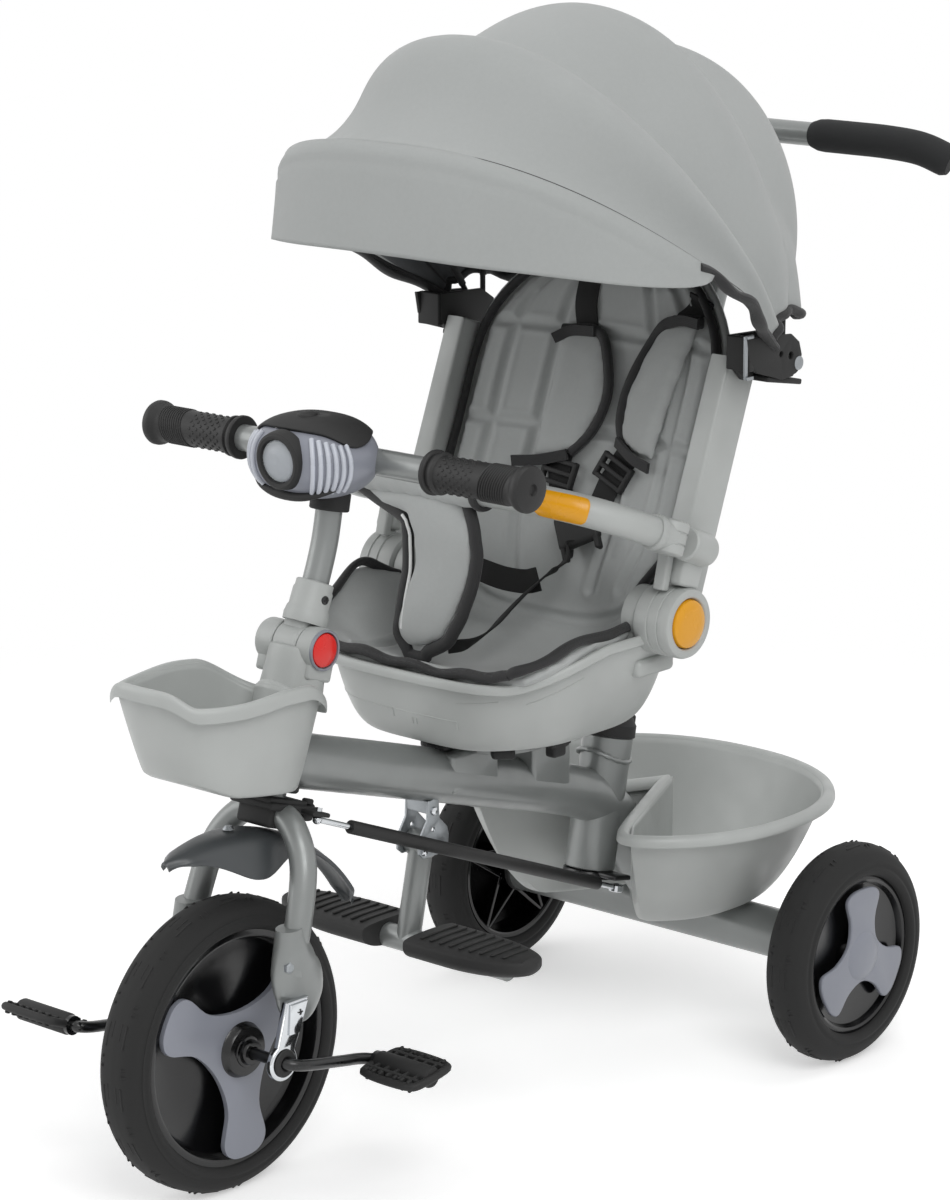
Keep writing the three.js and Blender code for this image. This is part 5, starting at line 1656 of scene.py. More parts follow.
@dataclass
class Handlebar(Assembly):
    """The folding stem with its knuckle, the bar and the grips."""

    body: str = "handlebar"
    radius: float = 11.5
    half: float = 214.0
    y: float = 146.0
    z: float = 608.0

    def build(self) -> None:
        """Builds the knuckle, the bar and both grips."""
        self.keep(self.knuckle(), "stem_knuckle")
        line = spline([at(0, 107.5, 475), at(0, 111.5, 484), at(0, 118, 500), at(0, 131, 537),
                       at(0, 139.5, 579),
                       at(0, 146, 608)], 7)
        bar = Form().tube(line, self.radius * 0.001, 40)
        bar.tube([at(x, self.y, self.z) for x in (-self.half, 0, self.half)], self.radius * 0.001, 40)
        self.keep(bar.piece("handlebar_tube", FRAME_PAINT), "handlebar")
        for side in Side:
            self.keep(self.grip(side), f"{side.word}_grip")
        self.screw("stem_collar_screw", at(16.4, 113, 491), ACROSS, 4.2, BLACK_PAINT)
        clamp = Form().lathe([(12, -8), (16, -8), (17, -7), (17, 7), (16, 8), (12, 8)], at(0, 138, 570),
                             Vector((0, 8.5, 42)), 48)
        self.keep(clamp.piece("stem_clamp", BLACK_PLASTIC))

    def knuckle(self) -> Piece:
        """The barrel between the cheeks and the stepped collar over it."""
        y, z = FOLD_POINT
        form = Form().lathe([(0, 0), (17.5, 0), (18.5, 1), (18.5, 25.4), (17.5, 26.4), (0, 26.4)],
                            at(-15.2, y, z),
                            ACROSS, 64)
        along = Vector((0, 12.5, 29)).normalized()
        form.lathe([(12.4, -4), (19, -4), (19.4, 2), (18.2, 8), (17.2, 10), (17.2, 24), (16.2, 26), (16.2, 31),
                    (15.2, 32), (12.4, 32)], at(0, 106.5, 474), along, 56)
        form.box((26, 26, 26), placed(-2, y + 5.5, z + 13, -20), 5)
        return form.piece("stem_knuckle_moulding", GREY_PLASTIC, 36)

    def grip(self, side: Side) -> Piece:
        """A grip: two flanges, rows of bumps, a slanted band of fine ribs and an end flange."""
        origin = side.at(109, self.y, self.z)
        along = side.out
        bore = self.radius + 0.1
        profile = [(bore, 0), (18.4, 0), (19, 1), (19, 3.6), (18.4, 4.4), (16, 5), (16, 8), (17.8, 9),
                   (17.8, 11.4),
                   (15.6, 13), (15.2, 20), (15.4, 52), (15.6, 60), (15.8, 92), (16.4, 96), (19, 98.6),
                   (19.6, 101),
                   (19.6, 104), (18.6, 106), (14, 107.4), (5, 108), (4, 106), (0, 106)]
        form = Form().lathe(profile, origin, along, 56)
        for band in range(9):
            for k in range(14):
                turn = TAU * (k + 0.5 * (band % 2)) / 14
                out = Vector((0, sin(turn), cos(turn)))
                spot = origin + along * (0.018 + 0.0042 * band) + out * 0.0153
                form.box((2.6, 2.6, 1.4), facing(spot, out, along + along.cross(out)), 0.5, 1)
        for band in range(11):
            turns = [TAU * k / 28 for k in range(29)]
            ring = [origin + along * (0.062 + 0.0026 * band + 0.004 * cos(t))
                    + Vector((0, sin(t), cos(t))) * 0.0157 for t in turns]
            form.tube(ring, 0.0009, 6, caps=False)
        return form.piece(f"{side.word}_grip_rubber", GRIP_RUBBER, 40)


LENS_SEAT = at(0, 85.6, 613.4)
LAMP_AIM = Vector((0, -26, -1.5))


@dataclass
class Lamp(Assembly):
    """The moulded lamp on the handlebar: lower half, black cover with a button, lens."""

    body: str = "handlebar"
    y: float = 120.0
    z: float = 611.0
    half_width: float = 58.0
    half_depth: float = 44.0
    half_height: float = 34.0

    def egg(self, angle: float, up: float, grow: float) -> Vector:
        """A point of the squarish egg, by its bearing from the front and its height from -1 to 1."""
        level = sqrt(max(0.0, 1 - up * up)) ** 0.85
        a = sin(angle) * level
        c = -cos(angle) * level
        squeeze = 1 - 0.2 * abs(a) ** 3
        across, forward, rise = (signed(share, 0.85) for share in (a, c, up))
        return at((self.half_width + grow) * across, self.y + (self.half_depth + grow) * forward,
                  self.z + (self.half_height + grow) * rise * squeeze)

    def build(self) -> None:
        """Builds the lamp's mouldings."""
        self.keep(self.lower(), "lamp_body")
        self.keep(self.ribs())
        self.keep(self.cover(), "lamp_cover")
        self.keep(self.bezel())
        self.keep(self.lens(), "lamp_lens")
        self.keep(self.reflector())
        button = Form().lathe([(0, 12.4), (5, 12), (8, 10.8), (9, 9), (9, -0.4), (0, -0.4)],
                              at(0, 111.9, 637.4),
                              Vector((0, -0.08, 1)), 40)
        self.keep(button.piece("lamp_button_cap", BLACK_PLASTIC), "lamp_button", body="lamp_button")

    def seam(self, angle: float) -> float:
        """The cover's edge as a height from -1 to 1: low over the lens, with tails to both sides."""
        turn = (angle + pi) % TAU - pi
        return 0.66 + 0.1 * cos(turn) - 0.22 * bump_at(abs(turn), 1.45, 0.4)

    def lower(self) -> Piece:
        """The blue-grey lower half."""
        def surface(u: float, v: float) -> Vector:
            """A point between the egg's foot and the seam."""
            angle = TAU * u
            up = lerp(-0.998, self.seam(angle) - 0.01, v)
            return self.egg(angle, up, -0.6)

        form = Form().skin(96, 40, surface, wrap=True)
        return form.piece("lamp_lower_half", COVER_PLASTIC, 60)

    def cover(self) -> Piece:
        """The black upper shell, with a raised ring for the button."""
        def surface(u: float, v: float) -> Vector:
            """A point between the seam and the egg's top."""
            angle = TAU * u
            up = lerp(self.seam(angle), 0.9995, v ** 0.8)
            return self.egg(angle, up, 2.2)

        form = Form().skin(96, 26, surface, wrap=True)
        form.lathe([(9.4, -2), (9.6, 9), (10.6, 9.6), (12.4, 8.6), (14, 5.6), (17, 2), (17, -3)],
                   at(0, 111.5, 637),
                   Vector((0, -0.08, 1)), 48)
        return walled(form.piece("lamp_top_shell", BLACK_PLASTIC, 60), 2.4)

    def ribs(self) -> Piece:
        """Upright curved ribs on both sides of the lens."""
        form = Form()
        for sign in (1, -1):
            for k, turn in enumerate((0.52, 0.66, 0.8, 0.94, 1.08, 1.22)):
                line = [self.egg(sign * (turn + 0.05 * cos(up * 2)), up, 0.4)
                        for up in (-0.62, -0.45, -0.2, 0.05, 0.3, 0.5, 0.62 - 0.03 * k)]
                form.tube(spline(line, 4), 0.0021, 12)
        return form.piece("lamp_side_ribs", LAMP_SILVER, 60)

    def bezel(self) -> Piece:
        """The thick black ring round the lens and the dark lip under it."""
        form = Form().lathe([(17.9, 0), (17.9, 9), (19, 11.4), (21.6, 12), (24, 10.4), (25, 6), (25.4, 0),
                             (17.9, 0)],
                            LENS_SEAT, LAMP_AIM, 72)
        lip = [self.egg(radians(a), -0.62 - 0.16 * cos(radians(a) * 2), 1.4) for a in range(-62, 63, 6)]
        form.tube(lip, [0.0012 + 0.0030 * sin(pi * k / 20) for k in range(21)], 14)
        return form.piece("lamp_bezel", BLACK_PLASTIC, 40)

    def lens(self) -> Piece:
        """The domed lens with pressed rings."""
        rings = [(r, 14 - 4.4 * (r / 17) ** 2 + 0.35 * cos(r * 1.9)) for r in (2 + 1.5 * k for k in range(11))]
        form = Form().lathe([(0, 14)] + rings + [(17.8, 8.6), (17.8, 5), (0, 5)], LENS_SEAT, LAMP_AIM, 64)
        return form.piece("lamp_lens_disc", LENS, 60)

    def reflector(self) -> Piece:
        """The bright bowl behind the lens."""
        form = Form().lathe([(0, 0.6), (6, 0.8), (12, 2), (16, 3.6), (17.6, 4.8), (17.6, 0.2), (0, 0.2)],
                            LENS_SEAT, LAMP_AIM, 56)
        return form.piece("lamp_reflector", CHROME, 60)


# ---------- Link and push pole ----------
@dataclass
class SteeringLink(Assembly):
    """The thin rod under a sleeve that turns the fork from behind."""

    body: str = "steering_link"

    def build(self) -> None:
        """Builds the rod and its sleeve."""
        front, rear = at(31, 86, 309.4), at(31, 484, 152.6)
        rod = Form().tube([front, front.lerp(rear, 0.5), front.lerp(rear, 0.985)], 0.0026, 20)
        rod.tube(spline([at(31, 85.4, 307), at(31, 86.8, 312), at(31, 89.2, 319)], 4), 0.0026, 20)
        rod.lathe([(2.8, -3.4), (6, -3.4), (7, -2.6), (7, 2.6), (6, 3.4), (2.8, 3.4)], at(31, 482.6, 153),
                  Vector((0, 0.19, 1)), 36)
        for place in (front, rear):
            rod.ball(4.4, Matrix.Translation(place))
        self.keep(rod.piece("link_rod_steel", CHROME, 40), "link_rod")
        sleeve = Form().lathe([(2.8, 0), (5.2, 0), (6, 1), (6, 354), (5.2, 355), (2.8, 355)],
                              front.lerp(rear, 0.1),
                              rear - front, 32)
        self.keep(sleeve.piece("link_sleeve_tube", GRIP_RUBBER, 40), "link_sleeve")


@dataclass
class PushPole(Assembly):
    """The black pole behind the seat and the sliding parent handle with foam grips."""

    body: str = "push_pole"

    def build(self) -> None:
        """Builds the pole, handle and foam."""
        self.keep(self.pole(), "push_pole")
        self.keep(self.handle(), "push_handle", body="push_handle")
        for side in Side:
            self.keep(self.foam(side), f"{side.word}_foam_grip", body="push_handle")

    def pole(self) -> Piece:
        """The bent tube with its foot plate and arm."""
        bend = pole_point(342)
        upper = (at(0, 717, 830) - bend).normalized()
        lower = [pole_point(z) for z in (158, 230, 300, 326)]
        line = lower + [bend + upper * (d * 0.001) for d in (14, 60, 180, 289)]
        form = Form().tube(spline(line, 6), 0.0148, 44)
        form.lathe([(0, 0), (23.4, 0), (24, 0.8), (24, 5.6), (23.4, 6.4), (0, 6.4)], pole_point(159.4),
                   POLE_AXIS, 56)
        form.box((30, 24, 5), placed(26, 481, 164.4, -12), 2)
        form.lathe([(14.4, -5), (16.6, -5), (17.4, -4), (17.4, 3), (16, 5), (14.4, 5)], bend + upper * 0.286,
                   upper, 48)
        return form.piece("push_pole_tube", BLACK_PAINT, 50)

    def handle_line(self, side: float, start: float, end: tuple[float, float, float]) -> list[Vector]:
        """The handle's centre line, from near the middle out to its end."""
        points = [(start, 717, 830), (110, 717, 830), (150, 717.5, 829.5), (185, 720, 826), end]
        return spline([at(side * x, y, z) for x, y, z in points], 6)

    def handle(self) -> Piece:
        """The steel stem and bar."""
        bend = pole_point(342)
        top = at(0, 717, 830)
        upper = (top - bend).normalized()
        form = Form().tube([bend + upper * 0.2, bend + upper * 0.4, top], 0.012, 36)
        half = self.handle_line(1, 0, (206, 726, 818))
        form.tube(list(reversed(mirrored(half[1:]))) + half, 0.011, 32)
        return form.piece("push_handle_tube", FRAME_PAINT, 50)

    def foam(self, side: Side) -> Piece:
        """A foam sleeve with a rounded, closed outer end."""
        line = self.handle_line(side.value, 67, (212, 728, 815))
        count = len(line)
        radii = []
        for i in range(count):
            ends = min(1.0, i / 1.6, (count - 1 - i) / 1.2)
            radii.append(0.0152 * (0.8 + 0.2 * sqrt(max(0.0, ends))))
        return Form().tube(line, radii, 36).piece(f"{side.word}_foam_sleeve", FOAM, 50)


# ---------- Footrest ----------
@dataclass
class Footrest(Assembly):
    """The folding footrest: a stem on its pivot, a cross tube and two boat-shaped pads."""

    body: str = "footrest"
    tube_radius: float = 11.0

    def build(self) -> None:
        """Builds the tubes and the pads."""
        form = Form().lathe([(3.9, -11), (11.4, -11), (12, -10.4), (12, 10.4), (11.4, 11), (3.9, 11),
                             (3.9, -11)],
                            at(0, *FOOT_PIVOT), ACROSS, 48)
        form.tube([at(0, 249, 238), at(0, 240, 196), at(0, 232, 159)], self.tube_radius * 0.001, 32)
        form.tube([at(x, 232, 159) for x in (-118, 0, 118)], self.tube_radius * 0.001, 32)
        self.keep(form.piece("footrest_tube", FRAME_PAINT, 50), "footrest_frame")
        for side in Side:
            self.keep(self.pad(side), f"{side.word}_foot_pad")
            self.keep(rounded(self.tread(side), 0.4, 2))

    def pad(self, side: Side) -> Piece:
        """One pad: flat on top, keeled below, narrowing outwards."""
        def surface(u: float, v: float) -> Vector:
            """A point of the closed pad."""
            reach = min(1.0, v / 0.94)
            close = 1.0 if v < 0.94 else 0.0
            x = lerp(24, 146, reach)
            taper = sqrt(max(0.02, 1 - (max(0.0, reach - 0.35) / 0.68) ** 2)) * close
            angle = TAU * u
            across, upright = 34 * taper * sin(angle), cos(angle)
            height = 9 * close * max(0.0, upright) ** 0.3 if upright > 0 else 15 * taper * upright
            return side.at(x, 233 + across, 165 + height)

        form = Form().skin(64, 34, surface, wrap=True)
        form.bm.verts.ensure_lookup_table()
        rim = [e for e in form.bm.edges if e.is_boundary]
        bmesh.ops.holes_fill(form.bm, edges=rim, sides=0)
        return form.piece(f"{side.word}_foot_pad_moulding", BLACK_PLASTIC, 50)

    def tread(self, side: Side) -> Piece:
        """Raised tread bars."""
        form = Form()
        for k in range(9):
            x = 36 + k * 11
            half = 24 * sqrt(max(0.05, 1 - (max(0.0, (x - 62) / 84)) ** 2))
            form.box((3, 2 * half, 2), placed(side.value * x, 233, 174.4), 0.6, 2)
        return form.piece(f"{side.word}_foot_pad_tread", BLACK_PLASTIC)


# ---------- Seat ----------
SEAT_Y = 343.0


def seat_rim_z(angle: float) -> float:
    """The pan's rim height by the bearing from the front."""
    turn = abs((angle + pi) % TAU - pi) / pi
    return 404 + 28 * smooth(turn, 0.27, 0.47) - 4 * smooth(turn, 0.6, 0.95)


def seat_outline(angle: float, half_x: float, half_y: float) -> tuple[float, float]:
    """A plan point of the pan's outline, narrower towards the knees."""
    s, c = sin(angle), -cos(angle)
    far = (abs(s / half_x) ** 4 + abs(c / half_y) ** 4) ** -0.25
    x, run = far * s, far * c
    return x * lerp(0.83, 1, smooth(run, -half_y, -half_y * 0.2)), run


RECLINE = (395.0, 445.0)


@dataclass
class SeatPan(Assembly):
    """The moulded bucket on its boss, with a hinge ear on each side."""

    body: str = "seat"
    half_x: float = 148.0
    half_y: float = 119.0
    floor: float = 338.0
    wall: float = 4.0

    def build(self) -> None:
        """Builds the bucket, its bead, ears and underside details."""
        self.keep(self.bucket(), "seat_pan")
        self.keep(self.bead())
        self.keep(self.ears())
        self.keep(self.details())
        self.keep(self.knobs(), body="frame")

    def wall_point(self, angle: float, rise: float) -> Vector:
        """A point of the outer wall."""
        rim = seat_rim_z(angle)
        z = lerp(self.floor, rim, rise ** 1.6)
        swell = min(1.0, max(0.0, (z - self.floor) / (430 - self.floor))) ** 0.42
        half_x, half_y = lerp(self.half_x - 54, self.half_x, swell), lerp(self.half_y - 25, self.half_y, swell)
        x, run = seat_outline(angle, half_x, half_y)
        return at(x, SEAT_Y + run, z)

    def bucket(self) -> Piece:
        """The bucket's wall, floor and boss."""
        def surface(u: float, v: float) -> Vector:
            """A point of the floor, then of the wall."""
            angle = TAU * u
            if v < 0.3:
                edge = self.wall_point(angle, 0.0)
                return at(0, SEAT_Y, self.floor).lerp(edge, v / 0.3)
            return self.wall_point(angle, (v - 0.3) / 0.7)

        form = Form().skin(144, 40, surface, wrap=True)
        piece = walled(form.piece("seat_bucket", GREY_PLASTIC, 60), self.wall)
        boss = Form().lathe([(20, 0), (58.6, 0), (60, 1.2), (60, 10), (62, 14), (20, 14)],
                            at(0, SWIVEL_Y, 331.4), UP, 72)
        self.keep(boss.piece("seat_boss", GREY_PLASTIC))
        return piece

    def bead(self) -> Piece:
        """The rolled bead along the rim."""
        lip = ((-3.4, -4), (-3.6, 0), (-2, 2.6), (1, 3.6), (3.6, 2.2), (4.8, -1), (4.6, -6), (3, -6.4), (1, -3))
        count = 160

        def section(u: float, v: float) -> Vector:
            """A point of the bead's section, u round the rim and v round the bead."""
            angle = TAU * u
            x, run = seat_outline(angle, self.half_x, self.half_y)
            out, height = lip[int(v * len(lip)) % len(lip)]
            far = hypot(x, run)
            return at(x + out * x / far, SEAT_Y + run + out * run / far, seat_rim_z(angle) + height)

        form = Form().skin(count, len(lip), section, wrap=True)
        bmesh.ops.remove_doubles(form.bm, verts=form.bm.verts, dist=1e-6)
        return subdivided(form.piece("seat_rim_bead", GREY_PLASTIC, 70))

    def ears(self) -> Piece:
        """The round ears that carry the recline hinges."""
        form = Form()
        y, z = RECLINE
        for side in (1, -1):
            form.lathe([(0, 0), (25.6, 0), (27, 1.4), (27, 14.6), (25.6, 16), (0, 16)], at(side * 126, y, z),
                       ACROSS * side, 64)
            form.box((16, 50, 36), placed(side * 134, y, 424), 5)
            form.box((20, 50, 16), placed(side * 137, y, 402), 5)
        return form.piece("recline_ears", GREY_PLASTIC, 40)

    def knobs(self) -> Piece:
        """The black catches that lock the turning seat, round its boss."""
        form = Form()
        for bearing in (-18, 48, 104):
            turn = radians(bearing)
            out = Vector((sin(turn), -cos(turn), 0))
            place = facing(at(0, SWIVEL_Y, 323.5) + out * 0.064, out, UP)
            form.box((9, 21, 14), place, 3, 4)
        return form.piece("seat_swivel_catches", BLACK_PLASTIC)

    def details(self) -> Piece:
        """Fine raised lines along the lower wall and under its rim."""
        form = Form()
        for low, high in ((-0.95, -0.2), (-0.16, 0.55)):
            line = [self.wall_point(lerp(low, high, k / 16), 0.6) for k in range(17)]
            form.tube(line, 0.0006, 6)
            form.tube([self.wall_point(high, r) for r in (0.6, 0.56, 0.5)], 0.0006, 6)
        for angle in (0.04, 0.09):
            form.tube([self.wall_point(angle, r) for r in (0.46, 0.5, 0.54)], 0.0008, 6)
        for start in (0.55, 1.0):
            form.tube([self.wall_point(start + 0.02 * k, 0.8 + 0.004 * k) for k in range(16)], 0.0005, 6)
        return form.piece("seat_pan_lines", GREY_PLASTIC)


# ---------- Soft goods ----------
@dataclass(frozen=True)
class PadCloth(Cloth):
    """Woven cloth over padding, whose threads run across and along the seat."""

    def paint(self, graph: Graph, colour: tuple[float, float, float]) -> bpy.types.Material:
        """Lays the weave on the piece's own axes."""
        x, y, z = graph.parts(graph.place())
        warp = (x * (pi / self.thread)).sine()
        weft = ((y * 0.7 + z) * (pi / self.thread)).sine()
        weave = (warp * weft) * 0.5 + 0.5
        folds_and_shade = graph.noise(11, 4)
        slub = graph.noise(300, 2)
        # The weave and the folds that raise the bump also lighten the colour on their crests and darken it in their
        # hollows: painted shade and highlight; the slub is the yarn's own tone.
        tone = graph.blend(weave * 0.3 + slub * 0.3 + folds_and_shade * 0.4, shaded(colour, 0.86), shaded(colour, 1.1))
        fine = graph.bump(weave + slub * 0.5, self.relief, 0.0003, graph.bump(folds_and_shade, 0.3, 0.005))
        return graph.surface(Base_Color=tone, Roughness=slub * 0.1 + self.roughness, Normal=fine,
                             Sheen_Weight=self.sheen, Sheen_Roughness=0.5)


PAD_CLOTH = PadCloth("grey_padded_cloth", "grey_fabric", "b3b6b5", 0.82)
PIPING = PadCloth("white_piping", "grey_fabric", "e4e5e4", 0.7)


def baked(piece: Piece) -> Piece:
    """Applies a piece's modifiers."""
    bpy.context.view_layer.update()
    graph = bpy.context.evaluated_depsgraph_get()
    mesh = bpy.data.meshes.new_from_object(piece.evaluated_get(graph))
    piece.modifiers.clear()
    piece.data = mesh
    return piece


def stuffed(piece: Piece, voxel: float, cap: float, pressure: float = 4.0,
            smooth_times: int = 3) -> Piece:
    """Fills a closed cover: remeshes it, swells it as cloth under pressure and limits the swelling.

    Args:
        piece: the closed cover, a little smaller than the pad.
        voxel: the remesh's cell in millimetres.
        cap: the furthest that a point may move, in millimetres.
        pressure: the filling's pressure.
        smooth_times: how often the swollen cover is relaxed.

    Returns:
        The same object, stuffed and subdivided once.
    """
    modify(piece, "REMESH", mode="VOXEL", voxel_size=voxel * 0.001, use_smooth_shade=True)
    baked(piece)
    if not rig.quick():
        rest = [v.co.copy() for v in piece.data.vertices]
        cloth = piece.modifiers.new("filling", "CLOTH")
        settings = cloth.settings
        settings.use_pressure = True
        settings.uniform_pressure_force = pressure
        settings.effector_weights.gravity = 0.0
        settings.quality = 4
        cloth.collision_settings.use_collision = False
        cloth.point_cache.frame_start = 1
        cloth.point_cache.frame_end = 20
        for step in range(1, 21):
            bpy.context.scene.frame_set(step)
        baked(piece)
        bpy.context.scene.frame_set(1)
        for vert, start in zip(piece.data.vertices, rest):
            move = vert.co - start
            if move.length > cap * 0.001:
                vert.co = start + move.normalized() * cap * 0.001
    work = bmesh.new()
    work.from_mesh(piece.data)
    for _ in range(smooth_times):
        bmesh.ops.smooth_vert(work, verts=work.verts, factor=0.5, use_axis_x=True, use_axis_y=True,
                              use_axis_z=True)
    work.to_mesh(piece.data)
    work.free()
    subdivided(piece)
    baked(piece)
    piece.data.polygons.foreach_set("use_smooth", [True] * len(piece.data.polygons))
    return piece


def press_seams(piece: Piece, lines: Sequence[Sequence[Vector]], depth: float, width: float) -> None:
    """Presses sewn channels into a pad along lines that lie near its surface, sizes in millimetres."""
    spots = [a.lerp(b, k / 8) for line in lines for a, b in zip(line, line[1:]) for k in range(8)]
    tree = KDTree(len(spots))
    for i, spot in enumerate(spots):
        tree.insert(spot, i)
    tree.balance()
    moves = []
    for vert in piece.data.vertices:
        gap = tree.find(vert.co)[2] * 1000
        if gap < width * 3:
            ridge = 0.35 * depth * bump_at(gap, width * 1.5, width * 0.6)
            moves.append((vert.index, vert.normal * (ridge - depth * exp(-((gap / width) ** 2))) * 0.001))
    for index, move in moves:
        piece.data.vertices[index].co += move


class Ground:
    """The surface of a finished pad, on which straps are laid."""

    def __init__(self, piece: Piece) -> None:
        """Reads the pad's mesh."""
        mesh = piece.data
        self.tree = BVHTree.FromPolygons([v.co for v in mesh.vertices], [p.vertices[:] for p in mesh.polygons])

    def front(self, x: float, z: float, gap: float) -> Vector:
        """The point a gap in front of the pad at a place seen from the front."""
        hit = self.tree.ray_cast(at(x, 180, z), Vector((0, 1, 0)))[0]
        return (hit or at(x, rail_y(z), z)) - Vector((0, gap * 0.001, 0))

    def line(self, points: Profile, gap: float) -> list[Vector]:
        """The points a gap in front of the pad at several places."""
        return [self.front(x, z, gap) for x, z in points]


def strap(line: Sequence[Vector], width: float, thick: float, across: Vector, form: Form | None = None,
          steps: int = 6, twist: Sequence[Vector] | None = None) -> Form:
    """Lays a flat strap along a smooth line.

    Args:
        line: the points that it passes.
        width: its width in millimetres.
        thick: its thickness in millimetres.
        across: the direction of its width.
        form: the form that it is added to.
        steps: the stretches between two points.
        twist: the direction of its width at each point, where it turns over.

    Returns:
        The form.
    """
    form = form or Form()
    curve = spline(list(line), steps)
    last = len(curve) - 1
    corners = ((-0.5, -0.5), (-0.47, -1), (0.47, -1), (0.5, -0.5), (0.5, 0.5), (0.47, 1), (-0.47, 1),
               (-0.5, 0.5))

    def section(u: float, v: float) -> Vector:
        """A point of the strap, u round its section and v along it."""
        i = int(round(v * last))
        along = (curve[min(i + 1, last)] - curve[max(0, i - 1)]).normalized()
        wide = across
        if twist:
            k = min(len(twist) - 2, i // steps)
            wide = twist[k].lerp(twist[k + 1], i / steps - k)
        wide = (wide - along * wide.dot(along)).normalized()
        a, b = corners[int(round(u * 8)) % 8]
        return curve[i] + wide * (a * width * 0.001) + along.cross(wide) * (b * thick * 0.0005)

    length = sum((b - a).length for a, b in zip(curve, curve[1:]))
    form.skin(8, last, section, wrap=True, cloth=(8 * width * 0.001, length))
    bmesh.ops.holes_fill(form.bm, edges=[e for e in form.bm.edges if e.is_boundary], sides=0)
    return form


# ---------- Backrest ----------
def rail_y(z: float) -> float:
    """How far back the leaning rails stand at a height."""
    return 405 + (z - 442) * 0.379


def back_width(z: float) -> float:
    """Half the back's width at a height."""
    top = min(1.0, max(0.0, (z - 640) / 96))
    return lerp(118, 143, smooth(z, 455, 510)) * sqrt(1 - 0.84 * top * top)


def back_point(x: float, z: float, forward: float = 0.0) -> Vector:
    """A point of the dished back, moved forward by a distance."""
    dish = 24 * (1 - (x / 150) ** 2)
    return at(x, rail_y(z) + 6 - forward + dish - 10 * smooth(z, 640, 736), z)


@dataclass
class Backrest(Assembly):
    """The moulded back with its two rails, recline housings and guard bar stubs."""

    body: str = "backrest"
    rail_x: float = 154.0
    bottom: float = 452.0
    top: float = 736.0

    def build(self) -> None:
        """Builds the back and its buttons."""
        self.keep(self.panel(), "backrest_shell")
        self.keep(self.panel_rim())
        self.keep(rounded(self.ribs(), 1.2, 2))
        for side in Side:
            self.keep(self.rail(side))
            self.keep(self.housing(side))
            self.keep(self.stub(side))
            button = Form().lathe([(0, 8), (12, 7.9), (18.6, 7.4), (20.6, 6.2), (21.4, 4.4), (21.6, 0), (0, 0)],
                                  side.at(176.3, *RECLINE), side.out, 72)
            name = side.word + "_recline_button"
            self.keep(button.piece(name + "_cap", AMBER_PLASTIC), name, body=name)

    def panel(self) -> Piece:
        """The dished panel."""
        def surface(u: float, v: float) -> Vector:
            """A point of the panel."""
            z = lerp(self.bottom, self.top, v)
            return back_point(back_width(z) * (2 * u - 1), z)

        return walled(Form().skin(56, 56, surface).piece("back_panel", GREY_PLASTIC, 60), 4)

    def edge(self, grow: float = 0.0, forward: float = 0.0, low: float = 0.0) -> list[Vector]:
        """The panel's outline, from the child's right foot over the top to the left foot."""
        rise = [lerp(low, 1, k / 30) for k in range(31)]
        levels = [lerp(self.bottom, self.top, r) for r in rise]
        left = [back_point(back_width(z) + grow, z, forward) for z in levels]
        across = [back_point((back_width(self.top) + grow) * x, self.top + grow, forward)
                  for x in (0.75, 0.45, 0.0, -0.45, -0.75)]
        return mirrored(left)[:-1] + list(reversed(across)) + list(reversed(left[:-1]))

    def panel_rim(self) -> Piece:
        """The rolled rim round the panel."""
        return Form().tube(self.edge(), 0.0042, 12).piece("back_panel_rim", GREY_PLASTIC)

    def ribs(self) -> Piece:
        """Stiffening ribs behind the panel."""
        form = Form()
        for z in (500, 580, 660):
            line = [back_point(x, z, -7) for x in range(-110, 111, 20)]
            strap(line, 5, 12, UP, form, 2)
        for x in (-62, 62):
            strap([back_point(x, z, -7) for z in range(475, 706, 20)], 5, 12, ACROSS, form, 2)
        return form.piece("back_panel_ribs", GREY_PLASTIC)

    def rail(self, side: Side) -> Piece:
        """One moulded rail with rounded edges."""
        outline = []
        for z, sign in ((440, -1), (662, -1), (662, 1), (440, 1)):
            lean = -6 * sign
            width = 21 if z == 440 else 20
            outline.append((rail_y(z) + sign * width, z + lean))
        form = Form().plate(outline, 22, side_on(side.value * self.rail_x), 3.4, segments=3)
        return form.piece(side.word + "_back_rail", GREY_PLASTIC, 40)

    def housing(self, side: Side) -> Piece:
        """The round recline housing: stacked rings round the button."""
        profile = [(0, 142.6), (28, 142.6), (30.4, 144), (31, 147), (31, 157.4), (29.9, 158), (29.9, 159.6),
                   (31, 160.2),
                   (31, 168.6), (30, 169.2), (30, 170.6), (31, 171.2), (31, 178.4), (30, 180.9), (28.2, 182),
                   (24.2, 182), (23, 181.2), (22.3, 179.6), (22.2, 173), (0, 173)]
        return Form().lathe(profile, Vector((0, *at(0, *RECLINE).yz)), side.out,
                            80).piece(side.word + "_recline_housing", GREY_PLASTIC, 36)

    def stub(self, side: Side) -> Piece:
        """The barrel that takes the guard bar's end, on its foot."""
        head, tail = side.at(180, 389, 517.8), side.at(180, 421, 504.8)
        along = tail - head
        long = along.length * 1000
        form = Form().lathe([(0, 0), (13.6, 0), (15, 1.2), (15, long - 5), (14, long - 2.4),
                             (11.5, long - 0.6), (0, long)],
                            head, along, 56)
        form.box((22, 27, 44), placed(169 * side.value, 405, 497, -20), 4)
        form.box((12, 9, 34), placed(163 * side.value, 382, 492, -14), 2)
        return form.piece(side.word + "_guard_stub", GREY_PLASTIC, 40)


GUARD_MIDDLE = (285.0, 561.0)


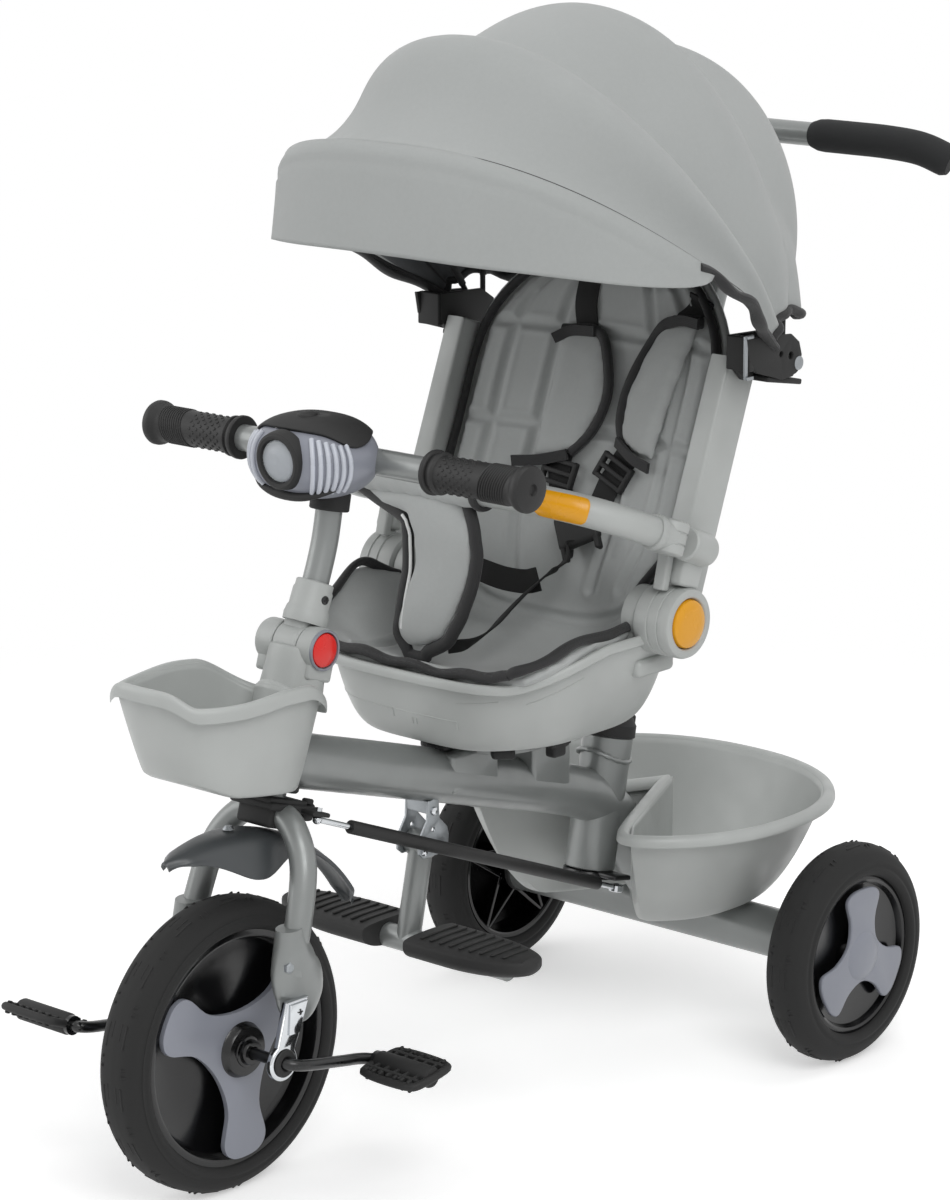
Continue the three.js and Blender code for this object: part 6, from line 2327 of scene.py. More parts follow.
@dataclass
class GuardBar(Assembly):
    """The guard bar between the back's barrels, with its amber catches and the padded crotch strap."""

    body: str = "guard_bar"
    radius: float = 14.0
    half: tuple[tuple[float, float, float], ...] = (
        (0, *GUARD_MIDDLE), (70, *GUARD_MIDDLE), (122, 287, 560.2),
        (152, 304, 553.2), (170, 332, 541.6), (180, 368, 526.8))

    def line(self, side: Side) -> list[Vector]:
        """The bar's centre line from its middle to one end."""
        return spline([side.at(x, y, z) for x, y, z in self.half], 10)

    def build(self) -> None:
        """Builds the bar, its fittings and the pad."""
        left = self.line(Side.LEFT)
        whole = mirrored(reversed(left))[:-1] + left
        self.keep(Form().tube(whole, 0.0136, 36).piece("guard_bar_tube", GREY_PLASTIC), "guard_bar")
        for side in Side:
            self.keep(self.catch(side))
            self.keep(self.knuckle(side))
        self.keep(self.sleeve(), "crotch_pad")
        self.keep(self.sleeve_bindings())
        self.keep(self.pad())
        self.keep(self.pad_binding())
        self.keep(self.pad_piping())

    def catch(self, side: Side) -> Piece:
        """The rounded amber insert let into the bar's front."""
        line = self.line(side)

        def surface(u: float, v: float) -> Vector:
            """A point of the insert, round the bar's front."""
            a, b = 2 * u - 1, 2 * v - 1
            share = lerp(0.33, 0.565, 0.5 + 0.5 * a * (1 - 0.16 * b ** 4))
            angle = radians(6 + 62 * b * (1 - 0.2 * a ** 8))
            spot = share * (len(line) - 1)
            k = int(spot)
            centre = line[k].lerp(line[k + 1], spot - k)
            along = (line[k + 1] - line[k]).normalized()
            up = (UP - along * UP.dot(along)).normalized()
            out = up.cross(along) * -side.value
            rim = max(abs(a), abs(b))
            proud = 14.3 - 1.6 * smooth(rim, 0.9, 1.0)
            ahead = out if out.y < 0 else out * -1
            return centre + (ahead * cos(angle) + up * sin(angle)) * proud * 0.001

        return Form().skin(36, 24, surface).piece(side.word + "_guard_catch", AMBER_PLASTIC, 50)

    def knuckle(self, side: Side) -> Piece:
        """The segmented knuckle at one end of the bar."""
        foot, head = side.at(180, 364.3, 512.1), side.at(180, 375.7, 539.9)
        long = (head - foot).length * 1000
        profile = [(0, 0), (11, 0), (13.2, 1.4), (13.8, 3), (13.8, 9), (12.9, 9.4), (12.9, 10.6), (13.8, 11),
                   (13.8, long - 11), (12.9, long - 10.6), (12.9, long - 9.4), (13.8, long - 9),
                   (13.8, long - 3),
                   (13.2, long - 1.4), (11, long), (0, long)]
        form = Form().lathe(profile, foot, head - foot, 56)
        form.lathe([(0, -3.4), (15.2, -3.4), (15.9, -2), (15.9, 2), (15.2, 3.4), (0, 3.4)],
                   side.at(176.4, 353, 532.8), self.line(side)[-1] - self.line(side)[-4], 56)
        return form.piece(side.word + "_guard_knuckle", GREY_PLASTIC, 36)

    def sleeve(self) -> Piece:
        """The cloth sleeve wrapped round the bar."""
        line = [at(x, *GUARD_MIDDLE) for x in range(-108, 43, 5)]
        radii = [0.0166 + 0.0009 * sin(x * 1.7) + 0.0014 * bump_at(x, 15, 14) for x in range(len(line))]
        return subdivided(Form().tube(line, radii, 32).piece("crotch_pad_sleeve", GREY_CLOTH))

    def sleeve_bindings(self) -> Piece:
        """The tapes round the sleeve's ends."""
        form = Form()
        for x in (-108, 42):
            form.lathe([(14.2, -3), (18.2, -3), (18.9, 0), (18.2, 3), (14.2, 3)], at(x, *GUARD_MIDDLE),
                       ACROSS, 48)
        return form.piece("crotch_sleeve_bindings", BINDING)

    def side_x(self, z: float) -> tuple[float, float]:
        """The pad's right and left edges at a height."""
        right = ((408, -26), (414, -36), (424, -42), (455, -39), (483, -35), (515, -36), (528, -42), (535, -60),
                 (541, -86), (549, -108), (562, -110))
        left = ((408, -24), (414, -6), (426, 13), (452, 27), (480, 36), (505, 40), (525, 37), (547, 24),
                (562, 10))
        found = []
        for table in (right, left):
            (z0, x0), (z1, x1) = next(gap for gap in zip(table, table[1:])
                                      if z <= gap[1][0] or gap[1][0] == 562)
            straight = min(1.0, max(0.0, (z - z0) / (z1 - z0)))
            found.append(lerp(x0, x1, smooth(z, z0, z1) * 0.3 + 0.7 * straight))
        return found[0], found[1]

    def pad_y(self, z: float) -> float:
        """How far back the hanging pad's middle is at a height."""
        return lerp(270, 276, smooth(z, 420, 500)) + 8 * smooth(z, 520, 556)

    def pad(self) -> Piece:
        """The padded flap that hangs from the bar to the seat."""
        def surface(u: float, v: float) -> Vector:
            """A point of the closed pad."""
            z = lerp(408, 560, v)
            right, left = self.side_x(z)
            inside = 0 < v < 1
            half = (left - right) / 2 * (1 if inside else 0.02)
            angle = TAU * u
            full = min(1.0, sqrt(max(0.0, v) / 0.1)) * (1 - 0.25 * smooth(v, 0.85, 1))
            thick = 7.5 * full if inside else 0.0
            return at((right + left) / 2 + half * signed(cos(angle), 0.75),
                      self.pad_y(z) + thick * signed(sin(angle), 0.8), z)

        cover = Form().skin(56, 44, surface, wrap=True).piece("crotch_pad_cover", PAD_CLOTH)
        stuffed(cover, 4.0, 6.0)
        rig.padded(cover, 0.7)
        return cover

    def pad_edge(self, start: float, end: float, pick: int, grow: float) -> list[Vector]:
        """Points along one edge of the pad.

        Args:
            start: the first point's height.
            end: the last point's height.
            pick: 0 for the right edge, 1 for the left.
            grow: how far outside the edge they lie.

        Returns:
            The points.
        """
        points = []
        for k in range(25):
            z = lerp(start, end, k / 24)
            x = self.side_x(z)[pick] + (grow if pick else -grow)
            points.append(at(x, self.pad_y(z), z))
        return points

    def pad_binding(self) -> Piece:
        """The broad black tape round the flap's sides and bottom."""
        left = self.pad_edge(552, 412, 1, 2.4)
        right = self.pad_edge(412, 550, 0, 2.4)
        line = spline(left[::2] + [at(-14, 270, 405.6), at(-30, 270, 405.4)] + right[::2], 3)
        return Form().tube(line, 0.0062, 16, [0.72] * len(line)).piece("crotch_pad_binding", BINDING)

    def pad_piping(self) -> Piece:
        """The pale piping inside the tape."""
        right = [p + Vector((0.006, -0.0065, 0)) for p in self.pad_edge(430, 530, 0, 0)]
        return Form().tube(right, 0.0014, 8).piece("crotch_pad_piping", PIPING)


@dataclass
class Liner(Assembly):
    """The padded liner of the seat and back, its tape, and the harness that lies on it."""

    body: str = "backrest"
    thick: float = 9.0
    seat: tuple[tuple[float, ...], ...] = (
        (0.00, 234, 411, 112, 238, 418), (0.08, 247, 405, 124, 243, 424), (0.18, 275, 395, 134, 266, 433),
        (0.32, 320, 389, 138, 306, 441), (0.45, 362, 389, 139, 345, 441), (0.55, 396, 396, 131, 376, 440),
        (0.60, 416, 410, 112, 398, 442), (0.66, 428, 436, 110, 411, 460))
    forward: float = 12.0
    strap_width: float = 25.0
    strap_thick: float = 1.8

    def surface(self, u: float, v: float, lift: float = 0.0) -> Vector:
        """A point of the liner.

        Args:
            u: across it, from -1 to 1.
            v: along it, from the front edge at 0 to the top at 1.
            lift: how far above the liner, in millimetres.

        Returns:
            The point.
        """
        stations = list(self.seat)
        for share, z in ((0.76, 505), (0.84, 580), (0.92, 660), (0.97, 704), (1.0, 727)):
            wide = back_width(z) - 5
            centre, edge = back_point(0, z, self.forward), back_point(wide, z, self.forward - 2)
            stations.append((share, (centre.y - AXLE.y) * 1000, z, wide, (edge.y - AXLE.y) * 1000, z))
        k = 0
        while k < len(stations) - 2 and v > stations[k + 1][0]:
            k += 1
        before, start, end, after = (stations[min(max(i, 0), len(stations) - 1)]
                                     for i in (k - 1, k, k + 1, k + 2))
        t = (v - start[0]) / (end[0] - start[0])
        y, z, wide, edge_y, edge_z = (passing(*four, t)
                                      for four in zip(before[1:], start[1:], end[1:], after[1:]))
        share = abs(u) ** (3.2 if v < 0.56 else lerp(3.2, 2.0, smooth(v, 0.56, 0.72)))
        x = wide * signed(u, 0.9)
        wing = 22 * bump_at(v, 0.38, 0.13) * smooth(-u, 0.55, 1.0)
        ripple = 1.6 * sin(x * 0.11 + 1) * bump_at(v, 0.0, 0.06) if v < 0.2 else 0.0
        return at(x, lerp(y, edge_y, share), lerp(z, edge_z, share) + wing + ripple + lift)

    def build(self) -> None:
        """Builds the liner, then the harness on it."""
        cover = Form().skin(60, 150, lambda u, v: self.surface(2 * u - 1, v))
        cover.thicken(self.thick)
        liner = cover.piece("seat_liner", PAD_CLOTH)
        stuffed(liner, 5.0, 5.0, 3.0)
        press_seams(liner, self.seams(), 4.2, 5.0)
        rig.padded(liner, 0.5)
        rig.replaces(liner, "seat_pad", "back_pad")
        self.across_hinge(liner)
        binding = self.binding()
        self.across_hinge(binding)
        self.harness(Ground(liner))

    def across_hinge(self, piece: Piece) -> None:
        """Lets a piece bend between the seat and the back."""
        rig.blend(piece, "seat", "backrest", start=at(0, 372, 410), end=at(0, 430, 482))
        LOG.info("Liner: %s", piece.name)

    def seams(self) -> list[list[Vector]]:
        """The sewn lines of the back and seat."""
        lines = []
        for share in (-0.72, -0.36, 0.36, 0.72):
            lines.append([self.surface(share, lerp(0.68, 0.99, k / 24)) - Vector((0, 0.004, 0))
                          for k in range(25)])
        for v in (0.84, 0.925):
            lines.append([self.surface(lerp(-0.93, 0.93, k / 24), v) - Vector((0, 0.004, 0))
                          for k in range(25)])
        lines.append([self.surface(lerp(-0.9, 0.9, k / 24), 0.62, 3) for k in range(25)])
        for share in (-0.55, 0.55):
            lines.append([self.surface(share, lerp(0.06, 0.54, k / 24), 4) for k in range(25)])
        return lines

    def binding(self) -> Piece:
        """The black tape round the liner's edge, a little uneven."""
        steps = 90
        left = [self.surface(1, k / steps) for k in range(steps + 1)]
        right = [self.surface(-1, k / steps) for k in range(steps + 1)]
        top = [self.surface(1 - k / 10, 1) for k in range(1, 20)]
        front = [self.surface(-1 + k / 14, 0) for k in range(1, 28)]
        line = left + top + list(reversed(right)) + front
        for i, point in enumerate(line):
            point.z += 0.0012 * sin(i * 0.31) - 0.001
        radii = [0.0047 + 0.0004 * sin(i * 0.4) for i in range(len(line) + 1)]
        form = Form().tube(line + [line[0]], radii, 14, [0.8] * (len(line) + 1))
        return form.piece("seat_liner_binding", BINDING)

    def harness(self, ground: Ground) -> None:
        """Builds the whole harness on the liner."""
        self.shoulder_straps(ground)
        self.shoulder_pad("right_shoulder_pad", ground, ((-46, 664), (-8, 666), (10, 650), (22, 616), (14, 584),
                                                         (-4, 562), (-46, 552)))
        self.shoulder_pad("left_shoulder_pad", ground, ((112, 688), (78, 684), (58, 664), (47, 630), (45, 600),
                                                        (50, 578), (92, 567)))
        form = Form()
        for points in (((-50, 657), (-34, 665), (-8, 667)), ((-62, 549), (-34, 553), (-4, 561)),
                       ((78, 684), (96, 689), (116, 688)), ((46, 578), (72, 568), (96, 563))):
            strap(ground.line(points, 12.5), 10, 3.0, UP, form)
        self.keep(form.piece("shoulder_pad_bars", BINDING))
        self.buckles(ground)
        self.lap_straps()

    def shoulder_straps(self, ground: Ground) -> None:
        """The straps that come out over the pads and run on under them."""
        form = Form()
        right = ground.line(((-28, 726), (-28, 716), (-27, 690), (-22, 664)), 2.6)
        for line in ([right[0] + Vector((0, 0.012, 0.002))] + right,
                     ground.line(((106, 708), (102, 700), (97, 690), (94, 682)), 2.8),
                     ground.line(((-16, 560), (-14, 545), (-2, 520), (14, 505), (26, 499)), 4),
                     ground.line(((64, 572), (52, 556), (48, 545), (42, 525), (36, 514)), 4)):
            strap(line, self.strap_width, self.strap_thick, ACROSS, form)
        self.keep(form.piece("shoulder_straps", WEBBING), "harness")

    def shoulder_pad(self, name: str, ground: Ground, outline: Profile) -> None:
        """Adds one stuffed shoulder pad with the tape round its edge.

        Args:
            name: the pad's name.
            ground: the liner that it lies on.
            outline: its corners as (x, z), the first and last at its open side.
        """
        curve = [(p.x, p.z) for p in spline([Vector((x, 0, z)) for x, z in outline], 6)]
        pad = Form().plate(curve, 7, facing(at(0, 0, 0), Vector((0, -1, 0)), ACROSS), 1.0)
        pad.reshape(lambda p: ground.front(p.x * 1000, p.z * 1000, 7 + (AXLE.y - p.y) * 1000))
        cover = pad.piece(name, PAD_CLOTH)
        stuffed(cover, 4.0, 3.0, 3.0)
        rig.padded(cover, 0.6)
        self.keep(cover)
        line = spline(ground.line(outline[:-1], 7.5), 5)
        self.keep(Form().tube(line, 0.0058, 14, [0.75] * len(line)).piece(name + "_binding", BINDING))

    def buckles(self, ground: Ground) -> None:
        """The two strap adjusters and the middle buckle."""
        form = Form()
        for x, z, tilt in ((-12, 544, 6), (50, 552, 22)):
            place = facing(ground.front(x, z, 7), Vector((0, -1, 0.36)), ACROSS)
            place = place @ Matrix.Rotation(radians(-tilt), 4, "Z")
            for lift in (-10, 0, 10):
                form.box((37, 4.6, 6), place @ Matrix.Translation((0, lift * 0.001, 0)), 1.4)
            for reach in (-17, 17):
                form.box((4.4, 25, 6.4), place @ Matrix.Translation((reach * 0.001, 0, 0)), 1.6)
        place = facing(at(31, 424, 503), Vector((0.1, -1, 0.5)), Vector((1, 0.3, 0.55)))
        form.box((42, 34, 11), place, 4.5, 4)
        form.box((30, 12, 13), place @ Matrix.Translation((0, 0.014, 0)), 3)
        for reach in (-17, 17):
            form.box((5, 22, 9), place @ Matrix.Translation((reach * 0.001, -0.016, 0)), 2)
        self.keep(form.piece("harness_buckles", BLACK_PLASTIC))

    def lap_straps(self) -> None:
        """The twisted crotch strap and the lap strap to the child's right."""
        tilted, upright = Vector((0.8, -0.1, 0.6)), Vector((0.2, -0.4, 1))
        crotch = [at(28, 424, 492), at(27, 417, 484), at(30, 404, 473), at(22, 392, 464), at(15, 372, 450),
                  at(13, 350, 437), at(12, 330, 425), at(8, 308, 416), at(-6, 292, 412)]
        form = strap(crotch, self.strap_width, self.strap_thick, ACROSS, twist=[tilted, upright] + [tilted] * 7)
        strap([at(18, 386, 461), at(4, 384, 457), at(-16, 378, 458), at(-36, 372, 463), at(-62, 374, 466),
               at(-92, 386, 462), at(-116, 396, 456)], 22, self.strap_thick, UP, form)
        self.keep(form.piece("lap_straps", WEBBING))


# ---------- Canopy ----------
HUB = (530.0, 657.0)


@dataclass(frozen=True)
class Bow:
    """One hoop of the canopy: the angle at which it stands, its reach, half width, squareness and root."""

    angle: float
    reach: float
    half: float
    power: float
    root: float
    ease: float = 150.0

    def mixed(self, other: "Bow", share: float, wide: float, high: float) -> "Bow":
        """A hoop between two.

        Args:
            other: the second hoop.
            share: how far it is from this one to the other.
            wide: the same for its width.
            high: the same for its reach.

        Returns:
            The hoop.
        """
        return Bow(lerp(self.angle, other.angle, share), lerp(self.reach, other.reach, high),
                   lerp(self.half, other.half, wide), lerp(self.power, other.power, wide),
                   lerp(self.root, other.root, share), lerp(self.ease, other.ease, share))

    def point(self, turn: float, lift: float = 0.0) -> Vector:
        """A point of the hoop, lifted square to it."""
        across, rise = cos(turn), max(0.0, sin(turn))
        radius = self.reach * rise ** (2 / self.power) + lift * rise
        wide = self.half * abs(across) ** (2 / self.power)
        x = copysign(lerp(self.root, wide, smooth(radius, 34, self.ease)) + lift * abs(across), across)
        return self.spot(x, radius)

    def spot(self, x: float, radius: float) -> Vector:
        """A point of the hoop's plane at a distance from the hubs' line."""
        lean = radians(self.angle)
        return at(x, HUB[0] - radius * cos(lean), HUB[1] + radius * sin(lean))

    def start(self, radius: float) -> float:
        """The turn at which the hoop is that far from the hub."""
        return asin(min(1.0, (radius / self.reach) ** (self.power / 2)))


@dataclass
class Canopy(Assembly):
    """The folding sun canopy: hubs, three bows, one curved sheet with its lining, and the visor."""

    body: str = "backrest"
    bows: tuple[Bow, ...] = (Bow(32.5, 377, 229, 2.8, 186), Bow(56, 328, 188, 2.1, 180.4),
                             Bow(90, 267, 182, 1.9, 174.8), Bow(128, 185, 148, 2.1, 174.8, 60.0))
    bulges: tuple[float, ...] = (29.0, 19.0, 23.0)
    lateness: tuple[float, ...] = (2.3, 1.5, 1.5)
    crowns: tuple[float, ...] = (0.7, 1.5, 1.5)
    waists: tuple[float, ...] = (0.3, 1.0, 1.0)
    climbs: tuple[float, ...] = (0.7, 1.0, 1.25)
    edge: float = 44.0

    def cloth(self, u: float, v: float, lift: float = 0.0) -> Vector:
        """A point of the sheet.

        Args:
            u: round it, from the child's left at 0 to the right at 1.
            v: along it, from the front bow at 0 to the hem at 3.
            lift: how far outside the sheet, in millimetres.

        Returns:
            The point.
        """
        k = min(2, max(0, int(v)))
        share = v - k
        wide, high = (max(0.0, share) ** powers[k] for powers in (self.waists, self.climbs))
        hoop = self.bows[k].mixed(self.bows[k + 1], share, wide, high)
        first = hoop.start(self.edge)
        turn = lerp(first, pi - first, u)
        rise = max(0.0, sin(turn))
        near = min(share, 1 - share)
        puff = self.bulges[k] * sin(pi * max(0.0, share) ** self.lateness[k]) * rise ** self.crowns[k]
        pucker = 0.6 * sin(turn * 52 + 9 * k) * sin(turn * 19) * exp(-((near / 0.08) ** 2))
        drape = 1.2 * sin(turn * 7 + 4 * v) * 4 * share * (1 - share)
        return hoop.point(turn, 5.2 + puff + pucker + drape + lift)

    def build(self) -> None:
        """Builds the frame, the cloth and its trimmings."""
        self.keep(self.hoop(2), "canopy_frame")
        self.keep(self.hoop(1), "middle_canopy_bow", body="middle_bow")
        self.keep(self.hoop(0), "front_canopy_bow", body="front_bow")
        for side in Side:
            self.keep(self.hub(side))
            self.keep(self.hub_pin(side))
        self.keep(self.hub_plate(Side.LEFT))
        cover = self.sheet("canopy_cover", CANOPY_CLOTH, 0.0, 1.1)
        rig.replaces(cover, "front_canopy_panel", "top_canopy_panel", "back_canopy_panel")
        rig.sheet(cover, flat=(0.95, 0.42), held="stretched", area=0.29)
        lining = self.sheet("canopy_lining", LINING, -1.6, 0.6)
        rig.sheet(lining, flat=(0.94, 0.41), held="stretched", area=0.28)
        self.folding(self.tapes())
        self.folding(self.side_bindings())
        self.folding(self.vents())
        self.folding(self.vent_borders())
        visor = self.visor()
        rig.sheet(visor, flat=(0.66, 0.092), held="hung", area=0.047)
        self.keep(self.front_binding(), body="front_bow")

    def folding(self, piece: Piece) -> Piece:
        """Lets a piece fold between the back and the front bow."""
        baked(piece)
        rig.blend(piece, "backrest", "front_bow", start=at(0, 696.9, 769.5), end=at(0, 406.7, 573.8))
        LOG.info("Canopy: %s", piece.name)
        return piece

    def sheet(self, name: str, finish: Finish, lift: float, thick: float) -> Piece:
        """One continuous sheet from the front bow to the hem."""
        form = Form().skin(150, 96, lambda u, v: self.cloth(u, 3 * v, lift), cloth=(1.0, 0.7))
        return self.folding(walled(form.piece(name, finish, 180), thick, 0))

    def hoop(self, number: int) -> Piece:
        """One wire bow with an eye at each end."""
        bow = self.bows[number]
        turns = [radians(lerp(3, 177, k / 70)) for k in range(71)]
        ends = [bow.spot(side * bow.root, r) for side, r in ((1, 6), (1, 26), (-1, 26), (-1, 6))]
        points = [bow.point(t) for t in turns if bow.reach * sin(t) ** (2 / bow.power) > 32]
        form = Form().tube(ends[:2] + points + ends[2:], 0.0026, 12)
        for side in (1, -1):
            form.lathe([(4.7, -1.9), (10.4, -1.9), (11, -1.2), (11, 1.2), (10.4, 1.9), (4.7, 1.9)],
                       at(side * bow.root, *HUB), ACROSS, 40)
        return form.piece(("front", "middle", "back")[number] + "_bow_wire", BLACK_PLASTIC)

    def hub(self, side: Side) -> Piece:
        """The black block that the bows turn on: two cheeks joined below."""
        form = Form()
        cheek = [(455, 688), (459, 668), (470, 656), (508, 645), (522, 646), (532, 654), (535, 664),
                 (531, 676), (520, 684)]
        form.plate(cheek, 4, side_on(side.value * 191.2), 1.2, holes=((519, 665, 3.4), (505, 668, 2.6)))
        inner = [(463, 688), (463, 662), (480, 646), (540, 642), (543, 660), (536, 676), (520, 686)]
        form.plate(inner, 6.4, side_on(side.value * 169), 1.4)
        form.box((20, 50, 5), placed(side.value * 180, 515, 643, -10), 1.4)
        form.box((26, 7, 30), placed(side.value * 180, 463, 673, 0), 1.4)
        return form.piece(side.word + "_canopy_hub", BLACK_PLASTIC, 40)

    def hub_plate(self, side: Side) -> Piece:
        """The bright plate at the block's front edge."""
        form = Form().box((2.4, 4, 38), placed(side.value * 191.6, 455.6, 671, 0), 0.6)
        form.box((2.4, 9, 3), placed(side.value * 193.6, 459, 689, 0), 0.5)
        form.box((2.4, 9, 3), placed(side.value * 193.6, 459, 653, 0), 0.5)
        return form.piece(side.word + "_hub_plate", ZINC)

    def hub_pin(self, side: Side) -> Piece:
        """The pin with its rivet head."""
        form = Form().lathe([(0, 0), (4, 0), (4, 25), (6.4, 25), (6.2, 26.6), (4.2, 27.8), (0, 28.2)],
                            side.at(167, *HUB), side.out, 32)
        return form.piece(side.word + "_hub_pin", ZINC)

    def tapes(self) -> Piece:
        """The black sleeves over the bows and the tapes between them, inside the lining."""
        form = Form()
        for number in (0, 1, 2):
            bow = self.bows[number]
            first = bow.start(self.edge - 4)
            turns = [lerp(first, pi - first, k / 90) for k in range(91)]
            form.tube([bow.point(t, -0.5) for t in turns], 0.0034, 12)
        for v in (0.5, 1.5, 2.5):
            form.skin(90, 2, lambda u, w, middle=v: self.cloth(u, middle + (w - 0.5) * 0.085, -2.8))
        return form.piece("canopy_tapes", BINDING)

    def side_bindings(self) -> Piece:
        """The tape along the sheet's lower edges and its hem."""
        form = Form()
        left = [self.cloth(0, 3 * k / 40) for k in range(41)]
        hem = [self.cloth(k / 60, 3) for k in range(61)]
        right = [self.cloth(1, 3 * k / 40) for k in range(41)]
        line = left + hem[1:-1] + list(reversed(right))
        for i, point in enumerate(line):
            point.z += 0.0008 * sin(i * 0.5)
        form.tube(line, 0.0045, 12)
        return form.piece("canopy_edge_binding", BINDING)

    def vent_spot(self, a: float, b: float, far: bool, lift: float) -> Vector:
        """A point of a round-cornered window in the back gore."""
        u = 0.15 + 0.09 * b * (1 - 0.1 * a ** 4)
        return self.cloth(1 - u if far else u, 2.62 + 0.3 * a * (1 - 0.1 * b ** 4) * (1 - 0.25 * b), lift)

    def vents(self) -> Piece:
        """The net windows at both sides of the back gore, sewn inside it."""
        form = Form()
        for far in (False, True):
            form.skin(30, 30, lambda u, v, f=far: self.vent_spot(2 * u - 1, 2 * v - 1, f, -4.4),
                      cloth=(0.12, 0.09))
        return form.piece("canopy_vent_nets", NETTING, 180, outward=False)

    def vent_borders(self) -> Piece:
        """The tape round each window."""
        form = Form()
        for far in (False, True):
            loop = []
            for k in range(64):
                angle = TAU * k / 64
                c, s = cos(angle), sin(angle)
                grow = 1 / max(abs(c), abs(s)) ** 0.75
                loop.append(self.vent_spot(c * grow, s * grow, far, -6.4))
            form.tube(loop + [loop[0]], 0.0034, 10)
        return form.piece("canopy_vent_borders", BINDING)

    def visor(self) -> Piece:
        """The band that hangs from the front bow."""
        bow = self.bows[0]

        def surface(u: float, v: float) -> Vector:
            """A point of the band, v down from the bow."""
            turn = radians(lerp(22.0, 158.0, u))
            deep = 6 + 86 * max(0.0, (sin(turn) - 0.374) / 0.626) ** 0.75
            top = bow.point(turn, 6.6)
            drop = deep * v
            fold = 1.8 * smooth(drop, 18, 20.5) + 1.2 * bump_at(drop, 10, 8)
            wave = 1.5 * sin(turn * 11) * v
            sign = 1 if top.x > 0 else -1
            out = Vector((sign * abs(cos(turn)), -0.8, 0)).normalized() * (fold + wave) * 0.001
            back = Vector((0, 0.001 - 0.005 * smooth(drop, 0, 9), 0.0))
            return top + Vector((sign * 0.004 * v, -0.006 * v, -drop * 0.001)) + out + back

        form = Form().skin(140, 24, surface, cloth=(0.86, 0.1))
        piece = baked(walled(form.piece("canopy_visor_band", CANOPY_CLOTH, 180), 1.2, 0))
        return self.keep(piece, "canopy_visor", body="front_bow")

    def front_binding(self) -> Piece:
        """The broad wavy tape down the front bow's legs."""
        form = Form()
        bow = self.bows[0]
        first = bow.start(self.edge - 8)
        for side in Side:
            line = []
            for k in range(40):
                turn = lerp(first, radians(25), k / 39)
                point = bow.point(turn if side is Side.LEFT else pi - turn, 3.6)
                line.append(point + Vector((0, -0.002, 0.0022 * sin(k * 0.42) - 0.002)))
            form.tube(line, [0.0068 + 0.0006 * sin(k * 0.7) for k in range(40)], 14, [0.62] * 40)
        return form.piece("canopy_front_binding", BINDING)


ASSEMBLIES: tuple[Assembly, ...] = (
    FrameWeldment(), RearBasket(), Fork(), FrontBasket(), HeadHousing(), Handlebar(), Lamp(), SteeringLink(),
    PushPole(), Footrest(), FrontWheel(),
    RearWheel(body="left_rear_wheel", name="left_rear", side=1.0, x=208.0, hub=REAR_AXLE.copy()),
    RearWheel(body="right_rear_wheel", name="right_rear", side=-1.0, x=-208.0, hub=REAR_AXLE.copy()),
    Pedal(body="left_pedal"),
    Pedal(body="right_pedal", side=-1.0, y=-86.0, z=144.6, tilt=-22.0),
    SeatPan(), Backrest(), GuardBar(), Liner(), Canopy(),
)


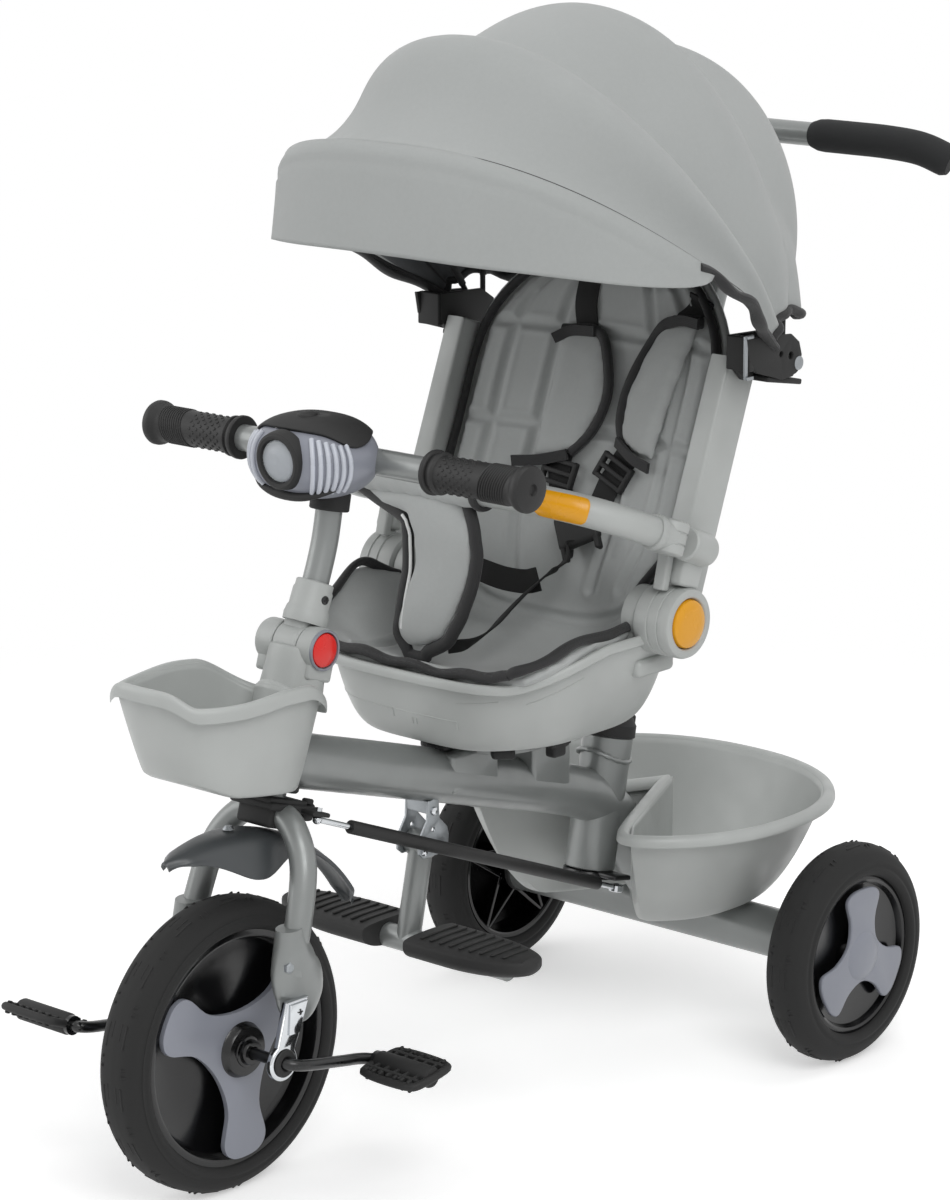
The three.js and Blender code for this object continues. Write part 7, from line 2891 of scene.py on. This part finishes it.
# ---------- Studio ----------
@dataclass
class Studio:
    """The camera, the pale floor, the white background and the soft lights."""

    eye: tuple[float, float, float] = (2.1854, -2.4610, 1.2543)
    azimuth: float = 41.45
    pitch: float = 13.68
    lens: float = 115.9
    daylight: float = 0.43

    def camera(self) -> None:
        """Sets up the camera."""
        data = bpy.data.cameras.new("camera")
        data.lens = self.lens
        data.sensor_width = 36.0
        data.clip_end = 60.0
        made = bpy.data.objects.new("camera", data)
        made.location = self.eye
        made.rotation_euler = (radians(90 - self.pitch), 0, radians(self.azimuth))
        bpy.context.scene.collection.objects.link(made)
        bpy.context.scene.camera = made

    def light(self, name: str, place: tuple[float, float, float], size: float, power: float) -> None:
        """Adds a square soft light that looks at the tricycle's middle.

        Args:
            name: its name.
            place: where it stands, in metres.
            size: its side in metres.
            power: its power in watts.
        """
        data = bpy.data.lights.new(name, "AREA")
        data.shape = "SQUARE"
        data.size = size
        data.energy = power
        made = bpy.data.objects.new(name, data)
        made.location = place
        aim = Vector((0, 0, 0.45)) - Vector(place)
        made.rotation_euler = aim.to_track_quat("-Z", "Y").to_euler()
        bpy.context.scene.collection.objects.link(made)

    def floor(self) -> None:
        """A wide pale floor that shows the shadow and turns plain white away from the tricycle."""
        form = Form()
        bmesh.ops.create_grid(form.bm, x_segments=8, y_segments=8, size=14)
        graph = Graph(bpy.data.materials.new("studio_floor"))
        east, north, _ = graph.parts(graph.place())
        far = ((east * east + north * north) ** 0.5).ramp(0.75, 1.7)
        tone = graph.blend(graph.noise(30, 2), (0.93, 0.93, 0.93), (0.96, 0.96, 0.96))
        plain = graph.node("ShaderNodeBsdfDiffuse", {}, {"Color": tone}).outputs[0]
        lift = graph.node("ShaderNodeEmission", {}, {"Strength": 0.42}).outputs[0]
        white = graph.node("ShaderNodeEmission", {}, {"Strength": 1.0}).outputs[0]
        shadowed = graph.node("ShaderNodeAddShader", {}, {0: plain, 1: lift}).outputs[0]
        shown = graph.node("ShaderNodeMixShader", {}, {0: far, 1: shadowed, 2: white}).outputs[0]
        mixed = graph.node("ShaderNodeMixShader", {}, {0: graph.seen(), 1: plain, 2: shown}).outputs[0]
        graph.node("ShaderNodeOutputMaterial", {}, {"Surface": mixed})
        mesh = bpy.data.meshes.new("floor")
        form.bm.to_mesh(mesh)
        form.bm.free()
        mesh.materials.append(graph.owner)
        made = bpy.data.objects.new("floor", mesh)
        bpy.context.scene.collection.objects.link(made)
        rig.stage(made)

    def sky(self) -> None:
        """A plain world that is white to the camera and soft grey to everything else."""
        world = bpy.data.worlds.new("studio")
        bpy.context.scene.world = world
        graph = Graph(world)
        strength = graph.seen() * (1.0 - self.daylight) + self.daylight
        lit = graph.node("ShaderNodeBackground", {}, {"Color": (1, 1, 1, 1), "Strength": strength}).outputs[0]
        graph.node("ShaderNodeOutputWorld", {}, {"Surface": lit})

    def build(self) -> None:
        """Sets the whole studio."""
        self.floor()
        self.sky()
        self.light("key", (2.6, -1.6, 3.0), 2.2, 60)
        self.light("fill", (-2.8, -2.2, 1.8), 2.6, 36)
        self.light("top", (0.2, 0.6, 3.4), 2.4, 19)
        bpy.context.scene.view_settings.view_transform = "Standard"
        LOG.info("studio: floor, sky and three lights")


def main() -> None:
    """Builds the tricycle and its studio."""
    logging.basicConfig(level=logging.INFO, format="%(message)s")
    studio = Studio()
    studio.camera()
    for assembly in ASSEMBLIES:
        assembly.build()
    studio.build()
    with open("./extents.json", "w", encoding="utf-8") as report:
        json.dump({"cad": [list(corner) for corner in CAD_BOUNDS],
                   "visual": [list(corner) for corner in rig.bounds()]}, report)


if __name__ == "__main__":
    main()
